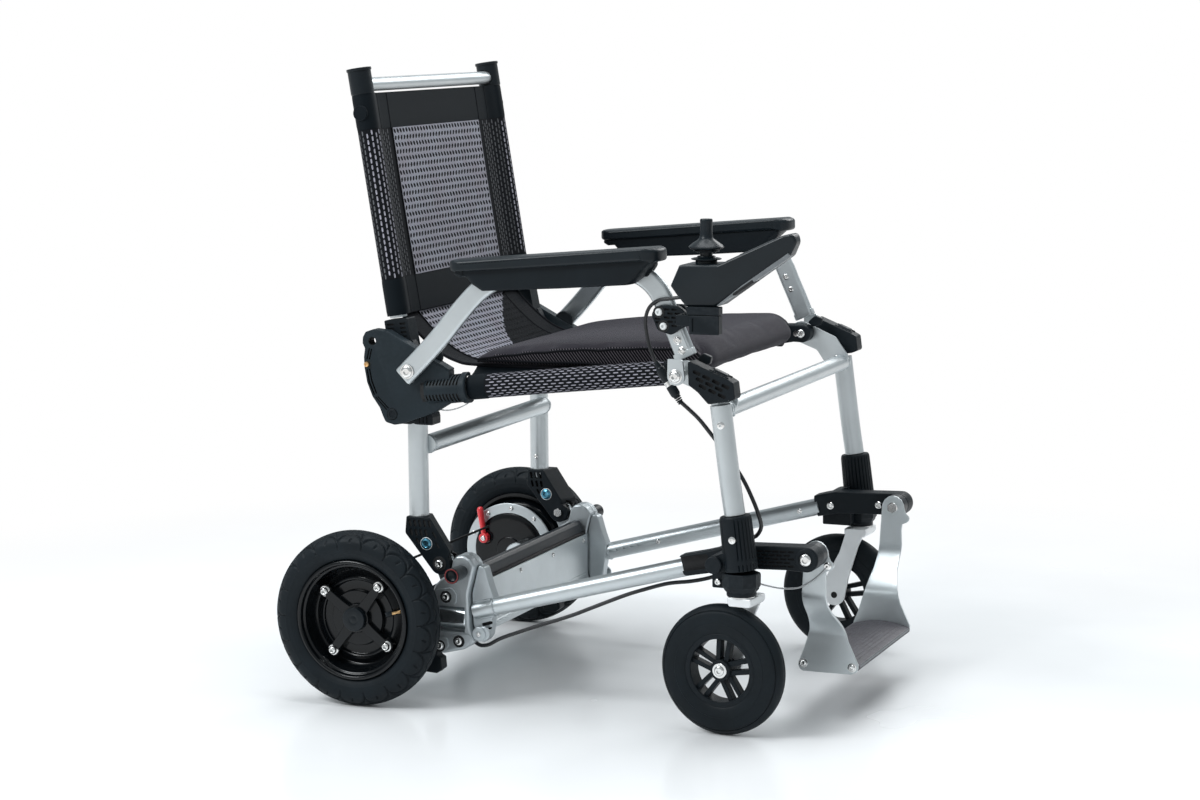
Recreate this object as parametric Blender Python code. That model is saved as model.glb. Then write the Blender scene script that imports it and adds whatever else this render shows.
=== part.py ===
"""Folding power wheelchair: frame, linkage, wheels, seat, armrests, controller
and footrest as separate solids.

Metres, +Z up, +X towards the front of the chair.  The right-hand side is -Y.
Shapes are laid out from the rear axle (x = 0) and from the chair's centre
plane (u = distance from that plane), then shifted so that the origin lies
under the middle of the chair on the floor.
"""
import bpy
import bmesh
import math
from mathutils import Vector, Matrix

# ------------------------------------------------------------ main dimensions
FRONT = 0.7010            # footplate lip, from the rear axle
REAR = -0.1275            # back of the drive tyres
X0 = 0.5 * (FRONT + REAR)

WHEEL_R = 0.1275          # 10 inch drive tyre
WHEEL_W = 0.0490
WHEEL_U = 0.2973
CAST_R = 0.0915           # 7.2 inch caster
CAST_W = 0.0340
SWIVEL = (0.5777, 0.2813)
TRAIL = 0.0300
OFFSET = 0.0060
YAW = {-1: math.radians(-4.9), 1: math.radians(-2.0)}

TUBE = 0.0145             # 29 mm leg tube
GAP = 0.0003

A = (0.1033, 0.2024)      # rear leg on the base
B = (0.0489, 0.4598)      # rear leg in the hinge plate
C = (0.4895, 0.4990)      # front leg on the seat
D = (0.5439, 0.2416)      # front leg on the base
M = (0.0725, 0.4845)      # backrest and armrest bolt
F = (0.6565, 0.2455)      # footrest pivot
LEVER = (-0.0405, 0.1465)
STICK = (0.5295, 0.2860, 0.6600)

for ob in list(bpy.data.objects):
    bpy.data.objects.remove(ob, do_unlink=True)


# ------------------------------------------------------------------ materials
def mat(name, col, rough, metal=0.0):
    m = bpy.data.materials.new(name)
    m.use_nodes = True
    b = m.node_tree.nodes["Principled BSDF"]
    b.inputs["Base Color"].default_value = (*col, 1.0)
    b.inputs["Roughness"].default_value = rough
    b.inputs["Metallic"].default_value = metal
    return m


ALU = mat("satin_aluminium", (0.60, 0.63, 0.64), 0.35, 0.8)
BLACK = mat("black_plastic", (0.018, 0.022, 0.026), 0.5)
SOFT = mat("soft_black", (0.02, 0.024, 0.028), 0.6)
RUBBER = mat("tyre_rubber", (0.022, 0.028, 0.032), 0.65)
RIM = mat("black_rim", (0.012, 0.012, 0.014), 0.25)
FABRIC = mat("mesh_fabric", (0.05, 0.05, 0.07), 0.9)
CUSHION = mat("cushion_fabric", (0.045, 0.04, 0.05), 0.9)
STEEL = mat("bright_steel", (0.75, 0.75, 0.75), 0.2, 1.0)
RED = mat("red_lever", (0.70, 0.03, 0.035), 0.35)
BATT = mat("battery_case", (0.06, 0.065, 0.075), 0.45)
STEP = mat("footplate_grey", (0.13, 0.13, 0.135), 0.6)
WIRE = mat("cable_black", (0.01, 0.01, 0.012), 0.5)


# -------------------------------------------------------------- mesh helpers
def prism(pts, u0, u1):
    """Outline in x and z, extruded across the chair from u0 to u1."""
    bm = bmesh.new()
    lo = [bm.verts.new((x, u0, z)) for x, z in pts]
    hi = [bm.verts.new((x, u1, z)) for x, z in pts]
    n = len(pts)
    bm.faces.new(lo)
    bm.faces.new(list(reversed(hi)))
    for i in range(n):
        j = (i + 1) % n
        bm.faces.new((lo[j], lo[i], hi[i], hi[j]))
    bmesh.ops.recalc_face_normals(bm, faces=bm.faces)
    return bm


def box(x0, x1, u0, u1, z0, z1):
    return prism([(x0, z0), (x1, z0), (x1, z1), (x0, z1)], u0, u1)


def arc(c, r, a0, a1, n):
    return [(c[0] + r * math.cos(math.radians(a0 + (a1 - a0) * i / n)),
             c[1] + r * math.sin(math.radians(a0 + (a1 - a0) * i / n)))
            for i in range(n + 1)]


def rounded(pts, r, n=2):
    """Round the corners of a closed outline."""
    out = []
    m = len(pts)
    for i in range(m):
        p = Vector(pts[i])
        a = Vector(pts[i - 1]) - p
        b = Vector(pts[(i + 1) % m]) - p
        rr = r[i] if isinstance(r, (list, tuple)) else r
        ang = a.angle(b)
        if rr <= 0 or ang > math.radians(172):
            out.append(tuple(p))
            continue
        cut = min(rr / math.tan(ang / 2), 0.45 * a.length, 0.45 * b.length)
        rr = cut * math.tan(ang / 2)
        p0 = p + a.normalized() * cut
        p1 = p + b.normalized() * cut
        cc = p + (a.normalized() + b.normalized()).normalized() * (rr / math.sin(ang / 2))
        v0, v1 = p0 - cc, p1 - cc
        t0 = math.atan2(v0.y, v0.x)
        dt = math.atan2(v1.y, v1.x) - t0
        while dt > math.pi:
            dt -= 2 * math.pi
        while dt < -math.pi:
            dt += 2 * math.pi
        for k in range(n + 1):
            t = t0 + dt * k / n
            out.append((cc.x + rr * math.cos(t), cc.y + rr * math.sin(t)))
    return out


def frame_for(d):
    d = d.normalized()
    up = Vector((0, 0, 1)) if abs(d.z) < 0.9 else Vector((1, 0, 0))
    a = up.cross(d).normalized()
    return a, d.cross(a).normalized()


def turned(p0, p1, profile, seg=16, closed=False):
    """Turn a profile of (radius, fraction or metres along p0-p1)."""
    p0, p1 = Vector(p0), Vector(p1)
    d = (p1 - p0).normalized()
    a, b = frame_for(d)
    bm = bmesh.new()
    rings = []
    for r, t in profile:
        c = p0 + d * t
        if r <= 1e-9:
            rings.append([bm.verts.new(c)])
        else:
            rings.append([bm.verts.new(c + (a * math.cos(2 * math.pi * (k + 0.5) / seg)
                                            + b * math.sin(2 * math.pi * (k + 0.5) / seg)) * r)
                          for k in range(seg)])
    pairs = list(zip(rings[:-1], rings[1:]))
    if closed:
        pairs.append((rings[-1], rings[0]))
    for ra, rb in pairs:
        for k in range(seg):
            j = (k + 1) % seg
            if len(ra) == 1 and len(rb) == 1:
                continue
            if len(ra) == 1:
                bm.faces.new((ra[0], rb[j], rb[k]))
            elif len(rb) == 1:
                bm.faces.new((ra[k], ra[j], rb[0]))
            else:
                bm.faces.new((ra[k], ra[j], rb[j], rb[k]))
    if not closed:
        for ring in (rings[0], rings[-1]):
            if len(ring) > 1:
                bm.faces.new(ring)
    bmesh.ops.recalc_face_normals(bm, faces=bm.faces)
    return bm


def cyl(p0, p1, r0, r1=None, seg=16):
    r1 = r0 if r1 is None else r1
    length = (Vector(p1) - Vector(p0)).length
    return turned(p0, p1, [(r0, 0.0), (r1, length)], seg)


def spin_u(c, profile, seg=16, closed=False):
    """Turn a profile of (radius, u) about an axis across the chair."""
    return turned((c[0], 0, c[1]), (c[0], 1, c[1]), profile, seg, closed)


def bolt(c, u0, u1, r, seg=10):
    return spin_u(c, [(r, u0), (r, u1)], seg)


def sweep(path, sec):
    """Sweep a section of (in-plane, across) points along a path in x and z."""
    bm = bmesh.new()
    rings = []
    n = len(path)
    for i, (x, u, z) in enumerate(path):
        a = Vector(path[max(0, i - 1)])
        b = Vector(path[min(n - 1, i + 1)])
        t = (b - a).normalized()
        side = Vector((0, 1, 0))
        nrm = side.cross(t).normalized()
        rings.append([bm.verts.new(Vector((x, u, z)) + nrm * p + side * q) for p, q in sec])
    m = len(sec)
    for ra, rb in zip(rings[:-1], rings[1:]):
        for k in range(m):
            j = (k + 1) % m
            bm.faces.new((ra[k], ra[j], rb[j], rb[k]))
    bm.faces.new(rings[0])
    bm.faces.new(list(reversed(rings[-1])))
    bmesh.ops.recalc_face_normals(bm, faces=bm.faces)
    return bm


def smooth_path(pts, step):
    """Evenly spaced points on a smooth curve through the route's points."""
    P = [Vector(p) for p in pts]
    P = [P[0] * 2 - P[1]] + P + [P[-1] * 2 - P[-2]]
    dense = []
    for i in range(1, len(P) - 2):
        for k in range(24):
            t = k / 24
            a, b, c, d = P[i - 1], P[i], P[i + 1], P[i + 2]
            dense.append(0.5 * ((2 * b) + (c - a) * t + (2 * a - 5 * b + 4 * c - d) * t * t
                                + (3 * b - 3 * c + d - a) * t ** 3))
    dense.append(P[-2])
    total = sum((q - p).length for p, q in zip(dense[:-1], dense[1:]))
    n = max(2, int(round(total / step)))
    out, want, run = [dense[0].copy()], total / n, 0.0
    for p, q in zip(dense[:-1], dense[1:]):
        seg = (q - p).length
        while run + seg >= want and len(out) < n:
            f = (want - run) / seg
            p = p + (q - p) * f
            out.append(p.copy())
            seg = (q - p).length
            run = 0.0
        run += seg
    out.append(dense[-1].copy())
    return out


def mirror(bm, s):
    """Move a shape built at positive u to the side s."""
    if s < 0:
        for v in bm.verts:
            v.co.y = -v.co.y
        bmesh.ops.reverse_faces(bm, faces=bm.faces)
    return bm


def join(parts):
    out = bmesh.new()
    for p in parts:
        me = bpy.data.meshes.new("tmp")
        p.to_mesh(me)
        p.free()
        out.from_mesh(me)
        bpy.data.meshes.remove(me)
    return out


def boolean(base, others, op):
    obs = []
    for bm in [base] + list(others):
        me = bpy.data.meshes.new("tmp")
        bm.to_mesh(me)
        bm.free()
        ob = bpy.data.objects.new("tmp", me)
        bpy.context.scene.collection.objects.link(ob)
        obs.append(ob)
    for other in obs[1:]:
        m = obs[0].modifiers.new("b", 'BOOLEAN')
        m.operation = op
        m.solver = 'EXACT'
        m.object = other
    bpy.context.view_layer.update()
    dg = bpy.context.evaluated_depsgraph_get()
    me = bpy.data.meshes.new_from_object(obs[0].evaluated_get(dg))
    out = bmesh.new()
    out.from_mesh(me)
    bpy.data.meshes.remove(me)
    for ob in obs:
        old = ob.data
        bpy.data.objects.remove(ob, do_unlink=True)
        bpy.data.meshes.remove(old)
    bmesh.ops.remove_doubles(out, verts=out.verts, dist=2e-6)
    bmesh.ops.dissolve_degenerate(out, edges=out.edges, dist=2e-6)
    return out


def union(base, *others):
    return boolean(base, others, 'UNION')


def cut(base, *others):
    return boolean(base, others, 'DIFFERENCE')


def soften(bm, w, seg=1, limit=35):
    edges = [e for e in bm.edges if len(e.link_faces) == 2
             and e.calc_face_angle(0) > math.radians(limit)]
    bmesh.ops.bevel(bm, geom=edges, offset=w, segments=seg, affect='EDGES', profile=0.6)
    return bm


# --------------------------------------------------------- bodies and objects
PIVOT = {"base": (X0, 0, 0)}


def pivot(body, x, y, z):
    PIVOT[body] = (x, y, z)


pivot("battery", 0.0670, 0, 0.0995)
for s, k in ((-1, "R"), (1, "L")):
    pivot("lever_" + k, LEVER[0], s * 0.2370, LEVER[1])
    pivot("knob_" + k, 0.1400, s * 0.2390, 0.1940)
    pivot("wheel_" + k, 0, s * WHEEL_U, WHEEL_R)
    pivot("swivel_" + k, SWIVEL[0], s * SWIVEL[1], 0.1975)
    pivot("latch_" + k, 0.5504, s * 0.2869, 0.5003)
    pivot("armrest_" + k, M[0], s * 0.2657, M[1])
pivot("rear_legs", A[0], 0, A[1])
pivot("front_legs", D[0], 0, D[1])
pivot("seat", B[0], 0, B[1])
pivot("backrest", M[0], 0, M[1])
pivot("footrest", F[0], 0, F[1])
pivot("gimbal", STICK[0], -STICK[1], STICK[2])
pivot("stick", STICK[0], -STICK[1], STICK[2])


def swing(s, p):
    """A caster point, turned about its swivel to the resting yaw."""
    c = Vector((SWIVEL[0], s * SWIVEL[1], 0))
    return c + Matrix.Rotation(YAW[s], 3, 'Z') @ (Vector(p) - c)


for s, k in ((-1, "R"), (1, "L")):
    q = swing(s, (SWIVEL[0] - TRAIL, s * (SWIVEL[1] - OFFSET), CAST_R))
    pivot("caster_" + k, q.x, q.y, q.z)

EMPTY = {}
for name, p in PIVOT.items():
    e = bpy.data.objects.new("axis_" + name, None)
    e.empty_display_size = 0.03
    e.location = (p[0] - X0, p[1], p[2])
    bpy.context.scene.collection.objects.link(e)
    EMPTY[name] = e


def node(name, bm, material, body, angle=32):
    off = Vector((PIVOT[body][0], PIVOT[body][1], PIVOT[body][2]))
    for v in bm.verts:
        v.co -= off
    me = bpy.data.meshes.new(name)
    bm.to_mesh(me)
    bm.free()
    me.materials.append(material)
    me.shade_smooth()
    me.set_sharp_from_angle(angle=math.radians(angle))
    ob = bpy.data.objects.new(name, me)
    bpy.context.scene.collection.objects.link(ob)
    ob.parent = EMPTY[body]
    return ob


def cable(name, pts, dia, body, material=WIRE, step=2.6, res=2):
    off = Vector(PIVOT[body])
    path = smooth_path(pts, dia * step)
    cu = bpy.data.curves.new(name, 'CURVE')
    cu.dimensions = '3D'
    cu.bevel_depth = dia / 2
    cu.bevel_resolution = res
    cu.use_fill_caps = True
    sp = cu.splines.new('POLY')
    sp.points.add(len(path) - 1)
    for q, p in zip(sp.points, path):
        q.co = (*(p - off), 1)
    cu.materials.append(material)
    ob = bpy.data.objects.new(name, cu)
    bpy.context.scene.collection.objects.link(ob)
    ob.parent = EMPTY[body]
    return ob


# ----------------------------------------------------------------------- base
BASE_R, BASE_F = (0.1560, 0.1348), (0.4740, 0.21965)


def base_tube():
    t = cyl((BASE_R[0], 0.2219, BASE_R[1]), (BASE_F[0], 0.2219, BASE_F[1]), 0.0130, seg=16)
    f = prism(rounded([(0.1592, 0.2021), (0.1484, 0.1603), (0.1495, 0.1141), (0.1577, 0.0907),
                       (0.1680, 0.0890), (0.1760, 0.0980), (0.1790, 0.1180), (0.1840, 0.1530),
                       (0.1770, 0.1720), (0.1690, 0.1990)],
                      [0.004, 0, 0, 0, 0.006, 0.004, 0, 0, 0, 0.006]), 0.2080, 0.2360)
    return union(f, t)


for s, k in ((-1, "R"), (1, "L")):
    node("base_tube_" + k, mirror(base_tube(), s), ALU, "base")

CASTING = [(0.1583, 0.2021), (0.1505, 0.2120), (0.1400, 0.2165), (0.1290, 0.2150),
           (0.1232, 0.2080), (0.1190, 0.1900), (0.1060, 0.1815), (0.0940, 0.1700),
           (0.0890, 0.1500), (0.0890, 0.0860), (0.0960, 0.0745), (0.1060, 0.0700),
           (0.1400, 0.0785), (0.1567, 0.0907), (0.1485, 0.1141), (0.1474, 0.1603)]


def casting():
    main = prism(CASTING, 0.2055, 0.2385)
    ear = prism([(0.0930, 0.1960), (0.1000, 0.1720), (0.1300, 0.1800), (0.1235, 0.2000),
                 (0.1150, 0.2100)], 0.2160, 0.2270)
    disc = spin_u(A, [(0.0145, 0.2160), (0.0145, 0.2270)], 14)
    arm = cyl((0.1430, 0.2220, 0.1230), (0.0300, 0.2220, 0.1275), 0.0180, seg=16)
    boss = spin_u((0.0300, 0.1275), [(0.0205, 0.2040), (0.0205, 0.2412)], 14)
    foot = prism(rounded([(0.0880, 0.0505), (0.1160, 0.0505), (0.1160, 0.0680), (0.1060, 0.0800),
                          (0.0920, 0.0800)], 0.003, 2), 0.2120, 0.2320)
    pin = spin_u(A, [(0.0072, 0.1992), (0.0072, 0.2034), (0.0042, 0.2034), (0.0042, 0.2395),
                     (0.0078, 0.2395), (0.0070, 0.2436)], 12)
    bolts = [bolt(c, 0.2360, 0.2425, 0.0060, 12)
             for c in ((0.1130, 0.1546), (0.1324, 0.0904), (0.1020, 0.0816))]
    return union(main, ear, disc, arm, boss, foot, pin, *bolts)


for s, k in ((-1, "R"), (1, "L")):
    node("drive_casting_" + k, mirror(casting(), s), ALU, "base")


def motor():
    return spin_u((0, WHEEL_R), [(0.0600, 0.2415), (0.0600, 0.2450), (0.0760, 0.2450),
                                 (0.0760, 0.2480), (0.0655, 0.2480), (0.0655, 0.2735)], 24)


for s, k in ((-1, "R"), (1, "L")):
    node("hub_motor_" + k, mirror(motor(), s), BLACK, "base")

tray = cut(box(-0.0200, 0.1535, -0.2030, 0.2030, 0.0950, 0.1720),
           box(-0.0165, 0.1500, -0.1990, 0.1990, 0.0990, 0.1800))
node("battery_tray", tray, ALU, "base")

BATTERY = [(-0.0158, 0.0996), (0.1492, 0.0996), (0.1492, 0.1735), (0.1440, 0.1795),
           (0.1300, 0.1895), (0.1180, 0.1935), (-0.0100, 0.1935), (-0.0158, 0.1880)]
node("battery", prism(BATTERY, -0.1982, 0.1982), BATT, "battery")


def lever():
    top = (-0.0545, 0.2350, 0.1945)
    rod = cyl((LEVER[0], 0.2350, LEVER[1]), top, 0.0048, 0.0052, 12)
    disc = spin_u(LEVER, [(0.0080, 0.2300), (0.0080, 0.2411)], 14)
    return union(disc, rod)


for s, k in ((-1, "R"), (1, "L")):
    node("freewheel_lever_" + k, mirror(lever(), s), RED, "lever_" + k)
    node("release_knob_" + k, mirror(spin_u((0.1400, 0.1940),
         [(0.0080, 0.2389), (0.0080, 0.2440), (0.0100, 0.2460), (0.0112, 0.2760),
          (0.0090, 0.2785)], 16), s), SOFT, "knob_" + k)

BEAM = ([(0.4698, 0.2370), (0.5100, 0.2470), (0.5400, 0.2560), (0.5600, 0.2600), (0.6520, 0.2628)]
        + arc(F, 0.0178, 75, -90, 7) + [(0.6300, 0.2290), (0.5650, 0.2270), (0.5250, 0.2140),
                                        (0.4788, 0.2035)])


def fitting():
    beam = prism(BEAM, 0.2120, 0.2420)
    block = box(0.5300, 0.5750, 0.2380, 0.2700, 0.2040, 0.2284)
    collar = cyl((SWIVEL[0], SWIVEL[1], 0.2040), (SWIVEL[0], SWIVEL[1], 0.2306), 0.0250, seg=16)
    bearing = cyl((SWIVEL[0], SWIVEL[1], 0.1982), (SWIVEL[0], SWIVEL[1], 0.2060), 0.0205, seg=16)
    spacer = spin_u(F, [(0.0172, 0.1946), (0.0172, 0.2150)], 14)
    pocket = prism(rounded([(0.4800, 0.2340), (0.5140, 0.2420), (0.5080, 0.2160),
                            (0.4870, 0.2105)], 0.003, 2), 0.2290, 0.2450)
    leg_pin = spin_u(D, [(0.0075, 0.2072), (0.0075, 0.2115), (0.0042, 0.2115),
                         (0.0042, 0.3000), (0.0072, 0.3000), (0.0062, 0.3035)], 12)
    stud = spin_u(F, [(0.0080, 0.1850), (0.0080, 0.1892), (0.0042, 0.1892), (0.0042, 0.2415),
                      (0.0088, 0.2415), (0.0078, 0.2460)], 12)
    screw = bolt((0.5444, 0.2150), 0.2690, 0.2735, 0.0050, 10)
    return cut(union(beam, block, collar, bearing, spacer, leg_pin, stud, screw), pocket)


for s, k in ((-1, "R"), (1, "L")):
    node("front_fitting_" + k, mirror(fitting(), s), BLACK, "base")


# ---------------------------------------------------------------- drive wheels
def flat_r(r, n):
    """Corner radius of a turned ring whose flats lie at r."""
    return r / math.cos(math.pi / n)


def ring_u(c, profile, seg):
    return spin_u(c, profile, seg, closed=True)


N_T = 36
TYRE = [(0.0885, -0.0195), (0.0885, 0.0195), (0.1020, 0.0245), (0.1150, 0.0228),
        (0.1235, 0.0155), (WHEEL_R, 0.0050), (WHEEL_R, -0.0050), (0.1235, -0.0155),
        (0.1150, -0.0228), (0.1020, -0.0245)]
RIM_P = [(0.0, 0.0165), (0.0175, 0.0160), (0.0175, 0.0040), (0.0365, 0.0040),
         (0.0375, -0.0040), (0.0600, -0.0040), (0.0700, 0.0010), (0.0790, 0.0180),
         (0.0835, 0.0236), (0.0880, 0.0225), (0.0880, -0.0198), (0.0820, -0.0198),
         (0.0780, -0.0120), (0.0690, -0.0225), (0.0, -0.0225)]
SPOKES = [52.7, 142.7, 232.7, 322.7]


def rim(s):
    body = spin_u((0, WHEEL_R), [(r, WHEEL_U + t) for r, t in RIM_P], N_T)
    for a in SPOKES:
        c, n = math.cos(math.radians(a)), math.sin(math.radians(a))
        pts = [(0.0130, -0.0078), (0.0640, -0.0070), (0.0685, 0.0), (0.0640, 0.0070), (0.0130, 0.0078)]
        bar = prism([(p * c - q * n, WHEEL_R + p * n + q * c) for p, q in pts],
                    WHEEL_U - 0.0060, WHEEL_U + 0.0115)
        body = union(body, bar)
    return body


for s, k in ((-1, "R"), (1, "L")):
    node("rear_tyre_" + k, mirror(ring_u((0, WHEEL_R), [(flat_r(r, N_T), WHEEL_U + t)
                                                       for r, t in TYRE], N_T), s),
         RUBBER, "wheel_" + k)
    node("rear_rim_" + k, mirror(rim(s), s), RIM, "wheel_" + k)

# --------------------------------------------------------------------- casters
N_C = 32
C_TYRE = [(0.0521, -0.0135), (0.0521, 0.0135), (0.0640, 0.0170), (0.0800, 0.0156),
          (0.0875, 0.0108), (CAST_R, 0.0038), (CAST_R, -0.0038), (0.0875, -0.0108),
          (0.0800, -0.0156), (0.0640, -0.0170)]
AX = (SWIVEL[0] - TRAIL, CAST_R)
CU = SWIVEL[1] - OFFSET


def caster_rim():
    ring = ring_u(AX, [(0.0447, CU - 0.0138), (0.0447, CU + 0.0138), (0.0517, CU + 0.0138),
                       (0.0517, CU - 0.0138)], N_C)
    hub = ring_u(AX, [(0.0064, CU - 0.0150), (0.0064, CU + 0.0122), (0.0145, CU + 0.0122),
                      (0.0145, CU - 0.0150)], 16)
    bars = []
    for i in range(5):
        a = math.radians(90 + 72 * i - 6)
        c, n = math.cos(a), math.sin(a)
        for off in (-0.0056, 0.0056):
            pts = [(0.0120, off - 0.0024), (0.0455, off - 0.0024), (0.0455, off + 0.0024),
                   (0.0120, off + 0.0024)]
            bars.append(prism([(AX[0] + p * c - q * n, AX[1] + p * n + q * c) for p, q in pts],
                              CU - 0.0055, CU + 0.0080))
    return union(ring, hub, *bars)


FORK = ([(0.5680, 0.1974), (0.5560, 0.1600), (0.5440 - 0.0100, 0.1180)]
        + arc(AX, 0.0165, 160, 345, 8) + [(0.5700, 0.1180), (0.5860, 0.1700), (0.5985, 0.1974)])


def fork():
    leg = prism(FORK, 0.2478, 0.2532)
    top = prism(rounded([(0.5560, 0.1850), (0.6040, 0.1850), (0.6070, 0.1900), (0.6060, 0.1974),
                         (0.5530, 0.1974), (0.5530, 0.1900)], 0.0015, 1), 0.2478, 0.2985)
    axle = spin_u(AX, [(0.0095, 0.2438), (0.0095, 0.2480), (0.0075, 0.2480), (0.0075, CU - 0.0154),
                       (0.0060, CU - 0.0154), (0.0060, CU + 0.0128), (0.0095, CU + 0.0128),
                       (0.0085, CU + 0.0158)], 16)
    return union(top, leg, axle)


for s, k in ((-1, "R"), (1, "L")):
    shapes = (("caster_tyre_", ring_u(AX, [(flat_r(r, N_C), CU + t) for r, t in C_TYRE], N_C),
               RUBBER, "caster_"),
              ("caster_rim_", caster_rim(), RIM, "caster_"),
              ("caster_fork_", fork(), ALU, "swivel_"))
    for n, bm, m, b in shapes:
        mirror(bm, s)
        for v in bm.verts:
            v.co = swing(s, v.co)
        node(n + k, bm, m, b + k)

# ------------------------------------------------------------------- rear legs
def rear_leg():
    tube = cyl((0.0640, 0.2219, 0.2704), (0.0640, 0.2219, 0.4080), TUBE, seg=14)
    block = soften(box(0.0455, 0.0940, 0.2074, 0.2364, 0.4030, 0.4200), 0.002)
    ear = prism([(0.0560, 0.4100), (0.0860, 0.4100), (0.0585, 0.4640)]
                + arc(B, 0.0105, 30, 215, 8), 0.2095, 0.2185)
    return union(tube, block, cut(ear, spin_u(B, [(0.0042, 0.2000), (0.0042, 0.2450)], 10)))


cross = cyl((0.0747, -0.2150, 0.3720), (0.0747, 0.2150, 0.3720), 0.0133, seg=16)
node("rear_leg_frame", union(cross, mirror(rear_leg(), -1), mirror(rear_leg(), 1)), ALU,
     "rear_legs")


def rear_bracket():
    low = prism([(0.0516, 0.2700), (0.0486, 0.2450)] + arc(A, 0.0160, 218, 392, 9)
                + [(0.1233, 0.2228), (0.0932, 0.2700)], 0.2040, 0.2390)
    return cut(low, spin_u(A, [(0.0200, 0.2152), (0.0200, 0.2278)], 16),
               spin_u(A, [(0.0046, 0.2000), (0.0046, 0.2450)], 12))


for s, k in ((-1, "R"), (1, "L")):
    node("rear_bracket_" + k, mirror(rear_bracket(), s), BLACK, "rear_legs")

# ------------------------------------------------------------------ front legs
LEG_PATH = [(0.5482, 0.2823, 0.4598), (0.5491, 0.2823, 0.4529), (0.5615, 0.2823, 0.3574),
            (0.5686, 0.2823, 0.3102)]


def round_sec(r, n):
    return [(r * math.cos(2 * math.pi * (i + 0.5) / n), r * math.sin(2 * math.pi * (i + 0.5) / n))
            for i in range(n)]


def front_leg():
    tube = sweep(LEG_PATH, round_sec(TUBE, 14))
    plate = prism(arc(C, 0.0165, 75, 235, 7)
                  + [(0.5149, 0.4720), (0.5368, 0.4400), (0.5600, 0.4410), (0.5660, 0.4640),
                     (0.5450, 0.4930)], 0.2563, 0.2595)
    return union(tube, cut(plate, spin_u(C, [(0.0050, 0.2500), (0.0050, 0.2700)], 12)))


cross = cyl((0.5515, -0.2760, 0.4530), (0.5515, 0.2760, 0.4530), 0.0122, seg=16)
node("front_leg_frame", union(cross, mirror(front_leg(), -1), mirror(front_leg(), 1)), ALU,
     "front_legs")


def sleeve():
    """The sleeve stands clear of the swivel collar under it."""
    body = turned((0.5690, 0.2823, 0.3090), (0.5775, 0.2823, 0.2345),
                  [(0.0205, 0.0), (0.0222, 0.003), (0.0230, 0.0600), (0.0235, 0.0755)], 16)
    boss = spin_u(D, [(0.0122, 0.2426), (0.0122, 0.2995)], 14)
    return cut(union(body, boss), spin_u(D, [(0.0047, 0.2400), (0.0047, 0.3100)], 12))


for s, k in ((-1, "R"), (1, "L")):
    node("leg_sleeve_" + k, mirror(sleeve(), s), BLACK, "front_legs")

BRACKET = [(0.5068, 0.5211), (0.5614, 0.4987), (0.5723, 0.4926), (0.5750, 0.4708),
           (0.5651, 0.4669), (0.5362, 0.4621), (0.5216, 0.4775), (0.5080, 0.4873)]
SLOPE = Vector((0.9250, 0, -0.3800))
UP = Vector((0.3800, 0, 0.9250))


def along(c, a, w, n, u0, u1):
    """A block on the bracket's sloping top: half length a, from depth n0 to n1."""
    pts = []
    for p, q in ((-a, n[0]), (a, n[0]), (a, n[1]), (-a, n[1])):
        v = Vector((c[0], 0, c[1])) + SLOPE * p + UP * q
        pts.append((v.x, v.z))
    return prism(rounded(pts, w, 2) if w else pts, u0, u1)


BUTTON = (0.5504, 0.5032)


def leg_bracket():
    body = prism(rounded(BRACKET, [0.003, 0, 0.004, 0.003, 0.003, 0.002, 0, 0.003], 2),
                 0.2738, 0.3000)
    body = cut(body, box(0.5380, 0.5560, 0.2700, 0.2765, 0.4500, 0.4660))
    return cut(body, along(BUTTON, 0.0120, 0, (-0.0090, 0.0100), 0.2802, 0.2936))


for s, k in ((-1, "R"), (1, "L")):
    node("leg_bracket_" + k, mirror(leg_bracket(), s), BLACK, "front_legs")
    node("latch_button_" + k, mirror(along(BUTTON, 0.0116, 0.0035, (-0.0048, 0.0034),
                                           0.2808, 0.2930), s), SOFT, "latch_" + k)

# ------------------------------------------------------------------------ seat
RAIL = [(0.1568, 0.2410, 0.4655), (0.1865, 0.2410, 0.4690), (0.2708, 0.2410, 0.4788),
        (0.3600, 0.2410, 0.4885), (0.4445, 0.2410, 0.4975), (0.4640, 0.2410, 0.4988)]
HINGE = [(0.0010, 0.5300), (0.0100, 0.5395), (0.0324, 0.5372), (0.1306, 0.4853),
         (0.1545, 0.4850), (0.1545, 0.4440), (0.1311, 0.4402), (0.1062, 0.4248),
         (0.0800, 0.4120), (0.0450, 0.4060), (0.0330, 0.4120), (0.0280, 0.4300),
         (0.0120, 0.4700), (-0.0035, 0.5000), (-0.0030, 0.5150)]


def hinge_plate():
    p = cut(prism(rounded(HINGE, 0.006, 2), 0.2370, 0.2570),
            spin_u((0.0144, 0.5240), [(0.0060, 0.2300), (0.0060, 0.2650)], 14))
    main = spin_u(M, [(0.0072, 0.2160), (0.0072, 0.2201), (0.0042, 0.2201), (0.0042, 0.2716),
                      (0.0095, 0.2716), (0.0080, 0.2756)], 12)
    pin = spin_u(B, [(0.0068, 0.2052), (0.0068, 0.2091), (0.0038, 0.2091), (0.0038, 0.2420)], 10)
    return union(p, main, pin)


for s, k in ((-1, "R"), (1, "L")):
    node("hinge_plate_" + k, mirror(hinge_plate(), s), BLACK, "seat")


def seat_rail():
    cap = prism([(0.4644, 0.4800)] + arc(C, 0.0240, -95, 95, 12) + [(0.4644, 0.5160)],
                0.2320, 0.2558)
    cap = cut(soften(cap, 0.003), spin_u(C, [(0.0047, 0.2200), (0.0047, 0.2650)], 12))
    return union(sweep(RAIL, round_sec(0.0153, 12)), cap)


for s, k in ((-1, "R"), (1, "L")):
    node("seat_rail_" + k, mirror(seat_rail(), s), FABRIC, "seat")


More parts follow.
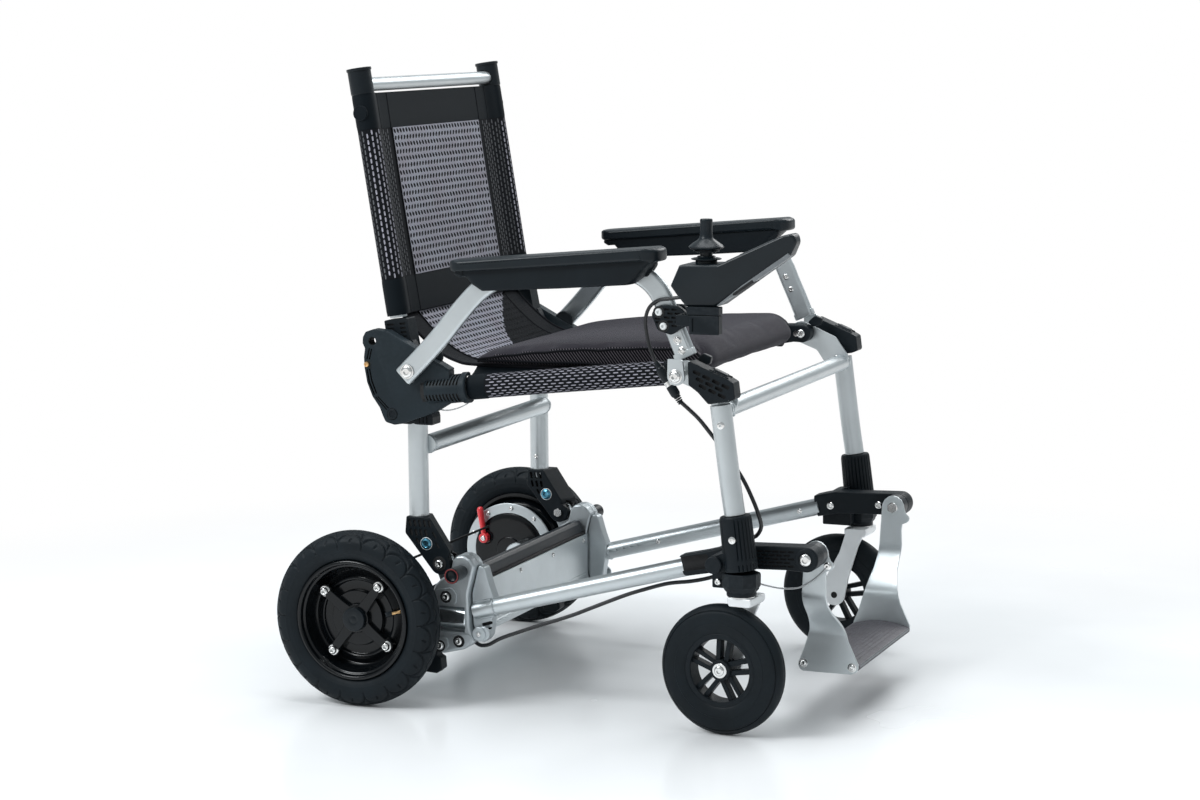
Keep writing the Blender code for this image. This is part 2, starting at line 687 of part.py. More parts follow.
def hook():
    p = prism([(0.4760, 0.5160), (0.4762, 0.4990)] + arc(C, 0.0135, 180, 360, 8)
              + [(0.5030, 0.5160)], 0.3010, 0.3050)
    pin = spin_u(C, [(0.0085, 0.2268), (0.0085, 0.2315), (0.0042, 0.2315), (0.0042, 0.2600),
                     (0.0080, 0.2600), (0.0080, 0.3030), (0.0095, 0.3030), (0.0080, 0.3095)], 12)
    return union(p, pin)


for s, k in ((-1, "R"), (1, "L")):
    node("hook_plate_" + k, mirror(hook(), s), ALU, "seat")

CUSH = [(0.1440, 0.4915), (0.3000, 0.4905), (0.4900, 0.4905), (0.5060, 0.4945),
        (0.5111, 0.5050), (0.5050, 0.5180), (0.4944, 0.5290), (0.4700, 0.5330),
        (0.4055, 0.5300), (0.2540, 0.5200), (0.1800, 0.5090), (0.1440, 0.5020)]
node("seat_cushion", soften(prism(CUSH, -0.2180, 0.2180), 0.005, 1, 50), CUSHION, "seat")

SLING = [(0.0215, 0.5560), (0.0330, 0.5330), (0.0520, 0.5140), (0.0780, 0.5000),
         (0.1100, 0.4920), (0.1450, 0.4885), (0.2500, 0.4880), (0.4620, 0.4880)]


def strip(path, t, u):
    """A bent sheet: the path is its middle, t its thickness."""
    up, low = [], []
    n = len(path)
    for i, (x, z) in enumerate(path):
        a, b = path[max(0, i - 1)], path[min(n - 1, i + 1)]
        d = Vector((b[0] - a[0], b[1] - a[1])).normalized()
        nn = Vector((-d.y, d.x))
        up.append((x + nn.x * t / 2, z + nn.y * t / 2))
        low.append((x - nn.x * t / 2, z - nn.y * t / 2))
    bm = bmesh.new()
    vs = []
    for (p, q) in zip(up, low):
        vs.append([bm.verts.new((p[0], -u, p[1])), bm.verts.new((p[0], u, p[1])),
                   bm.verts.new((q[0], u, q[1])), bm.verts.new((q[0], -u, q[1]))])
    for ra, rb in zip(vs[:-1], vs[1:]):
        for k in range(4):
            j = (k + 1) % 4
            bm.faces.new((ra[k], ra[j], rb[j], rb[k]))
    bm.faces.new(vs[0])
    bm.faces.new(list(reversed(vs[-1])))
    bmesh.ops.recalc_face_normals(bm, faces=bm.faces)
    return bm


node("seat_sling", strip(SLING, 0.0030, 0.2030), FABRIC, "seat")


# -------------------------------------------------------------------- backrest
POST_LOW, POST_TOP = Vector((0.0396, 0.5360)), Vector((-0.0205, 0.9115))
LEAN = (POST_TOP - POST_LOW).normalized()


def on_post(z):
    f = (z - POST_LOW.y) / LEAN.y
    return POST_LOW.x + LEAN.x * f


def back_post():
    post = cyl((on_post(0.5595), 0.2220, 0.5595), (on_post(0.8900), 0.2220, 0.8900), 0.0125,
               seg=16)
    a = Vector((on_post(0.8777), 0.2220, 0.8777))
    b = Vector((on_post(0.9118), 0.2220, 0.9118))
    n = (b - a).length
    cap = turned(a, b, [(0.0165, 0.0), (0.0182, 0.003), (0.0182, n - 0.004), (0.0150, n)], 14)
    return union(post, cap)


def post_foot():
    block = prism(rounded([(0.0125, 0.5330), (0.0180, 0.5552), (0.0540, 0.5590),
                           (0.0668, 0.5400), (0.0640, 0.5210), (0.0260, 0.5165)], 0.004, 2),
                  0.2080, 0.2364)
    tongue = prism([(0.0300, 0.5200), (0.0600, 0.4850)] + arc(M, 0.0125, 190, 400, 9)
                   + [(0.0640, 0.5240), (0.0500, 0.5300)], 0.2208, 0.2345)
    return cut(union(block, tongue), spin_u(M, [(0.0048, 0.2150), (0.0048, 0.2450)], 12))


bar = cyl((on_post(0.8880), -0.2120, 0.8880), (on_post(0.8880), 0.2120, 0.8880), 0.0100, seg=16)
node("back_frame", union(bar, mirror(back_post(), -1), mirror(back_post(), 1)), ALU, "backrest")
for s, k in ((-1, "R"), (1, "L")):
    node("post_foot_" + k, mirror(post_foot(), s), BLACK, "backrest")
BACK = [(on_post(0.5600), 0.5600), (on_post(0.6600) - 0.0010, 0.6600),
        (on_post(0.7700) - 0.0010, 0.7700), (on_post(0.8740), 0.8740)]
node("back_mesh", strip(BACK, 0.0070, 0.2090), FABRIC, "backrest")

# ------------------------------------------------------------------- armrests
BAR = [(0.0725, 0.4845), (0.1000, 0.5115), (0.1257, 0.5390), (0.1492, 0.5668), (0.1700, 0.5895),
       (0.1875, 0.6054), (0.2130, 0.6210), (0.2450, 0.6285), (0.3200, 0.6325), (0.3900, 0.6372),
       (0.4200, 0.6345), (0.4365, 0.6265), (0.4500, 0.6140), (0.4612, 0.5975), (0.4715, 0.5760),
       (0.4829, 0.5530), (0.4955, 0.5215)]
OVAL = [(0.0150 * p, 0.0055 * q) for p, q in
        ((1.0, 0.35), (0.75, 1.0), (-0.75, 1.0), (-1.0, 0.35), (-1.0, -0.35),
         (-0.75, -1.0), (0.75, -1.0), (1.0, -0.35))]


def arm_bar():
    bar = sweep([(x, 0.2657, z) for x, z in BAR], OVAL)
    end = spin_u(M, [(0.0148, 0.2602), (0.0148, 0.2712)], 14)
    return cut(union(bar, end), spin_u(M, [(0.0050, 0.2550), (0.0050, 0.2800)], 12))


PAD = [(0.1540, 0.6320), (0.1545, 0.6460), (0.4681, 0.6715), (0.4746, 0.6691), (0.4745, 0.6540),
       (0.4600, 0.6524), (0.4515, 0.6406), (0.4311, 0.6229), (0.3254, 0.6172), (0.2015, 0.6098),
       (0.1902, 0.6220)]
PAD_TOP = [(0.1545, 0.6400), (0.1545, 0.6460), (0.4681, 0.6715), (0.4746, 0.6691),
           (0.4745, 0.6560), (0.4400, 0.6560), (0.3950, 0.6536), (0.2100, 0.6462)]


def arm_pad():
    body = prism(rounded(PAD, [0.004, 0.006, 0.002, 0.003, 0.004, 0.002, 0, 0.003, 0, 0.004, 0.003],
                         2), 0.2716, 0.3100)
    top = prism(rounded(PAD_TOP, [0.002, 0.005, 0.002, 0.003, 0.004, 0, 0, 0], 2), 0.2560, 0.2740)
    return union(body, top)


for s, k in ((-1, "R"), (1, "L")):
    node("arm_bar_" + k, mirror(arm_bar(), s), ALU, "armrest_" + k)
    node("arm_pad_" + k, mirror(arm_pad(), s), SOFT, "armrest_" + k)

# ------------------------------------------------------------------ controller
CLAMP = [(0.4468, 0.5800), (0.4560, 0.5925), (0.4860, 0.5925), (0.5060, 0.5780), (0.5060, 0.5690),
         (0.4880, 0.5600), (0.4760, 0.5520), (0.4560, 0.5580)]


def clamp():
    outer = prism(rounded(CLAMP, 0.004, 2), 0.2716, 0.2800)
    arm = box(0.4950, 0.5190, 0.2720, 0.3160, 0.5690, 0.5840)
    mount = box(0.5148, 0.5578, 0.3015, 0.3162, 0.5585, 0.5950)
    return union(outer, arm, mount)


node("controller_clamp", mirror(clamp(), -1), BLACK, "armrest_R")

HOUSING = [(0.5008, 0.6515), (0.5553, 0.6529), (0.6452, 0.6940), (0.6604, 0.6970),
           (0.6651, 0.6852), (0.6549, 0.6665), (0.5499, 0.5954), (0.5086, 0.5954),
           (0.4879, 0.6231)]
RISE = Vector((0.6452 - 0.5553, 0, 0.6940 - 0.6529)).normalized()
RISE_N = Vector((-RISE.z, 0, RISE.x))


def panel_pin(f, u, n0, n1, r, seg=14):
    """A short pin square to the controller's sloping panel."""
    c = Vector((0.5553, u, 0.6529)) + RISE * f
    return cyl(c + RISE_N * n0, c + RISE_N * n1, r, seg=seg)


KEYS = (("power_button", 0.030, 0.2860),)
house = soften(prism(rounded(HOUSING, [0.003, 0, 0.004, 0.004, 0.006, 0, 0.003, 0.003, 0.003], 2),
                     0.2560, 0.3164), 0.0035)
house = cut(house, *[panel_pin(f, u, -0.0050, 0.0100, 0.0062) for _, f, u in KEYS])
node("controller_housing", mirror(house, -1), SOFT, "armrest_R")
for name, f, u in KEYS:
    pivot("key_" + name, *(Vector((0.5553, -u, 0.6529)) + RISE * f))
    e = bpy.data.objects.new("axis_" + name, None)
    e.location = Vector(PIVOT["key_" + name]) - Vector((X0, 0, 0))
    bpy.context.scene.collection.objects.link(e)
    EMPTY["key_" + name] = e
    node(name, mirror(panel_pin(f, u, -0.0033, 0.0022, 0.0057), -1), SOFT, "key_" + name)

sx, su, sz = STICK
node("joystick_gimbal", mirror(turned((sx, su, sz - 0.0055), (sx, su, sz + 1),
     [(0.0045, 0.0), (0.0062, 0.003), (0.0062, 0.0062), (0.0035, 0.0085)], 14), -1),
     STEEL, "gimbal")
node("joystick_knob", mirror(turned((sx, su, sz + 0.0057), (sx, su, sz + 1),
     [(0.0040, 0.0), (0.0040, 0.0040), (0.0165, 0.0045), (0.0240, 0.0075), (0.0235, 0.0105),
      (0.0100, 0.0200), (0.0080, 0.0260), (0.0088, 0.0440), (0.0078, 0.0464)], 14), -1),
     SOFT, "stick")

# -------------------------------------------------------------------- footrest
EDGES = [  # height, rear edge, front edge of the side plate
    (0.0640, 0.6190, 0.6900), (0.0665, 0.6145, 0.6965), (0.0720, 0.6120, 0.7000),
    (0.0780, 0.6128, 0.7003), (0.0860, 0.6160, 0.6965), (0.0970, 0.6206, 0.6915),
    (0.1100, 0.6245, 0.6855), (0.1250, 0.6290, 0.6812), (0.1400, 0.6320, 0.6765),
    (0.1550, 0.6345, 0.6715), (0.1700, 0.6350, 0.6700), (0.1900, 0.6358, 0.6707),
    (0.2100, 0.6370, 0.6700), (0.2230, 0.6378, 0.6705), (0.2260, 0.6380, 0.6775),
    (0.2310, 0.6383, 0.6800), (0.2355, 0.6385, 0.6770), (0.2420, 0.6390, 0.6742),
    (0.2500, 0.6398, 0.6732), (0.2570, 0.6434, 0.6696), (0.2615, 0.6490, 0.6640),
    (0.2630, 0.6545, 0.6585)]


def joggle(z):
    """How far out the plate stands at a height: it bends inwards to pass the caster."""
    t = min(1.0, max(0.0, (z - 0.118) / (0.190 - 0.118)))
    return 0.1335 + (0.1920 - 0.1335) * t * t * (3 - 2 * t)


def side_plate():
    bm = bmesh.new()
    rows = []
    for i, (z, xr, xf) in enumerate(EDGES):
        z0, z1 = EDGES[max(0, i - 1)][0], EDGES[min(len(EDGES) - 1, i + 1)][0]
        du = (joggle(z1) - joggle(z0)) / (z1 - z0)
        n = Vector((0, 1, -du)).normalized() * 0.0020
        u = joggle(z)
        row = []
        for x, sgn in ((xr, -1), (xf, -1), (xf, 1), (xr, 1)):
            row.append(bm.verts.new((x, u + sgn * n.y, z + sgn * n.z)))
        rows.append(row)
    for ra, rb in zip(rows[:-1], rows[1:]):
        for k in range(4):
            j = (k + 1) % 4
            bm.faces.new((ra[k], ra[j], rb[j], rb[k]))
    bm.faces.new(rows[0])
    bm.faces.new(list(reversed(rows[-1])))
    bmesh.ops.recalc_face_normals(bm, faces=bm.faces)
    return cut(bm, spin_u(F, [(0.0050, 0.1800), (0.0050, 0.2000)], 12))


for s, k in ((-1, "R"), (1, "L")):
    node("foot_side_" + k, mirror(side_plate(), s), ALU, "footrest")


def arch(x, drop=0.0):
    return 0.0765 + 0.0080 * (1 - ((x - 0.6557) / 0.0440) ** 2) - drop


xs = [0.6125 + (0.6990 - 0.6125) * i / 8 for i in range(9)]
plate = prism([(x, arch(x)) for x in xs] + [(FRONT, 0.0755), (FRONT, 0.0695), (0.6950, 0.0685)]
              + [(x, arch(x, 0.0055)) for x in reversed(xs[1:-1])] + [(0.6125, 0.0700)],
              -0.1308, 0.1308)
web = [(0.6150, 0.0672), (0.6960, 0.0672), (0.6970, 0.0740)] + \
      [(x, arch(x, 0.0020)) for x in reversed(xs[1:-1])] + [(0.6140, 0.0730)]
plate = union(plate, prism(web, 0.1250, 0.1308), prism(web, -0.1308, -0.1250))
node("footplate", plate, STEP, "footrest")

# ---------------------------------------------------------------------- cables
CONN_0, CONN_1 = Vector((0.4575, 0.2670, 0.5085)), Vector((0.4920, 0.2655, 0.4550))
CONN = [(0.0034, 0.0), (0.0048, 0.0080), (0.0048, 0.0100), (0.0068, 0.0110), (0.0068, 0.0290),
        (0.0058, 0.0295), (0.0058, 0.0350), (0.0068, 0.0355), (0.0068, 0.0520), (0.0046, 0.0530),
        (0.0034, 0.0636)]
ROUTE_A = [(0.4985, 0.2820, 0.6055), (0.4870, 0.2815, 0.6040), (0.4720, 0.2795, 0.6015),
           (0.4560, 0.2765, 0.5985), (0.4420, 0.2735, 0.5880), (0.4350, 0.2700, 0.5700),
           (0.4380, 0.2680, 0.5484), (0.4438, 0.2672, 0.5300), (0.4518, 0.2670, 0.5173)]
ROUTE_B = [(0.4985, 0.2650, 0.4472), (0.5112, 0.2625, 0.4346), (0.5288, 0.2595, 0.4125),
           (0.5488, 0.2570, 0.3875), (0.5723, 0.2585, 0.3548), (0.5880, 0.2620, 0.3270),
           (0.5960, 0.2630, 0.3080), (0.5985, 0.2590, 0.2910), (0.5900, 0.2520, 0.2775),
           (0.5780, 0.2410, 0.2715), (0.5710, 0.2270, 0.2705), (0.5650, 0.2105, 0.2680),
           (0.5605, 0.2055, 0.2570), (0.5490, 0.2045, 0.2300), (0.5300, 0.2050, 0.2145),
           (0.5080, 0.2055, 0.2045), (0.4800, 0.2085, 0.1975), (0.4453, 0.2130, 0.1925),
           (0.4130, 0.2180, 0.1830), (0.3818, 0.2215, 0.1720), (0.3338, 0.2230, 0.1515),
           (0.3000, 0.2230, 0.1370), (0.2507, 0.2230, 0.1190), (0.2150, 0.2225, 0.1055),
           (0.1896, 0.2220, 0.0950), (0.1720, 0.2220, 0.0850), (0.1600, 0.2220, 0.0810),
           (0.1520, 0.2220, 0.0815)]
ROUTE_L = [(0.5765, 0.2345, 0.2110), (0.5840, 0.2280, 0.2055), (0.6023, 0.2170, 0.1992),
           (0.6190, 0.2100, 0.1968), (0.6358, 0.2040, 0.1985), (0.6526, 0.2010, 0.2080),
           (0.6638, 0.1990, 0.2185), (0.6705, 0.1985, 0.2262)]


def right(pts):
    return [(x, -u, z) for x, u, z in pts]


def thread(rings, n=6):
    """A round body along a path whose radius changes: (point, radius) rings."""
    bm = bmesh.new()
    up, rows = None, []
    for i, (p, r) in enumerate(rings):
        a, b = rings[max(0, i - 1)][0], rings[min(len(rings) - 1, i + 1)][0]
        t = (b - a).normalized()
        if up is None:
            up = frame_for(t)[0]
        up = (up - t * up.dot(t)).normalized()
        side = t.cross(up)
        rows.append([bm.verts.new(p + (up * math.cos(2 * math.pi * k / n)
                                       + side * math.sin(2 * math.pi * k / n)) * r)
                     for k in range(n)])
    for ra, rb in zip(rows[:-1], rows[1:]):
        for k in range(n):
            j = (k + 1) % n
            bm.faces.new((ra[k], ra[j], rb[j], rb[k]))
    bm.faces.new(rows[0])
    bm.faces.new(list(reversed(rows[-1])))
    bmesh.ops.recalc_face_normals(bm, faces=bm.faces)
    return bm


d = (CONN_1 - CONN_0).normalized()
rings = [(p, 0.0025) for p in smooth_path(ROUTE_A + [tuple(CONN_0 - d * 0.0010)], 0.0125)]
rings += [(CONN_0 + d * t, r) for r, t in CONN]
rings += [(p, 0.0028) for p in smooth_path([tuple(CONN_0 + d * 0.0646)] + ROUTE_B, 0.0190)]
node("controller_cable", mirror(thread(rings), -1), WIRE, "base")
cable("footrest_lanyard", right(ROUTE_L), 0.0024, "base", STEEL, step=3.0, res=2)
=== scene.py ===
import bpy
import bmesh
import math
from mathutils import Vector, Matrix, noise


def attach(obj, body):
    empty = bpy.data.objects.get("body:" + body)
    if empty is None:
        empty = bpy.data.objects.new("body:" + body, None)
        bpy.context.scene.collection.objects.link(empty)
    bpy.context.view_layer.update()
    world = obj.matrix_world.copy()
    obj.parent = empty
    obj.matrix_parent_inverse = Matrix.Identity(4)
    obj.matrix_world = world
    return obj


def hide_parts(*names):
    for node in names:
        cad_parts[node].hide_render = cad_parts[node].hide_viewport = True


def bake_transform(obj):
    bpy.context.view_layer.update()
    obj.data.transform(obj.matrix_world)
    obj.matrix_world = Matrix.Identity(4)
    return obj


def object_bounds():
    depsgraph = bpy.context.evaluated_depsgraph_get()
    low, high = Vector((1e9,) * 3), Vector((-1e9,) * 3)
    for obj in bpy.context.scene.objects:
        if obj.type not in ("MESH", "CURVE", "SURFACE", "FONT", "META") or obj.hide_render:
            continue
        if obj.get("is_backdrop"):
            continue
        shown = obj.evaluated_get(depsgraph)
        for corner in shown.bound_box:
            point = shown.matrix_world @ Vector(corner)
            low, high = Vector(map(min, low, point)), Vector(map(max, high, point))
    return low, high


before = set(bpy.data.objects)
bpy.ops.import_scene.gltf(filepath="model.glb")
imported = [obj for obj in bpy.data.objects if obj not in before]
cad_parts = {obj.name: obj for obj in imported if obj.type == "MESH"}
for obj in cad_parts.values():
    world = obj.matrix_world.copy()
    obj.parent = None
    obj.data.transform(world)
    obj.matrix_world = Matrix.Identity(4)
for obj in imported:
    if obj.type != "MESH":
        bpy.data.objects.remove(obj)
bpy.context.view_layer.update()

# The outlines below repeat those of the CAD source: x from the rear axle, u from
# the centre plane, z up, all in metres.  X0 shifts them to the shared frame.
FRONT, REAR = 0.7010, -0.1275
X0 = 0.5 * (FRONT + REAR)
WHEEL_R, WHEEL_U = 0.1275, 0.2973
CAST_R = 0.0915
SWIVEL = (0.5777, 0.2813)
TRAIL, OFFSET = 0.0300, 0.0060
YAW = {-1: math.radians(-4.9), 1: math.radians(-2.0)}
TUBE = 0.0145
A, B, C, D = (0.1033, 0.2024), (0.0489, 0.4598), (0.4895, 0.4990), (0.5439, 0.2416)
M, F = (0.0725, 0.4845), (0.6565, 0.2455)
LEVER = (-0.0405, 0.1465)
STICK = (0.5295, 0.2860, 0.6600)
SIDES = ((-1, "R"), (1, "L"))

# ------------------------------------------------------------------- materials
NT = {}


def tree(name):
    m = bpy.data.materials.new(name)
    m.use_nodes = True
    nt = m.node_tree
    return m, nt, nt.nodes["Principled BSDF"]


def rgb(c, k=1.0):
    return (min(1, c[0] * k), min(1, c[1] * k), min(1, c[2] * k), 1.0)


def coords(nt, scale=(1, 1, 1), rot=(0, 0, 0), uv=False):
    tc = nt.nodes.new("ShaderNodeTexCoord")
    mp = nt.nodes.new("ShaderNodeMapping")
    mp.inputs["Scale"].default_value = scale
    mp.inputs["Rotation"].default_value = rot
    nt.links.new(tc.outputs["UV" if uv else "Object"], mp.inputs["Vector"])
    return mp.outputs["Vector"]


def noise_tex(nt, vec, scale, detail=3.0, rough=0.5):
    n = nt.nodes.new("ShaderNodeTexNoise")
    n.inputs["Scale"].default_value = scale
    n.inputs["Detail"].default_value = detail
    n.inputs["Roughness"].default_value = rough
    nt.links.new(vec, n.inputs["Vector"])
    return n.outputs["Fac"]


def math_node(nt, op, a, b=None, c=None):
    n = nt.nodes.new("ShaderNodeMath")
    n.operation = op
    for i, v in enumerate((a, b, c)):
        if v is None:
            continue
        if isinstance(v, (int, float)):
            n.inputs[i].default_value = v
        else:
            nt.links.new(v, n.inputs[i])
    return n.outputs[0]


def remap(nt, v, a, b, c, d):
    n = nt.nodes.new("ShaderNodeMapRange")
    n.inputs["From Min"].default_value = a
    n.inputs["From Max"].default_value = b
    n.inputs["To Min"].default_value = c
    n.inputs["To Max"].default_value = d
    nt.links.new(v, n.inputs["Value"])
    return n.outputs["Result"]


def mix(nt, f, a, b):
    n = nt.nodes.new("ShaderNodeMix")
    n.data_type = 'RGBA'
    for sock, v in ((n.inputs[0], f), (n.inputs[6], a), (n.inputs[7], b)):
        if isinstance(v, (int, float)):
            sock.default_value = v
        elif isinstance(v, (tuple, list)):
            sock.default_value = v
        else:
            nt.links.new(v, sock)
    return n.outputs[2]


def bump(nt, bsdf, height, strength, dist):
    n = nt.nodes.new("ShaderNodeBump")
    n.inputs["Strength"].default_value = strength
    n.inputs["Distance"].default_value = dist
    nt.links.new(height, n.inputs["Height"])
    nt.links.new(n.outputs["Normal"], bsdf.inputs["Normal"])
    return n


def shader(name, col, rough, metal=0.0, vary=0.14, vary_scale=26, rough_vary=0.10,
           grain=0.0, grain_scale=900, coat=0.0, wear=0.0, spec=0.5, streak=None,
           sheen=0.0):
    """One moulded, painted or metal finish: colour drift, uneven gloss, surface grain
    and lighter worn edges."""
    m, nt, b = tree(name)
    v = coords(nt, streak or (1, 1, 1))
    big = noise_tex(nt, v, vary_scale, 4, 0.6)
    out = mix(nt, remap(nt, big, 0.3, 0.7, 0, 1), rgb(col, 1 - vary), rgb(col, 1 + vary))
    if wear:
        g = nt.nodes.new("ShaderNodeNewGeometry")
        edge = remap(nt, g.outputs["Pointiness"], 0.52, 0.60, 0.0, wear)
        spots = math_node(nt, 'MULTIPLY', edge, remap(nt, noise_tex(nt, v, 180, 3), 0.35, 0.7, 0.2, 1.0))
        out = mix(nt, spots, out, rgb([min(1.0, c * 2.2 + 0.05) for c in col]))
    nt.links.new(out, b.inputs["Base Color"])
    fine = noise_tex(nt, v, vary_scale * 5, 3)
    nt.links.new(remap(nt, fine, 0.3, 0.7, rough - rough_vary * rough, rough + rough_vary * rough),
                 b.inputs["Roughness"])
    b.inputs["Metallic"].default_value = metal
    b.inputs["Specular IOR Level"].default_value = spec
    if coat:
        b.inputs["Coat Weight"].default_value = coat
        b.inputs["Coat Roughness"].default_value = 0.08
    if sheen:
        b.inputs["Sheen Weight"].default_value = sheen
        b.inputs["Sheen Roughness"].default_value = 0.4
    if grain:
        bump(nt, b, noise_tex(nt, coords(nt), grain_scale, 2, 0.6), grain, 0.0006)
    return m


ALU = shader("satin_silver", (0.55, 0.59, 0.605), 0.36, 0.80, vary=0.045, vary_scale=14,
             grain=0.10, grain_scale=1500, streak=(1, 1, 1))
# painted light: the fork's silver is a lighter, less metallic copy of the satin silver, to lift the fork where it sits
# in shade
FORK_LIT_SILVER = shader("fork_silver_painted_light", (0.80, 0.82, 0.83), 0.40, 0.35, vary=0.04, vary_scale=16,
              grain=0.10, grain_scale=1500)
CAST = shader("cast_silver", (0.47, 0.51, 0.53), 0.40, 0.78, vary=0.06, vary_scale=30,
              grain=0.22, grain_scale=1100)
BLACK = shader("moulded_black", (0.0050, 0.0085, 0.0115), 0.46, grain=0.28, grain_scale=1300,
               wear=0.16, vary_scale=20, spec=0.17)
SMOOTH = shader("smooth_black", (0.0055, 0.0090, 0.0120), 0.34, grain=0.07, grain_scale=1600,
                wear=0.10, spec=0.24)
PLATE = shader("plate_slate", (0.0105, 0.0175, 0.0225), 0.50, grain=0.30, grain_scale=1400, wear=0.20,
               spec=0.18)
SOFT = shader("soft_pad", (0.0065, 0.0110, 0.0145), 0.34, grain=0.22, grain_scale=800, sheen=0.0,
              spec=0.26)
GREY = shader("grey_plastic", (0.135, 0.148, 0.158), 0.40, grain=0.12, wear=0.1)
RUBBER = shader("rubber", (0.0055, 0.0092, 0.0122), 0.54, vary=0.2, grain=0.22,
                grain_scale=700, spec=0.17)
RIM = shader("gloss_rim", (0.0020, 0.0030, 0.0040), 0.20, coat=0.10, vary=0.1, spec=0.26)
POLISH = shader("polished_alloy", (0.60, 0.64, 0.66), 0.15, 0.95, vary=0.05, grain=0.03)
STEEL = shader("polished_steel", (0.78, 0.78, 0.77), 0.17, 1.0, vary=0.06, grain=0.03)
DARKSTEEL = shader("dark_steel", (0.22, 0.23, 0.24), 0.30, 1.0)
BRASS = shader("brass", (0.72, 0.46, 0.22), 0.28, 1.0, vary=0.12)
ZINC = shader("blue_zinc", (0.10, 0.30, 0.42), 0.24, 0.9, vary=0.25, vary_scale=220)
WHITE = shader("white_ring", (0.75, 0.77, 0.77), 0.35, vary=0.04)
RED = shader("red_grip", (0.74, 0.035, 0.045), 0.32, coat=0.25, vary=0.08, wear=0.0)
REDRING = shader("red_ring", (0.17, 0.012, 0.012), 0.45, vary=0.12)
# painted shade: near-black for the walls and floors of cuts, holes and slots, and for dark parts set where shade falls
RECESS_SHADE = shader("painted_recess_shade", (0.0045, 0.0050, 0.0060), 0.75, vary=0.1)
BATT = shader("battery_case", (0.50, 0.53, 0.55), 0.38, 0.55, vary=0.05, grain=0.10)
BATTCAP = shader("battery_cover", (0.016, 0.020, 0.025), 0.34, vary=0.10, grain=0.15,
                 vary_scale=12, spec=0.3)
STEP = shader("step_grey", (0.056, 0.053, 0.062), 0.55, grain=0.5, grain_scale=520, wear=0.25)
WIRE = shader("cord_black", (0.0095, 0.0105, 0.0125), 0.38, grain=0.05)


def braid(name):
    """Twisted steel strands."""
    m, nt, b = tree(name)
    v = coords(nt)
    w = nt.nodes.new("ShaderNodeTexWave")
    w.inputs["Scale"].default_value = 420
    w.inputs["Distortion"].default_value = 0.6
    w.bands_direction = 'DIAGONAL'
    nt.links.new(v, w.inputs["Vector"])
    nt.links.new(mix(nt, w.outputs["Fac"], rgb((0.16, 0.17, 0.18)), rgb((0.72, 0.74, 0.75))),
                 b.inputs["Base Color"])
    b.inputs["Metallic"].default_value = 0.9
    b.inputs["Roughness"].default_value = 0.3
    bump(nt, b, w.outputs["Fac"], 0.6, 0.0004)
    return m


STRAND = braid("steel_strand")


def weave(name, col, dark, pitch=0.0011, rough=0.85, sheen=0.25, tint=None, uv=False,
          diagonal=0.0, strength=0.55, ribs=0.0, rib_angle=0.0, rib_col=None):
    """Fabric: crossed threads at a real pitch, with a slow drift of shade."""
    m, nt, b = tree(name)
    v = coords(nt, (1, 1, 1), (0, 0, diagonal), uv)
    sep = nt.nodes.new("ShaderNodeSeparateXYZ")
    nt.links.new(v, sep.inputs[0])
    k = 2 * math.pi / pitch
    ax = [sep.outputs[0], sep.outputs[1]] if uv else \
        [math_node(nt, 'ADD', sep.outputs[0], math_node(nt, 'MULTIPLY', sep.outputs[2], 0.72)),
         math_node(nt, 'ADD', sep.outputs[1], math_node(nt, 'MULTIPLY', sep.outputs[2], -0.72))]
    sa = math_node(nt, 'SINE', math_node(nt, 'MULTIPLY', ax[0], k))
    sb = math_node(nt, 'SINE', math_node(nt, 'MULTIPLY', ax[1], k))
    cross = math_node(nt, 'MULTIPLY', sa, sb)
    h = remap(nt, cross, -1, 1, 0, 1)
    slow = noise_tex(nt, coords(nt), 34, 4)
    grit = noise_tex(nt, coords(nt), 900, 2)
    base = mix(nt, remap(nt, slow, 0.3, 0.7, 0, 1), rgb(col, 0.88), rgb(tint or col, 1.12))
    f = math_node(nt, 'MULTIPLY', h, remap(nt, grit, 0.3, 0.7, 0.6, 1.1))
    out = mix(nt, f, rgb(dark), base)
    height = h
    if ribs:
        a = math.radians(rib_angle)
        run = math_node(nt, 'ADD', math_node(nt, 'MULTIPLY', sep.outputs[0], math.cos(a)),
                        math_node(nt, 'MULTIPLY', sep.outputs[2], math.sin(a)))
        s = math_node(nt, 'SINE', math_node(nt, 'MULTIPLY', run, 2 * math.pi / ribs))
        line = remap(nt, s, 0.25, 0.85, 0, 1)
        out = mix(nt, line, out, rgb(rib_col or col))
        height = math_node(nt, 'ADD', math_node(nt, 'MULTIPLY', h, 0.4),
                           math_node(nt, 'MULTIPLY', line, 1.4))
    nt.links.new(out, b.inputs["Base Color"])
    b.inputs["Roughness"].default_value = rough
    b.inputs["Sheen Weight"].default_value = sheen
    b.inputs["Sheen Roughness"].default_value = 0.45
    b.inputs["Specular IOR Level"].default_value = 0.12
    bump(nt, b, height, strength, 0.0005)
    return m


LIGHTMESH = weave("mesh_lavender", (0.500, 0.475, 0.545), (0.09, 0.088, 0.108), 0.0026,
                  tint=(0.455, 0.485, 0.560), uv=True, strength=0.8, sheen=0.15)
DARKMESH = weave("mesh_black", (0.0085, 0.0105, 0.0140), (0.002, 0.0025, 0.0035), 0.0022, sheen=0.03)
BAND = weave("band_black", (0.0026, 0.0064, 0.0098), (0.0016, 0.0040, 0.0062), 0.0012, rough=0.66,
             sheen=0.015, strength=0.22)
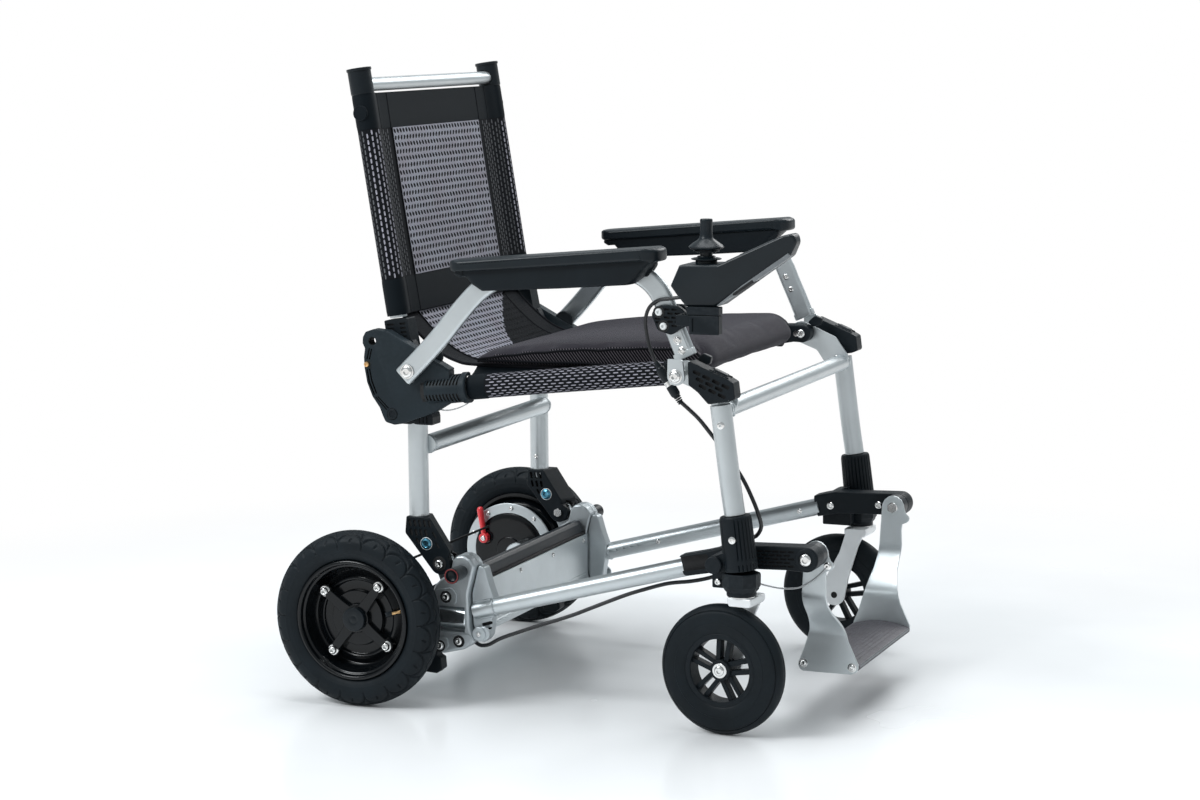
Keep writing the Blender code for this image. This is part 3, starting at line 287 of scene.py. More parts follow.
# painted highlight: the pale floor of the mesh's dashes stands for light caught in and showing through the open weave;
# the dim copy is the same glint painted in shade
GLINT = shader("mesh_thread", (0.33, 0.325, 0.375), 0.5, vary=0.35, vary_scale=160, spec=0.2)
GLINT_SHADED = shader("mesh_thread_dim", (0.075, 0.080, 0.088), 0.5, vary=0.35, vary_scale=150)
CUSH_TOP = weave("cushion_weave", (0.046, 0.040, 0.051), (0.014, 0.0125, 0.017), 0.0018,
                 tint=(0.038, 0.037, 0.047), sheen=0.10)
CUSH_SIDE = weave("cushion_border", (0.0052, 0.0056, 0.0090), (0.0024, 0.0026, 0.0042), 0.0016,
                  ribs=0.0036, rib_angle=38, rib_col=(0.125, 0.112, 0.126), sheen=0.05)
PIPING = weave("binding_black", (0.0095, 0.0105, 0.0140), (0.005, 0.0055, 0.0075), 0.0012, sheen=0.03)


# -------------------------------------------------------------- mesh helpers
def prism(pts, u0, u1):
    bm = bmesh.new()
    lo = [bm.verts.new((x, u0, z)) for x, z in pts]
    hi = [bm.verts.new((x, u1, z)) for x, z in pts]
    n = len(pts)
    bm.faces.new(lo)
    bm.faces.new(list(reversed(hi)))
    for i in range(n):
        j = (i + 1) % n
        bm.faces.new((lo[j], lo[i], hi[i], hi[j]))
    bmesh.ops.recalc_face_normals(bm, faces=bm.faces)
    return bm


def inset(pts, e):
    """The outline drawn in by e on every side."""
    area = sum(pts[i - 1][0] * pts[i][1] - pts[i][0] * pts[i - 1][1] for i in range(len(pts)))
    sg = 1 if area > 0 else -1
    out = []
    n = len(pts)
    for i in range(n):
        a = Vector(pts[i]) - Vector(pts[i - 1])
        b = Vector(pts[(i + 1) % n]) - Vector(pts[i])
        if a.length < 1e-9 or b.length < 1e-9:
            out.append(tuple(pts[i]))
            continue
        a.normalize()
        b.normalize()
        na, nb = Vector((-a.y, a.x)) * sg, Vector((-b.y, b.x)) * sg
        m = na + nb
        if m.length < 1e-6:
            m = na
        m.normalize()
        k = min(1.6, 1 / max(0.3, m.dot(na)))
        out.append((pts[i][0] + m.x * e * k, pts[i][1] + m.y * e * k))
    return out


def slab(pts, u0, u1, e=0.0010, n=2, both=True):
    """A plate of the outline with its face edges rounded over."""
    source = getattr(pts, "source", None)
    clean = [pts[0]]
    for p in pts[1:]:
        if abs(p[0] - clean[-1][0]) + abs(p[1] - clean[-1][1]) > 1e-5:
            clean.append(p)
    if abs(clean[0][0] - clean[-1][0]) + abs(clean[0][1] - clean[-1][1]) < 1e-5:
        clean.pop()
    if source:
        clean = list(pts)

    def ring(d):
        if d < 1e-9:
            return clean
        if source:
            raw, r, k = source
            rs = r if isinstance(r, (list, tuple)) else [r] * len(raw)
            q = rounded(inset(raw, d), [max(v - d, 0.35 * min(v, d)) if v > 0 else 0 for v in rs], k)
            if len(q) == len(clean):
                return q
        return inset(clean, d)
    rows = []
    bm = bmesh.new()
    steps = [(e * (1 - math.sin(math.pi / 2 * i / n)), e * (1 - math.cos(math.pi / 2 * i / n)))
             for i in range(n + 1)]
    lo = [(d, u0 + t) for d, t in steps] if both else [(0, u0)]
    hi = [(d, u1 - t) for d, t in reversed(steps)]
    for d, u in lo + hi:
        rows.append([bm.verts.new((x, u, z)) for x, z in ring(d)])
    m = len(clean)
    for ra, rb in zip(rows[:-1], rows[1:]):
        for k in range(m):
            j = (k + 1) % m
            bm.faces.new((ra[k], ra[j], rb[j], rb[k]))
    bm.faces.new(rows[0])
    bm.faces.new(list(reversed(rows[-1])))
    bmesh.ops.recalc_face_normals(bm, faces=bm.faces)
    return bm


def box(x0, x1, u0, u1, z0, z1):
    return prism([(x0, z0), (x1, z0), (x1, z1), (x0, z1)], u0, u1)


def arc(c, r, a0, a1, n):
    return [(c[0] + r * math.cos(math.radians(a0 + (a1 - a0) * i / n)),
             c[1] + r * math.sin(math.radians(a0 + (a1 - a0) * i / n)))
            for i in range(n + 1)]


class Outline(list):
    """A rounded outline that remembers its corners, so that it can be drawn in cleanly."""
    source = None


def rounded(pts, r, n=4):
    out = Outline()
    out.source = (list(pts), r, n)
    m = len(pts)
    for i in range(m):
        p = Vector(pts[i])
        a = Vector(pts[i - 1]) - p
        b = Vector(pts[(i + 1) % m]) - p
        rr = r[i] if isinstance(r, (list, tuple)) else r
        ang = a.angle(b)
        if rr <= 0 or ang > math.radians(174):
            out.append(tuple(p))
            continue
        cut_ = min(rr / math.tan(ang / 2), 0.45 * a.length, 0.45 * b.length)
        rr = cut_ * math.tan(ang / 2)
        p0 = p + a.normalized() * cut_
        p1 = p + b.normalized() * cut_
        cc = p + (a.normalized() + b.normalized()).normalized() * (rr / math.sin(ang / 2))
        v0, v1 = p0 - cc, p1 - cc
        t0 = math.atan2(v0.y, v0.x)
        dt = math.atan2(v1.y, v1.x) - t0
        while dt > math.pi:
            dt -= 2 * math.pi
        while dt < -math.pi:
            dt += 2 * math.pi
        for k in range(n + 1):
            t = t0 + dt * k / n
            out.append((cc.x + rr * math.cos(t), cc.y + rr * math.sin(t)))
    return out


def frame_for(d):
    d = d.normalized()
    up = Vector((0, 0, 1)) if abs(d.z) < 0.9 else Vector((1, 0, 0))
    a = up.cross(d).normalized()
    return a, d.cross(a).normalized()


def turned(p0, p1, profile, seg=40, closed=False, hexed=()):
    """Turn a profile of (radius, distance) about p0-p1; rings named in hexed are six-sided."""
    p0, p1 = Vector(p0), Vector(p1)
    d = (p1 - p0).normalized()
    a, b = frame_for(d)
    bm = bmesh.new()
    rings = []
    for i, (r, t) in enumerate(profile):
        c = p0 + d * t
        if r <= 1e-9:
            rings.append([bm.verts.new(c)])
            continue
        ring = []
        for k in range(seg):
            th = 2 * math.pi * (k + 0.5) / seg
            rr = r
            if i in hexed:
                ph = (th % (math.pi / 3)) - math.pi / 6
                rr = r / math.cos(ph)
            ring.append(bm.verts.new(c + (a * math.cos(th) + b * math.sin(th)) * rr))
        rings.append(ring)
    pairs = list(zip(rings[:-1], rings[1:]))
    if closed:
        pairs.append((rings[-1], rings[0]))
    for ra, rb in pairs:
        for k in range(seg):
            j = (k + 1) % seg
            if len(ra) == 1 and len(rb) == 1:
                continue
            if len(ra) == 1:
                bm.faces.new((ra[0], rb[j], rb[k]))
            elif len(rb) == 1:
                bm.faces.new((ra[k], ra[j], rb[0]))
            else:
                bm.faces.new((ra[k], ra[j], rb[j], rb[k]))
    if not closed:
        for ring in (rings[0], rings[-1]):
            if len(ring) > 1:
                bm.faces.new(ring)
    bmesh.ops.recalc_face_normals(bm, faces=bm.faces)
    return bm


def cyl(p0, p1, r0, r1=None, seg=40, edge=0.0):
    r1 = r0 if r1 is None else r1
    n = (Vector(p1) - Vector(p0)).length
    if edge:
        return turned(p0, p1, [(r0 - edge, 0), (r0 - edge * 0.3, edge * 0.3), (r0, edge),
                               (r1, n - edge), (r1 - edge * 0.3, n - edge * 0.3), (r1 - edge, n)], seg)
    return turned(p0, p1, [(r0, 0.0), (r1, n)], seg)


def spin_u(c, profile, seg=40, closed=False, hexed=()):
    return turned((c[0], 0, c[1]), (c[0], 1, c[1]), profile, seg, closed, hexed)


def cap_screw(c, u0, u1, r, seg=36):
    """A button-head screw with a hexagon socket, its head from u0 out to u1."""
    h = u1 - u0
    return spin_u(c, [(r * 0.98, u0), (r, u0 + h * 0.12), (r, u0 + h * 0.42), (r * 0.94, u0 + h * 0.68),
                      (r * 0.80, u0 + h * 0.90), (r * 0.62, u1), (r * 0.50, u1),
                      (r * 0.42, u1 - h * 0.06), (r * 0.40, u1 - h * 0.62), (0, u1 - h * 0.62)],
                  seg, hexed=(7, 8))


def smooth_path(pts, step):
    P = [Vector(p) for p in pts]
    P = [P[0] * 2 - P[1]] + P + [P[-1] * 2 - P[-2]]
    dense = []
    for i in range(1, len(P) - 2):
        for k in range(24):
            t = k / 24
            a, b, c, d = P[i - 1], P[i], P[i + 1], P[i + 2]
            dense.append(0.5 * ((2 * b) + (c - a) * t + (2 * a - 5 * b + 4 * c - d) * t * t
                                + (3 * b - 3 * c + d - a) * t ** 3))
    dense.append(P[-2])
    total = sum((q - p).length for p, q in zip(dense[:-1], dense[1:]))
    n = max(2, int(round(total / step)))
    out, want, run = [dense[0].copy()], total / n, 0.0
    for p, q in zip(dense[:-1], dense[1:]):
        seg = (q - p).length
        while run + seg >= want and len(out) < n:
            f = (want - run) / seg
            p = p + (q - p) * f
            out.append(p.copy())
            seg = (q - p).length
            run = 0.0
        run += seg
    out.append(dense[-1].copy())
    return out


def sweep(path, sec, sizes=None):
    bm = bmesh.new()
    rings = []
    n = len(path)
    for i, p in enumerate(path):
        a = Vector(path[max(0, i - 1)])
        b = Vector(path[min(n - 1, i + 1)])
        t = (b - a).normalized()
        side = Vector((0, 1, 0))
        nrm = side.cross(t).normalized()
        k = sizes[i] if sizes else 1.0
        rings.append([bm.verts.new(Vector(p) + (nrm * q[0] + side * q[1]) * k) for q in sec])
    m = len(sec)
    for ra, rb in zip(rings[:-1], rings[1:]):
        for k in range(m):
            j = (k + 1) % m
            bm.faces.new((ra[k], ra[j], rb[j], rb[k]))
    bm.faces.new(rings[0])
    bm.faces.new(list(reversed(rings[-1])))
    bmesh.ops.recalc_face_normals(bm, faces=bm.faces)
    return bm


def thread(rings, n=16):
    """A round body along a path whose radius changes: (point, radius) rings."""
    bm = bmesh.new()
    up, rows = None, []
    for i, (p, r) in enumerate(rings):
        p = Vector(p)
        a, b = Vector(rings[max(0, i - 1)][0]), Vector(rings[min(len(rings) - 1, i + 1)][0])
        t = (b - a).normalized()
        if up is None:
            up = frame_for(t)[0]
        up = (up - t * up.dot(t)).normalized()
        side = t.cross(up)
        rows.append([bm.verts.new(p + (up * math.cos(2 * math.pi * k / n)
                                       + side * math.sin(2 * math.pi * k / n)) * r)
                     for k in range(n)])
    for ra, rb in zip(rows[:-1], rows[1:]):
        for k in range(n):
            j = (k + 1) % n
            bm.faces.new((ra[k], ra[j], rb[j], rb[k]))
    bm.faces.new(rows[0])
    bm.faces.new(list(reversed(rows[-1])))
    bmesh.ops.recalc_face_normals(bm, faces=bm.faces)
    return bm


def mirror(bm, s):
    if s < 0:
        for v in bm.verts:
            v.co.y = -v.co.y
        bmesh.ops.reverse_faces(bm, faces=bm.faces)
    return bm


def join(parts, mats=None):
    """Separate closed shapes in one mesh; mats gives each its material index."""
    out = bmesh.new()
    for i, p in enumerate(parts):
        me = bpy.data.meshes.new("tmp")
        if mats:
            for f in p.faces:
                f.material_index = mats[i]
        p.to_mesh(me)
        p.free()
        out.from_mesh(me)
        bpy.data.meshes.remove(me)
    return out


def boolean(base, others, op, dark=False):
    obs = []
    for bm in [base] + list(others):
        me = bpy.data.meshes.new("tmp")
        if dark and obs:
            for f in bm.faces:
                f.material_index = 1
        bm.to_mesh(me)
        if dark:
            me.materials.append(BLACK)
            me.materials.append(RECESS_SHADE)
        bm.free()
        ob = bpy.data.objects.new("tmp", me)
        bpy.context.scene.collection.objects.link(ob)
        obs.append(ob)
    for other in obs[1:]:
        m = obs[0].modifiers.new("b", 'BOOLEAN')
        m.operation = op
        m.solver = 'EXACT'
        m.object = other
        if dark:
            m.material_mode = 'INDEX'
    bpy.context.view_layer.update()
    dg = bpy.context.evaluated_depsgraph_get()
    me = bpy.data.meshes.new_from_object(obs[0].evaluated_get(dg))
    out = bmesh.new()
    out.from_mesh(me)
    bpy.data.meshes.remove(me)
    for ob in obs:
        old = ob.data
        bpy.data.objects.remove(ob, do_unlink=True)
        bpy.data.meshes.remove(old)
    bmesh.ops.remove_doubles(out, verts=out.verts, dist=2e-6)
    bmesh.ops.dissolve_degenerate(out, edges=out.edges, dist=2e-6)
    return out


def union(base, *others):
    return boolean(base, others, 'UNION')


def cut(base, *others):
    return boolean(base, others, 'DIFFERENCE')


def cutd(base, *others):
    """A cut whose own walls and floor take the second material, the painted recess shade."""
    return boolean(base, others, 'DIFFERENCE', True)


def soften(bm, w, seg=2, limit=35, pick=None):
    edges = [e for e in bm.edges if len(e.link_faces) == 2
             and e.calc_face_angle(0) > math.radians(limit) and (pick is None or pick(e))]
    bmesh.ops.bevel(bm, geom=edges, offset=w, segments=seg, affect='EDGES', profile=0.6,
                    clamp_overlap=True)
    return bm


def slots(items, u0, u1, n=3, r=0.42):
    """Rounded slots (x, z, length, height, turn in degrees) as one cutter."""
    parts = []
    for x, z, w, h, a in items:
        c, s = math.cos(math.radians(a)), math.sin(math.radians(a))
        pts = [(-w / 2, -h / 2), (w / 2, -h / 2), (w / 2, h / 2), (-w / 2, h / 2)]
        pts = [(x + p * c - q * s, z + p * s + q * c) for p, q in pts]
        parts.append(prism(rounded(pts, min(w, h) * r, n), u0, u1))
    return join(parts)


def paint(bm, test, index):
    """Give the faces whose centre and normal pass the test another material."""
    for f in bm.faces:
        if test(f.calc_center_median(), f.normal):
            f.material_index = index
    return bm


def piece(name, bm, mats, body, replaces=(), angle=34, weighted=True, sub=0):
    for v in bm.verts:
        v.co.x -= X0
    me = bpy.data.meshes.new(name)
    bm.to_mesh(me)
    bm.free()
    for m in (mats if isinstance(mats, (list, tuple)) else [mats]):
        me.materials.append(m)
    me.shade_smooth()
    me.set_sharp_from_angle(angle=math.radians(angle))
    ob = bpy.data.objects.new(name, me)
    bpy.context.scene.collection.objects.link(ob)
    if sub:
        md = ob.modifiers.new("sub", 'SUBSURF')
        md.levels = md.render_levels = sub
    if weighted:
        md = ob.modifiers.new("wn", 'WEIGHTED_NORMAL')
        md.keep_sharp = True
    if body:
        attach(ob, body)
    if replaces:
        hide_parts(*replaces)
    return ob


def grid(fn, na, nb, close_b=False):
    """A quad sheet of fn(i, j) points, with UVs from fn's second result in metres."""
    bm = bmesh.new()
    uvl = bm.loops.layers.uv.new("UVMap")
    pts = [[fn(i, j) for j in range(nb + (0 if close_b else 1))] for i in range(na + 1)]
    vs = [[bm.verts.new(p[0]) for p in row] for row in pts]
    for i in range(na):
        for j in range(nb):
            k = (j + 1) % nb if close_b else j + 1
            f = bm.faces.new((vs[i][j], vs[i + 1][j], vs[i + 1][k], vs[i][k]))
            for lp, (a, b) in zip(f.loops, ((i, j), (i + 1, j), (i + 1, k), (i, k))):
                lp[uvl].uv = pts[a][b][1]
    return bm


def pierced(surf, a0, a1, na, b0, b1, nb, hole, depth, mats=(0, 1), stagger=False, thick=0.0):
    """A sheet over surf(a, b, drop) divided into cells, each with a sunk hole.
    hole(i, j) gives eight points in the unit cell, anticlockwise from the lower left."""
    bm = bmesh.new()
    uvl = bm.loops.layers.uv.new("UVMap")
    da, db = (a1 - a0) / na, (b1 - b0) / nb
    rim = [(0, 0), (0.5, 0), (1, 0), (1, 0.5), (1, 1), (0.5, 1), (0, 1), (0, 0.5)]

    def face(pts, m):
        co = [surf(p[0], p[1], p[2]) for p in pts]
        f = bm.faces.new([bm.verts.new(c) for c in co])
        f.material_index = m
        for lp, p in zip(f.loops, pts):
            lp[uvl].uv = (p[0], p[1])

    for j in range(nb):
        off = 0.5 if (stagger and j % 2) else 0.0
        for i in range(-1 if off else 0, na):
            ring = [(a0 + min(max(i + off + x, 0), na) * da, b0 + (j + y) * db, 0.0) for x, y in rim]
            hp = hole(i, j)
            cut_off = (i + off < 0) or (i + off + 1 > na)
            if hp is None or cut_off:
                if len({(round(p[0], 7), round(p[1], 7)) for p in ring}) < 4:
                    continue
                uniq = []
                for p in ring:
                    if not uniq or (abs(p[0] - uniq[-1][0]) + abs(p[1] - uniq[-1][1])) > 1e-7:
                        uniq.append(p)
                if abs(uniq[0][0] - uniq[-1][0]) + abs(uniq[0][1] - uniq[-1][1]) < 1e-7:
                    uniq.pop()
                face(uniq, mats[0])
                continue
            top = [(a0 + (i + off + x) * da, b0 + (j + y) * db, 0.0) for x, y in hp]
            low = [(a0 + (i + off + 0.5 + (x - 0.5) * 0.82) * da, b0 + (j + 0.5 + (y - 0.5) * 0.82) * db,
                    depth) for x, y in hp]
            for k in range(8):
                q = (k + 1) % 8
                face([ring[k], ring[q], top[q], top[k]], mats[0])
                face([top[k], top[q], low[q], low[k]], mats[-1])
            face(low, mats[1])
    bmesh.ops.remove_doubles(bm, verts=bm.verts, dist=2e-6)
    return bm


def oval(wx, wy, cx=0.5, cy=0.5, slant=0.0):
    """Eight points round an oval in the unit cell, from its lower left."""
    out = []
    for k in range(8):
        t = math.radians(225 + 45 * k)
        r = 1.0 if k % 2 else 1.12
        y = wy / 2 * math.sin(t) * r
        out.append((cx + wx / 2 * math.cos(t) * r + slant * y, cy + y))
    return out


# --------------------------------------------------------- camera and studio
def camera():
    a, p, r = math.radians(21.958), math.radians(7.917), math.radians(0.42)
    fw = Vector((-math.sin(a) * math.cos(p), math.cos(a) * math.cos(p), -math.sin(p)))
    right = Vector((math.cos(a), math.sin(a), 0))
    down = fw.cross(right)
    rr = right * math.cos(r) + down * math.sin(r)
    dd = down * math.cos(r) - right * math.sin(r)
    cam = bpy.data.cameras.new("camera")
    cam.lens, cam.sensor_width, cam.sensor_fit = 83.09, 36, 'HORIZONTAL'
    ob = bpy.data.objects.new("camera", cam)
    m = Matrix((rr, -dd, -fw)).transposed().to_4x4()
    m.translation = Vector((1.7866 - X0, -3.7909, 0.9847))
    ob.matrix_world = m
    bpy.context.scene.collection.objects.link(ob)
    bpy.context.scene.camera = ob


def lamp(name, kind, loc, aim, power, size, size_y=None, color=(1, 1, 1)):
    li = bpy.data.lights.new(name, kind)
    li.energy, li.color = power, color
    if kind == 'AREA':
        li.shape = 'RECTANGLE'
        li.size, li.size_y = size, size_y or size
    ob = bpy.data.objects.new(name, li)
    ob.location = loc
    ob.rotation_mode = 'QUATERNION'
    ob.rotation_quaternion = (Vector(aim) - Vector(loc)).to_track_quat('-Z', 'Y')
    bpy.context.scene.collection.objects.link(ob)


def studio():
    """White surround: the camera sees plain white, the object a softer light."""
    w = bpy.data.worlds.new("studio")
    bpy.context.scene.world = w
    w.use_nodes = True
    nt = w.node_tree
    bg = nt.nodes["Background"]
    bg.inputs[0].default_value = (1.0, 1.0, 1.0, 1)
    lp = nt.nodes.new("ShaderNodeLightPath")
    nt.links.new(remap(nt, lp.outputs["Is Camera Ray"], 0, 1, 0.46, 1.0), bg.inputs[1])
    nt.links.new(mix(nt, lp.outputs["Is Camera Ray"], (0.90, 0.965, 1.0, 1), (1, 1, 1, 1)), bg.inputs[0])
    bm = bmesh.new()
    n, size = 12, 9.0
    vs = [[bm.verts.new((-size + 2 * size * i / n, -size + 2 * size * j / n, 0)) for j in range(n + 1)]
          for i in range(n + 1)]
    for i in range(n):
        for j in range(n):
            bm.faces.new((vs[i][j], vs[i + 1][j], vs[i + 1][j + 1], vs[i][j + 1]))
    me = bpy.data.meshes.new("floor")
    bm.to_mesh(me)
    bm.free()
    m, nt, b = tree("floor")
    v = coords(nt)
    f = noise_tex(nt, v, 1.4, 3)
    nt.links.new(mix(nt, f, (0.90, 0.91, 0.92, 1), (0.94, 0.945, 0.95, 1)), b.inputs["Base Color"])
    nt.links.new(remap(nt, noise_tex(nt, v, 3.0, 3), 0.3, 0.7, 0.16, 0.28), b.inputs["Roughness"])
    b.inputs["Specular IOR Level"].default_value = 0.5
    far = nt.nodes.new("ShaderNodeVectorMath")
    far.operation = 'LENGTH'
    nt.links.new(v, far.inputs[0])
    glow = nt.nodes.new("ShaderNodeEmission")
    glow.inputs[0].default_value = (1, 1, 1, 1)
    glow.inputs[1].default_value = 1.0
    blend = nt.nodes.new("ShaderNodeMixShader")
    nt.links.new(remap(nt, far.outputs["Value"], 0.75, 1.7, 0, 1), blend.inputs[0])
    nt.links.new(b.outputs[0], blend.inputs[1])
    nt.links.new(glow.outputs[0], blend.inputs[2])
    nt.links.new(blend.outputs[0], nt.nodes["Material Output"].inputs["Surface"])
    me.materials.append(m)
    ob = bpy.data.objects.new("floor", me)
    bpy.context.scene.collection.objects.link(ob)
    ob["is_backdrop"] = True
    lamp("key", 'AREA', (-1.9, -2.4, 2.9), (0, 0, 0.45), 92, 1.7, 1.2, color=(0.95, 0.98, 1.0))
    lamp("top", 'AREA', (0.0, 0.1, 3.0), (0, 0, 0.3), 62, 2.2, 1.8, color=(0.95, 0.98, 1.0))
    lamp("back", 'AREA', (0.9, 3.0, 2.4), (0, 0, 0.5), 40, 2.4, 1.2)


bpy.context.scene.view_settings.view_transform = "Standard"
camera()
studio()

# Every CAD node starts with the finish of its kind; most are then replaced by a
# piece with more detail.
FINISH = {"satin_aluminium": ALU, "black_plastic": BLACK, "soft_black": SOFT, "tyre_rubber": RUBBER,
          "black_rim": RIM, "mesh_fabric": DARKMESH, "cushion_fabric": CUSH_TOP,
          "bright_steel": STEEL, "red_lever": RED, "battery_case": BATT, "footplate_grey": STEP,
          "cable_black": WIRE}
for name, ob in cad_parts.items():
    for sl in ob.material_slots:
        key = sl.material.name.split(".")[0] if sl.material else ""
        sl.material = FINISH.get(key, BLACK)

# --------------------------------------------------------------- drive wheels
TYRE = [(0.0885, 0.0195), (0.0950, 0.0226), (0.1020, 0.0243), (0.1080, 0.0243), (0.1150, 0.0228),
        (0.1202, 0.0190), (0.1240, 0.0145), (0.1264, 0.0095), (0.1274, 0.0045), (0.1275, 0.0),
        (0.1274, -0.0045), (0.1264, -0.0095), (0.1240, -0.0145), (0.1202, -0.0190),
        (0.1150, -0.0228), (0.1080, -0.0243), (0.1020, -0.0243), (0.0950, -0.0226),
        (0.0885, -0.0195)]


def groove(d, w):
    """Depth share of a groove of half width w at distance d from its middle."""
    k = abs(d) / w
    return 0.0 if k >= 1 else (1 - k * k) ** 2


def drive_tyre():
    prof = smooth_path([(r, t, 0) for r, t in TYRE], 0.0013)
    run, s = [], 0.0
    for i, p in enumerate(prof):
        if i:
            s += (p - prof[i - 1]).length
        run.append(s)
    mid = s / 2
    n_th, n_sc = 612, 18
    bm = bmesh.new()
    rows = []
    for k in range(n_th):
        th = 2 * math.pi * k / n_th
        row = []
        ph = (th / (2 * math.pi) * n_sc) % 1.0
        for i, p in enumerate(prof):
            r, t = p.x, p.y
            a = abs(run[i] - mid)              # distance from the crown's middle
            q = (ph + (0.5 if t < 0 else 0.0)) % 1.0 - 0.5
            cut_ = 0.0
            if 0.007 < a < 0.037:
                e = max(0.0, 1 - (2 * q) ** 2)
                line = 0.0340 - 0.0190 * math.sqrt(e)
                slope = 0.0190 * 4 * abs(q) / max(0.12, math.sqrt(e)) / (2 * math.pi * 0.118 / n_sc)
                cut_ = max(cut_, groove((a - line) / math.sqrt(1 + slope * slope), 0.0017))
                # a short oblique cut from each cusp up to the crown, and one in the scale
                for q0, a0, a1, lean in ((0.5, 0.0105, 0.0300, 0.20), (0.02, 0.0215, 0.0285, -0.25)):
                    dq = (q - q0 + 0.5) % 1.0 - 0.5
                    w = (dq - lean * (0.030 - a) / 0.030) * 2 * math.pi * 0.120 / n_sc
                    if a0 < a < a1:
                        cut_ = max(cut_, 0.9 * groove(w, 0.0015))
            if a < 0.0125:
                wavy = 0.0062 + 0.0018 * math.sin(2 * math.pi * 2 * ph)
                cut_ = max(cut_, groove(a - wavy, 0.0015))
            drop = 0.0030 * cut_
            if 0.0370 < a < 0.0384:
                drop -= 0.00045                # the ridge under the scales
            if 0.0440 < a < 0.0450 or 0.0475 < a < 0.0482:
                drop -= 0.0003
            nrm = Vector((r - 0.1055, t, 0)).normalized()
            rr, tt = r - nrm.x * drop, t - nrm.y * drop
            row.append(bm.verts.new((rr * math.cos(th), WHEEL_U + tt, WHEEL_R + rr * math.sin(th))))
        rows.append(row)
    m = len(prof)
    for k in range(n_th):
        ra, rb = rows[k], rows[(k + 1) % n_th]
        for i in range(m):
            j = (i + 1) % m
            bm.faces.new((ra[i], rb[i], rb[j], ra[j]))
    bmesh.ops.recalc_face_normals(bm, faces=bm.faces)
    return bm


RIM_D = [(0.0, 0.0020), (0.0300, 0.0020), (0.0395, 0.0018), (0.0405, 0.0005), (0.0405, -0.0040),
         (0.0415, -0.0052), (0.0525, -0.0056), (0.0545, -0.0045), (0.0555, -0.0020), (0.0570, -0.0012),
         (0.0600, -0.0020), (0.0625, -0.0045), (0.0690, -0.0075), (0.0725, -0.0050), (0.0748, 0.0020),
         (0.0760, 0.0110), (0.0768, 0.0150), (0.0778, 0.0162), (0.0790, 0.0165), (0.0800, 0.0172),
         (0.0806, 0.0195), (0.0814, 0.0222), (0.0828, 0.0234), (0.0846, 0.0236), (0.0864, 0.0230),
         (0.0875, 0.0215), (0.0880, 0.0190), (0.0880, -0.0190), (0.0870, -0.0200), (0.0825, -0.0200),
         (0.0815, -0.0190), (0.0780, -0.0120), (0.0720, -0.0200), (0.0690, -0.0225), (0.0, -0.0225)]
SPOKES = [52.7, 142.7, 232.7, 322.7]


def turn(p, q, a):
    c, n = math.cos(math.radians(a)), math.sin(math.radians(a))
    return (p * c - q * n, WHEEL_R + p * n + q * c)


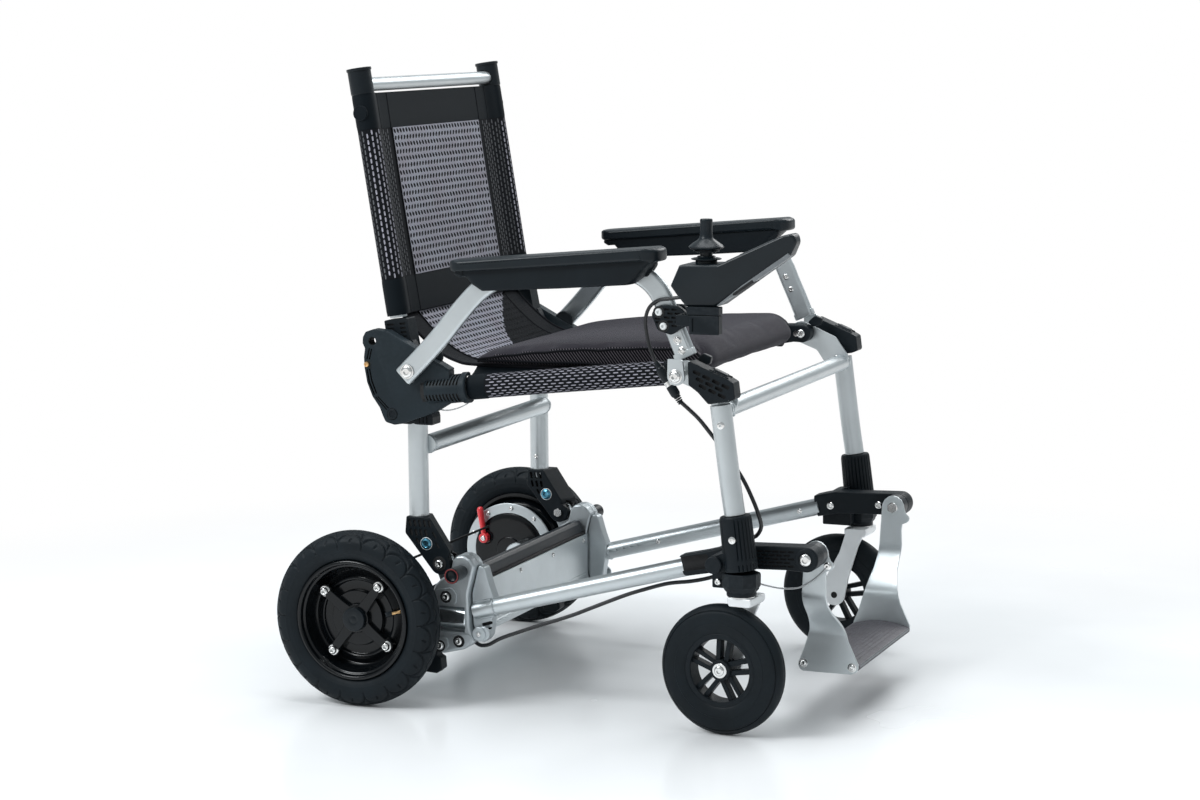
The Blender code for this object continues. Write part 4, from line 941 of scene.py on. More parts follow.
for s, k in SIDES:
    piece("drive_tyre_" + k, mirror(drive_tyre(), s), RUBBER, "wheel_" + k, ["rear_tyre_" + k],
          angle=180, weighted=False)
    dish = spin_u((0, WHEEL_R), [(r, WHEEL_U + t) for r, t in RIM_D], 128)
    spokes = []
    for a in SPOKES:
        pts = [turn(p, q, a) for p, q in ((0.0120, -0.0092), (0.0300, -0.0072), (0.0560, -0.0066),
                                          (0.0560, 0.0066), (0.0300, 0.0072), (0.0120, 0.0092))]
        spokes.append(soften(prism(pts, WHEEL_U - 0.0090, WHEEL_U + 0.0092), 0.0012, 3))
        spokes.append(spin_u(turn(0.0610, 0, a), [(0.0094, WHEEL_U - 0.0100), (0.0094, WHEEL_U + 0.0062),
                                                  (0.0088, WHEEL_U + 0.0070), (0.0050, WHEEL_U + 0.0070)], 32))
    star = union(spin_u((0, WHEEL_R), [(0.0215, WHEEL_U - 0.0080), (0.0215, WHEEL_U + 0.0060),
                                       (0.0200, WHEEL_U + 0.0088), (0.0180, WHEEL_U + 0.0095)], 64),
                 *spokes)
    piece("wheel_dish_" + k, mirror(dish, s), RIM, "wheel_" + k, ["rear_rim_" + k],
          angle=40)
    piece("wheel_spokes_" + k, mirror(star, s), RIM, "wheel_" + k)
    hub = spin_u((0, WHEEL_R), [(0.0172, WHEEL_U + 0.0060), (0.0176, WHEEL_U + 0.0100),
                                (0.0176, WHEEL_U + 0.0142), (0.0168, WHEEL_U + 0.0158),
                                (0.0130, WHEEL_U + 0.0166), (0.0080, WHEEL_U + 0.0168),
                                (0.0066, WHEEL_U + 0.0160), (0.0048, WHEEL_U + 0.0160),
                                (0.0036, WHEEL_U + 0.0167), (0.0, WHEEL_U + 0.0168)], 64)
    piece("hub_cap_" + k, mirror(hub, s), SMOOTH, "wheel_" + k)
    nuts = []
    for a in SPOKES:
        c = turn(0.0610, 0, a)
        nuts.append(spin_u(c, [(0.0078, WHEEL_U + 0.0066), (0.0080, WHEEL_U + 0.0074),
                               (0.0080, WHEEL_U + 0.0080), (0.0074, WHEEL_U + 0.0086)], 36))
        nuts.append(cap_screw(c, WHEEL_U + 0.0082, WHEEL_U + 0.0142, 0.0062))
    piece("wheel_bolts_" + k, mirror(join(nuts), s), STEEL, "wheel_" + k)
    va = math.radians(12)
    out = Vector((math.cos(va), 0, math.sin(va)))
    base_v = Vector((0, WHEEL_U + 0.0035, WHEEL_R)) + out * 0.0765
    aim = (Vector((0, 1, 0)) * 0.55 - out * 0.84).normalized()
    valve = [turned(base_v, base_v + aim, [(0.0030, 0.0), (0.0030, 0.010), (0.0026, 0.0108),
                                           (0.0026, 0.0225), (0.0020, 0.0235)], 24)]
    cap = turned(base_v + aim * 0.0175, base_v + aim * 0.03,
                 [(0.0035, 0.0), (0.0038, 0.001), (0.0038, 0.0075), (0.0030, 0.009)], 24)
    foot = turned(base_v - aim * 0.004, base_v + aim, [(0.0050, 0.0), (0.0050, 0.0045), (0.0036, 0.0070)], 24)
    piece("valve_stem_" + k, mirror(join(valve), s), BRASS, "wheel_" + k)
    piece("valve_cap_" + k, mirror(join([cap, foot]), s), SMOOTH, "wheel_" + k)

# the still side of each motor: cover, ring plate with its screws
for s, k in SIDES:
    cover = spin_u((0, WHEEL_R), [(0.0, 0.2400), (0.0200, 0.2400), (0.0212, 0.2408), (0.0222, 0.2418),
                                  (0.0500, 0.2422), (0.0560, 0.2428), (0.0592, 0.2442), (0.0600, 0.2458),
                                  (0.0600, 0.2505), (0.0600, 0.2700), (0.0, 0.2700)], 96)
    piece("motor_cover_" + k, mirror(cover, s), RIM, "base", ["hub_motor_" + k])
    ring = spin_u((0, WHEEL_R), [(0.0604, 0.2452), (0.0612, 0.2448), (0.0752, 0.2448), (0.0760, 0.2454),
                                 (0.0760, 0.2478), (0.0752, 0.2484), (0.0604, 0.2484)], 96, closed=True)
    screws = [cap_screw((0.0682 * math.cos(a), WHEEL_R + 0.0682 * math.sin(a)), 0, 0.0024, 0.0036, 24)
              for a in [math.radians(15 + 36 * i) for i in range(10)]]
    for b in screws:
        for v in b.verts:
            v.co.y = 0.2450 - v.co.y
        bmesh.ops.reverse_faces(b, faces=b.faces)
    piece("motor_ring_" + k, mirror(ring, s), ALU, "base")
    piece("motor_screws_" + k, mirror(join(screws), s), STEEL, "base")

# -------------------------------------------------------------------- backrest
POST_LOW, POST_TOP = Vector((0.0396, 0.5360)), Vector((-0.0205, 0.9115))
LEAN = (POST_TOP - POST_LOW).normalized()
WRAP_R = 0.0152


def on_post(z):
    return POST_LOW.x + LEAN.x * (z - POST_LOW.y) / LEAN.y


def back_point(u, n, z, sag=0.0035):
    """A point of the upholstery: across, out from the posts' plane, at a height."""
    x = on_post(z) + n * LEAN.y
    zz = z - n * LEAN.x
    if abs(u) < 0.2:
        x -= sag * (1 - (u / 0.2) ** 2) * max(0.0, math.sin(math.pi * min(1, max(0, (z - 0.555) / 0.32))))
    return Vector((x, u, zz))


def back_half(u, extra=0.0):
    """Half thickness of the flat panel where it swells to go round a post."""
    t = min(1.0, max(0.0, (abs(u) - 0.186) / 0.0250))
    flat = 0.0026 + extra
    r = WRAP_R + extra
    return flat + (math.sqrt(max(0.0, r * r - 0.0110 ** 2)) - flat) * t * t * (3 - 2 * t)


def back_ring(extra=0.0, ulim=0.2110):
    """Points (u, n) round the whole section, front side first."""
    us = [-ulim + 2 * ulim * i / 64 for i in range(65)]
    front = [(u, back_half(u, extra)) for u in us]
    a0 = math.degrees(math.acos(-0.0110 / (WRAP_R + extra)))
    far = [(0.2220 + (WRAP_R + extra) * math.cos(math.radians(a0 - 2 * a0 * i / 22)),
            (WRAP_R + extra) * math.sin(math.radians(a0 - 2 * a0 * i / 22))) for i in range(1, 22)]
    back = [(u, -back_half(u, extra)) for u in reversed(us)]
    near = [(-p, -q) for p, q in far]
    return front + far + back + near


def back_sleeve(z0, z1, n, extra=0.0, turn_in=True, ulim=0.2110):
    """A closed tube of cloth round both posts between two heights, its ends rolled in."""
    ring = back_ring(extra, ulim)
    zs = [(z0 + (z1 - z0) * i / n, 0.0) for i in range(n + 1)]
    zs = [(z0 + 0.0006, 0.0011)] + [(z0 + 0.0001, 0.0004)] + [(z, d) for z, d in zs[1:-1]] + \
         [(z1 - 0.0001, 0.0004), (z1 - 0.0006, 0.0011)]
    bm = bmesh.new()
    uvl = bm.loops.layers.uv.new("UVMap")
    rows = []
    for z, d in zs:
        row = []
        for u, q in ring:
            k = 1 - d / max(0.004, abs(q) if abs(u) < 0.2110 else WRAP_R)
            if abs(u) < 0.2110:
                row.append(bm.verts.new(back_point(u, q * k, z)))
            else:
                cu = math.copysign(0.2220, u)
                row.append(bm.verts.new(back_point(cu + (u - cu) * k, q * k, z)))
        rows.append(row)
    m = len(ring)
    for i in range(len(rows) - 1):
        for j in range(m):
            q = (j + 1) % m
            f = bm.faces.new((rows[i][j], rows[i][q], rows[i + 1][q], rows[i + 1][j]))
            for lp, (a, b) in zip(f.loops, ((i, j), (i, q), (i + 1, q), (i + 1, j))):
                lp[uvl].uv = (ring[b][0], zs[a][0])
    bm.faces.new(list(reversed(rows[0])))
    bm.faces.new(rows[-1])
    bmesh.ops.recalc_face_normals(bm, faces=bm.faces)
    return bm


mesh_body = back_sleeve(0.6085, 0.8265, 26, 0.0)
mesh_back = piece("back_cloth", mesh_body, DARKMESH, "backrest", ["back_mesh"], angle=60)
PANEL_U, PZ0, PZ1 = 0.1510, 0.6110, 0.8240


def cell_hole(i, j):
    """Slanting holes that lean one way and then the other, row by row."""
    tilt = math.radians(38 if j % 2 else -38)
    a, b = 0.420, 0.260
    pts = []
    for k in range(8):
        th = math.radians(225 + 45 * k)
        d = th - tilt
        r = a * b / math.sqrt((b * math.cos(d)) ** 2 + (a * math.sin(d)) ** 2)
        pts.append((0.5 + r * math.cos(th), 0.5 + r * math.sin(th) * 1.1))
    return pts


def light_surf(u, z, drop):
    return back_point(u, back_half(u) + 0.0017 - drop, z)


panel = pierced(light_surf, -PANEL_U, PANEL_U, 30, PZ0, PZ1, 21, cell_hole, 0.0014, (0, 1), thick=0)
piece("back_panel_mesh", panel, [LIGHTMESH, RECESS_SHADE], "backrest", angle=30,
      weighted=False)


def wrap_surf(s_):
    """Cloth of the side bands: a runs along the section from the panel's edge round the post."""
    ring = [(u, q) for u, q in back_ring(0.0006)]
    n = 65
    path = [p for p in ring[:n] if p[0] >= PANEL_U] + ring[n:n + 21]
    path += [p for p in ring[n + 21:] if p[0] >= 0.16][:14]
    run = [0.0]
    for a, b in zip(path[:-1], path[1:]):
        run.append(run[-1] + math.hypot(b[0] - a[0], b[1] - a[1]))

    def f(a, z, drop):
        a = min(max(a, 0), run[-1] - 1e-6)
        i = max(x for x in range(len(run) - 1) if run[x] <= a)
        t = (a - run[i]) / (run[i + 1] - run[i])
        u = path[i][0] + (path[i + 1][0] - path[i][0]) * t
        q = path[i][1] + (path[i + 1][1] - path[i][1]) * t
        dx, dy = path[i + 1][0] - path[i][0], path[i + 1][1] - path[i][1]
        ln = math.hypot(dx, dy)
        u, q = u + dy / ln * drop, q - dx / ln * drop
        return back_point(u * s_, q, z)
    return f, run[-1]


def dash(i, j):
    return oval(0.78, 0.36)


for s, k in SIDES:
    f, total = wrap_surf(s)
    # the dashes run up the post, so the cell's long side is the height
    na = 24
    lo_a = 0.0120

    def surf(z, a, drop, f=f, s=s):
        return f(a, z, drop)
    band = pierced(surf, 0.6110, 0.8240, na, lo_a, total, 24, dash, 0.0003, (0, 1), stagger=True)
    bmesh.ops.recalc_face_normals(band, faces=band.faces)
    # painted highlight on the band's dashes: those on the outer face keep the bright painted glint, the rest take its
    # dim copy, painted shade
    for fc in band.faces:
        c = fc.calc_center_median()
        if fc.material_index == 1 and (abs(c.y) < 0.2110 or c.x < on_post(c.z) - 0.0020):
            fc.material_index = 2
    piece("back_band_" + k, band, [DARKMESH, GLINT, GLINT_SHADED], "backrest", angle=30,
          weighted=False)

top = back_sleeve(0.8242, 0.8755, 8, 0.0011)
piece("back_top_band", top, BAND, "backrest", angle=60)
low = back_sleeve(0.5590, 0.6108, 8, 0.0011)
piece("back_low_band", low, BAND, "backrest", angle=60)
# stitched seams beside the posts on both bands, and at the mesh panel's edge
seams = []
for z0, z1, e in ((0.8250, 0.8745, 0.0011), (0.5600, 0.6100, 0.0011)):
    for s in (-1, 1):
        for u in (0.1545, 0.1875):
            pts = [back_point(s * u, back_half(u, e) + 0.0001, z0 + (z1 - z0) * i / 10) for i in range(11)]
            seams.append(thread([(p, 0.0007) for p in pts], 6))
for s in (-1, 1):
    pts = [back_point(s * (PANEL_U + 0.0012), back_half(PANEL_U) + 0.0010, PZ0 + (PZ1 - PZ0) * i / 24)
           for i in range(25)]
    seams.append(thread([(p, 0.0011) for p in pts], 6))
piece("back_seams", join(seams), PIPING, "backrest", angle=60)

for s, k in SIDES:
    a = Vector((on_post(0.8740), 0.2220, 0.8740))
    b = Vector((on_post(0.9118), 0.2220, 0.9118))
    n = (b - a).length
    cap = turned(a, b, [(0.0155, 0.0), (0.0166, 0.0010), (0.0168, 0.0024), (0.0168, n - 0.0046),
                        (0.0178, n - 0.0042), (0.0180, n - 0.0034), (0.0180, n - 0.0010),
                        (0.0174, n - 0.0002), (0.0150, n), (0.0140, n - 0.0005)], 56)
    notch = cyl((on_post(0.8880), 0.1900, 0.8880), (on_post(0.8880), 0.2105, 0.8880), 0.0118, seg=40)
    notch2 = turned((on_post(0.8880), 0.1990, 0.8880), (on_post(0.8880), 1, 0.8880),
                    [(0.0210, 0.0), (0.0118, 0.0070), (0.0, 0.0070)], 40)
    cap = cut(cap, notch, notch2)
    piece("post_cap_" + k, mirror(cap, s), SMOOTH, "backrest")
    # round button on the outside of the post
    mk = turned((on_post(0.8480) - 0.0005, 0.2365, 0.8480), (on_post(0.8480) - 0.0040, 1, 0.8480),
                [(0.0112, 0.0), (0.0112, 0.0024), (0.0102, 0.0034), (0.0094, 0.0029), (0.0030, 0.0034)], 44)
    piece("post_mark_" + k, mirror(mk, s), BAND, "backrest")
    post = cyl((on_post(0.5560), 0.2220, 0.5560), (on_post(0.8760), 0.2220, 0.8760), 0.0125, seg=48)
    piece("back_post_" + k, mirror(post, s), ALU, "backrest")
bar = cyl((on_post(0.8880), -0.2112, 0.8880), (on_post(0.8880), 0.2112, 0.8880), 0.0100, seg=48)
piece("push_bar", bar, ALU, "backrest", ["back_frame"])


def post_foot():
    blk = soften(prism(rounded([(0.0232, 0.5300), (0.0198, 0.5518), (0.0560, 0.5568),
                                (0.0648, 0.5110), (0.0270, 0.5150)], 0.002, 3),
                       0.2080, 0.2364), 0.0010, 2)
    tongue = prism([(0.0300, 0.5200), (0.0600, 0.4850)] + arc(M, 0.0125, 190, 400, 20)
                   + [(0.0640, 0.5240), (0.0500, 0.5300)], 0.2208, 0.2345)
    f = union(blk, tongue)
    items = []
    for i in range(5):
        items.append((0.0300 + i * 0.0008, 0.5462 - i * 0.0062, 0.0112, 0.0030, 5))
        items.append((0.0490 + i * 0.0008, 0.5486 - i * 0.0062, 0.0092, 0.0030, 5))
    return cutd(f, slots(items, 0.2335, 0.2400), spin_u(M, [(0.0048, 0.2150), (0.0048, 0.2450)], 24))


for s, k in SIDES:
    piece("post_foot_detail_" + k, mirror(post_foot(), s), [BLACK, RECESS_SHADE], "backrest", ["post_foot_" + k])

# ------------------------------------------------------------------------ seat
RAIL = [(0.1568, 0.2410, 0.4655), (0.1865, 0.2410, 0.4690), (0.2708, 0.2410, 0.4788),
        (0.3600, 0.2410, 0.4885), (0.4445, 0.2410, 0.4975), (0.4640, 0.2410, 0.4988)]
RAIL_D = smooth_path(RAIL, 0.003)
RAIL_RUN = [0.0]
for p, q in zip(RAIL_D[:-1], RAIL_D[1:]):
    RAIL_RUN.append(RAIL_RUN[-1] + (q - p).length)


def on_rail(a):
    a = min(max(a, 0.0), RAIL_RUN[-1] - 1e-6)
    i = int(a / RAIL_RUN[-1] * (len(RAIL_RUN) - 1))
    i = min(max(i, 0), len(RAIL_RUN) - 2)
    t = (a - RAIL_RUN[i]) / (RAIL_RUN[i + 1] - RAIL_RUN[i])
    d = (RAIL_D[i + 1] - RAIL_D[i]).normalized()
    return RAIL_D[i].lerp(RAIL_D[i + 1], t), d


RAIL_UP = -0.0040


def rail_surf(a, b, drop, r=0.0162):
    p, d = on_rail(a)
    th = b / 0.0160
    side = Vector((0, 1, 0))
    up = side.cross(d).normalized() * -1
    return p + up * RAIL_UP + (side * math.cos(th) + up * math.sin(th) * 1.06) * (r - drop)


for s, k in SIDES:
    core = sweep([tuple(p) for p in RAIL_D],
                 [(-RAIL_UP + 0.0168 * math.cos(2 * math.pi * i / 40),
                   0.0155 * math.sin(2 * math.pi * i / 40)) for i in range(40)])
    piece("rail_cover_" + k, mirror(core, s), BAND, "seat", ["seat_rail_" + k], angle=60)
    wrap = 2 * math.pi * 0.0160
    # the sunk dashes' floors take the painted glint, a painted highlight
    net = pierced(rail_surf, 0.0285, 0.3010, 23, 0.0, wrap, 24, lambda i, j: oval(0.68, 0.40), 0.0003,
                  (0, 1), stagger=True)
    bmesh.ops.recalc_face_normals(net, faces=net.faces)
    piece("rail_mesh_" + k, mirror(net, s), [DARKMESH, GLINT], "seat", angle=30,
          weighted=False)
    cuffs = []
    for a0, a1 in ((0.0, 0.0285), (0.3005, 0.3085)):
        pts, n = [], 10
        for i in range(n + 1):
            a = a0 + (a1 - a0) * i / n
            pts.append(on_rail(a)[0])
        cuffs.append(sweep([tuple(p) for p in pts],
                           [(-RAIL_UP + 0.0178 * math.cos(2 * math.pi * i / 40),
                             0.0165 * math.sin(2 * math.pi * i / 40)) for i in range(40)],
                           [1.0 if 0 < i < n else 0.96 for i in range(n + 1)]))
    piece("rail_cuffs_" + k, mirror(join(cuffs), s), BAND, "seat", angle=60)
    cap = prism([(0.4600, 0.4812), (0.4850, 0.4858)] + arc((0.4975, 0.4990), 0.0140, -78, 84, 26)
                + [(0.4850, 0.5128), (0.4600, 0.5120)], 0.2310, 0.2558)
    cap = cutd(soften(cap, 0.0034, 4), spin_u(C, [(0.0047, 0.2200), (0.0047, 0.2650)], 24),
              slots([(0.4700, 0.4880 + i * 0.0068, 0.0100, 0.0030, 6) for i in range(3)], 0.2535, 0.2600))
    piece("rail_end_" + k, mirror(cap, s), [BLACK, RECESS_SHADE], "seat")

HINGE = [(-0.0052, 0.5290), (-0.0010, 0.5368), (0.0115, 0.5412), (0.0300, 0.5396), (0.1306, 0.4853),
         (0.1311, 0.4402), (0.1062, 0.4252), (0.0872, 0.4175), (0.0557, 0.4064), (0.0430, 0.4042),
         (0.0290, 0.4076), (0.0248, 0.4160), (0.0200, 0.4280), (0.0085, 0.4440), (0.0004, 0.4640),
         (-0.0034, 0.4850), (-0.0040, 0.5010), (-0.0022, 0.5130), (-0.0058, 0.5206)]


def hinge_plate():
    flat = slab(rounded(HINGE, [0.004, 0.005, 0.006, 0.006, 0, 0, 0.006, 0.010, 0.008, 0.006, 0.006, 0.004,
                                0.006, 0.008, 0.008, 0.008, 0.006, 0.003, 0.003], 4),
                0.2370, 0.2560, 0.0012)
    # the long slots that follow the rear edge
    arcs = []
    for outer_, inner_ in ((((0.0045, 0.5136), (0.0000, 0.4975)), ((0.0098, 0.5127), (0.0060, 0.4970))),
                           (((0.0002, 0.4830), (0.0032, 0.4640), (0.0110, 0.4462)),
                            ((0.0060, 0.4840), (0.0097, 0.4665), (0.0165, 0.4490))),
                           (((0.0134, 0.4430), (0.0310, 0.4250)), ((0.0182, 0.4446), (0.0350, 0.4285)))):
        for f0, f1 in ((0.0, 0.36), (0.64, 1.0)):
            run = [[(o[0] + (i[0] - o[0]) * f, o[1] + (i[1] - o[1]) * f) for o, i in zip(outer_, inner_)]
                   for f in (f0, f1)]
            arcs.append(prism(run[0] + run[1][::-1], 0.2500, 0.2600))
    flat = cutd(flat, join(arcs), spin_u((0.0100, 0.5241), [(0.0060, 0.2300), (0.0060, 0.2650)], 32),
               spin_u((0.0400, 0.4195), [(0.0086, 0.2540), (0.0086, 0.2600)], 36))
    return flat


def socket():
    """The ribbed barrel that takes the rail."""
    c0 = Vector((0.0860, 0.2440, 0.4530))
    d = Vector((1, 0, 0.130)).normalized()
    n = 0.0725
    barrel = turned(c0, c0 + d, [(0.0120, 0.0), (0.0195, 0.0090), (0.0205, 0.0120), (0.0205, n - 0.0100),
                                 (0.0222, n - 0.0090), (0.0222, n - 0.0012), (0.0212, n), (0.0172, n),
                                 (0.0172, n - 0.0060), (0.0, n - 0.0060)], 60)
    cuts = []
    for i in range(10):
        x = 0.0985 + i * 0.0053
        cuts.append((x, 0.4690 + (x - 0.0985) * 0.105 + (0.0016 if i > 3 else 0.0), 0.0029,
                     0.0104 + 0.0006 * min(i, 7) + (0.0030 if i > 3 else 0.0), -8))
        cuts.append((x, 0.4466 + (x - 0.0985) * 0.044, 0.0029, 0.0084 + 0.0006 * min(i, 8), 8))
    barrel = cutd(barrel, slots(cuts, 0.2440, 0.2720))
    # painted shade: a dark core inside the barrel shows through the slits
    core = turned(c0 + d * 0.0020, c0 + d, [(0.0182, 0.0), (0.0182, n - 0.0120)], 48)
    for f in core.faces:
        f.material_index = 1
    # flat on its inner side, where the rear leg swings past
    clear = ((0.0500, 0.3000, 0.2000, 0.2372, 0.3900, 0.5300),) * 2
    return join([cut(m, box(*b)) for m, b in zip((barrel, core), clear)])


for s, k in SIDES:
    piece("hinge_plate_detail_" + k, mirror(hinge_plate(), s), [PLATE, RECESS_SHADE], "seat", ["hinge_plate_" + k],
          angle=30)
    lip = soften(prism([(0.0300, 0.5385), (0.0318, 0.5402), (0.1306, 0.4882), (0.1306, 0.4856)],
                       0.2376, 0.2554), 0.0005, 1)
    piece("hinge_socket_" + k, mirror(socket(), s), [PLATE, RECESS_SHADE], "seat")
    # inner lug and the lower boss with its screw
    lug = spin_u((0.1000, 0.5045), [(0.0140, 0.2392), (0.0152, 0.2402), (0.0152, 0.2440), (0.0140, 0.2452)], 48)
    boss = spin_u((0.0400, 0.4195), [(0.0078, 0.2535), (0.0078, 0.2562), (0.0070, 0.2568), (0.0046, 0.2568),
                                     (0.0042, 0.2560), (0.0, 0.2560)], 36)
    piece("hinge_lip_" + k, mirror(lip, s), PLATE, "seat")
    piece("hinge_lug_" + k, mirror(join([lug, boss]), s), BLACK, "seat")
    pin = spin_u((0.0018, 0.4905), [(0.0042, 0.2555), (0.0042, 0.2590), (0.0036, 0.2602), (0.0018, 0.2604),
                                    (0.0016, 0.2594), (0.0, 0.2594)], 32)
    piece("hinge_pin_" + k, mirror(pin, s), BRASS, "seat")
    washer = spin_u(M, [(0.0044, 0.2722), (0.0100, 0.2722), (0.0104, 0.2726), (0.0104, 0.2730),
                        (0.0100, 0.2733), (0.0044, 0.2733)], 44, closed=True)
    main = cap_screw(M, 0.2733, 0.2766, 0.0084)
    shank = spin_u(M, [(0.0042, 0.2205), (0.0042, 0.2740)], 28)
    inner = cap_screw(M, 0, 0.0040, 0.0072)
    for v in inner.verts:
        v.co.y = 0.2205 - v.co.y
    bmesh.ops.reverse_faces(inner, faces=inner.faces)
    pin2 = spin_u(B, [(0.0066, 0.2052), (0.0068, 0.2060), (0.0068, 0.2090), (0.0038, 0.2092), (0.0038, 0.2420)], 28)
    piece("hinge_bolts_" + k, mirror(join([washer, main, shank, inner, pin2]), s), STEEL, "seat")


def seat_hook():
    p = prism(rounded([(0.4800, 0.5225), (0.4794, 0.5020)], 0) + arc((0.4920, 0.4990), 0.0126, 185, 352, 18)
              + [(0.5036, 0.5040), (0.5016, 0.5205), (0.4990, 0.5225)], 0.3006, 0.3050)
    return soften(p, 0.0009, 2)


for s, k in SIDES:
    piece("seat_hook_" + k, mirror(seat_hook(), s), ALU, "seat", ["hook_plate_" + k])
    big = cap_screw((0.4915, 0.4990), 0.3052, 0.3112, 0.0082)
    cup = spin_u((0.4915, 0.4990), [(0.0086, 0.3048), (0.0096, 0.3050), (0.0096, 0.3060), (0.0086, 0.3066)], 44)
    inn = cap_screw((0.4972, 0.4992), 0, 0.0034, 0.0066)
    for v in inn.verts:
        v.co.y = 0.2312 - v.co.y
    bmesh.ops.reverse_faces(inn, faces=inn.faces)
    shank = spin_u(C, [(0.0042, 0.2300), (0.0042, 0.2600), (0.0078, 0.2600), (0.0078, 0.3010)], 28)
    piece("seat_bolt_" + k, mirror(join([big, cup, shank, inn]), s), STEEL, "seat")

CUSH = [(0.1440, 0.4915), (0.3000, 0.4905), (0.4900, 0.4905), (0.5060, 0.4945),
        (0.5111, 0.5050), (0.5050, 0.5180), (0.4944, 0.5270), (0.4700, 0.5305),
        (0.4055, 0.5280), (0.2540, 0.5175), (0.1800, 0.5070), (0.1440, 0.5000)]


def applied(ob):
    """The object's mesh with its modifiers worked in."""
    dg = bpy.context.evaluated_depsgraph_get()
    me = bpy.data.meshes.new_from_object(ob.evaluated_get(dg))
    ob.modifiers.clear()
    old = ob.data
    ob.data = me
    bpy.data.meshes.remove(old)


def stuffed(bm, voxel, pressure, cap, pin=None, frames=20, flat_z=None):
    """Blow a closed form up as cloth under pressure, each point moved at most cap."""
    me = bpy.data.meshes.new("stuffed")
    bm.to_mesh(me)
    bm.free()
    ob = bpy.data.objects.new("stuffed", me)
    bpy.context.scene.collection.objects.link(ob)
    md = ob.modifiers.new("r", 'REMESH')
    md.mode, md.voxel_size = 'VOXEL', voxel
    applied(ob)
    rest = [v.co.copy() for v in ob.data.vertices]
    if pin:
        g = ob.vertex_groups.new(name="pin")
        g.add([v.index for v in ob.data.vertices if pin(v.co)], 1.0, 'REPLACE')
    cl = ob.modifiers.new("cloth", 'CLOTH')
    st = cl.settings
    st.quality = 5
    st.mass = 0.3
    st.tension_stiffness = st.compression_stiffness = 25
    st.shear_stiffness = 12
    st.bending_stiffness = 1.2
    st.use_pressure = True
    st.uniform_pressure_force = pressure
    st.effector_weights.gravity = 0
    if pin:
        st.vertex_group_mass = "pin"
    cl.point_cache.frame_start, cl.point_cache.frame_end = 1, frames
    for fr in range(1, frames + 1):
        bpy.context.scene.frame_set(fr)
        bpy.context.view_layer.update()
    applied(ob)
    bpy.context.scene.frame_set(1)
    for v, r in zip(ob.data.vertices, rest):
        d = v.co - r
        if d.length > cap:
            d = d * (cap / d.length)
        v.co = r + d
        if flat_z is not None and v.co.z < flat_z:
            v.co.z = flat_z
    out = bmesh.new()
    out.from_mesh(ob.data)
    bpy.data.objects.remove(ob, do_unlink=True)
    bmesh.ops.smooth_vert(out, verts=out.verts, factor=0.5, use_axis_x=True, use_axis_y=True, use_axis_z=True)
    return out


def cushion():
    m = len(CUSH)
    mid = Vector((sum(p[0] for p in CUSH) / m, sum(p[1] for p in CUSH) / m))
    outline = rounded([(p[0] + (mid.x - p[0]) * 0.012, p[1] + (mid.y - p[1]) * 0.10) for p in CUSH],
                      [0.006, 0, 0.004, 0.006, 0.008, 0.008, 0.008, 0.02, 0, 0, 0.006, 0.006], 3)
    body = soften(prism(outline, -0.2145, 0.2145), 0.0055, 2, 50)
    body = stuffed(body, 0.0055, 4.0, 0.0065, flat_z=0.4896)
    # the front corners are cut round in plan
    r, x1, y1 = 0.0560, 0.5130, 0.2165
    for v in body.verts:
        X, Y = v.co.x, v.co.y
        dx, dy = X - (x1 - r), abs(Y) - (y1 - r)
        if dx > 0 and dy > 0:
            k = max(dx, dy) / math.hypot(dx, dy)
            v.co.x = (x1 - r) + dx * k
            v.co.y = math.copysign((y1 - r) + dy * k, Y)
    for f in body.faces:
        c, n = f.calc_center_median(), f.normal
        top = 0.4890 + 0.0285
        if abs(c.y) > 0.1900 and abs(n.y) > 0.62 and n.z < 0.72 and c.x < 0.4900:
            f.material_index = 1
        elif c.x < 0.150 and n.x < -0.5:
            f.material_index = 1
    return body


cush = piece("seat_pad", cushion(), [CUSH_TOP, CUSH_SIDE], "seat", ["seat_cushion"],
             angle=180, weighted=False, sub=1)


def on_surface(ob, pts, off):
    """Points put onto a piece's surface and lifted off by off."""
    from mathutils.bvhtree import BVHTree
    b = bmesh.new()
    b.from_mesh(ob.data)
    t = BVHTree.FromBMesh(b)
    b.free()
    out = []
    for p in pts:
        co, n, _, _ = t.find_nearest(Vector(p) - Vector((X0, 0, 0)))
        out.append(co + n * off + Vector((X0, 0, 0)))
    return out


def cushion_edge(s, low=False):
    """The sewn edge between the top cloth and the border."""
    if low:
        pts = [(0.1450 + (0.5020 - 0.1450) * i / 60, s * 0.2160, 0.4925) for i in range(61)]
    else:
        top = [(0.1440, 0.5000), (0.1800, 0.5068), (0.2540, 0.5172), (0.4055, 0.5272), (0.4700, 0.5300),
               (0.4944, 0.5262), (0.5050, 0.5175)]
        pts = [(p.x, s * 0.2150, p.y) for p in smooth_path([(a, b, 0) for a, b in top], 0.005)]
    return pts


edges = []
for s in (-1, 1):
    for low_ in (False, True):
        pts = on_surface(cush, cushion_edge(s, low_), 0.0004)
        for _ in range(3):
            pts = [pts[0]] + [(pts[i - 1] + pts[i] * 2 + pts[i + 1]) / 4 for i in range(1, len(pts) - 1)] + [pts[-1]]
        edges.append(thread([(p, 0.0017) for p in pts], 10))
piece("seat_pad_piping", join(edges), PIPING, "seat", angle=60)

SLING = [(0.0300, 0.5590), (0.0480, 0.5400), (0.0700, 0.5200), (0.0930, 0.5030),
         (0.1180, 0.4925), (0.1450, 0.4885), (0.2500, 0.4880), (0.4620, 0.4880)]
SL = smooth_path([(x, 0, z) for x, z in SLING], 0.004)
SL_RUN = [0.0]
for p, q in zip(SL[:-1], SL[1:]):
    SL_RUN.append(SL_RUN[-1] + (q - p).length)


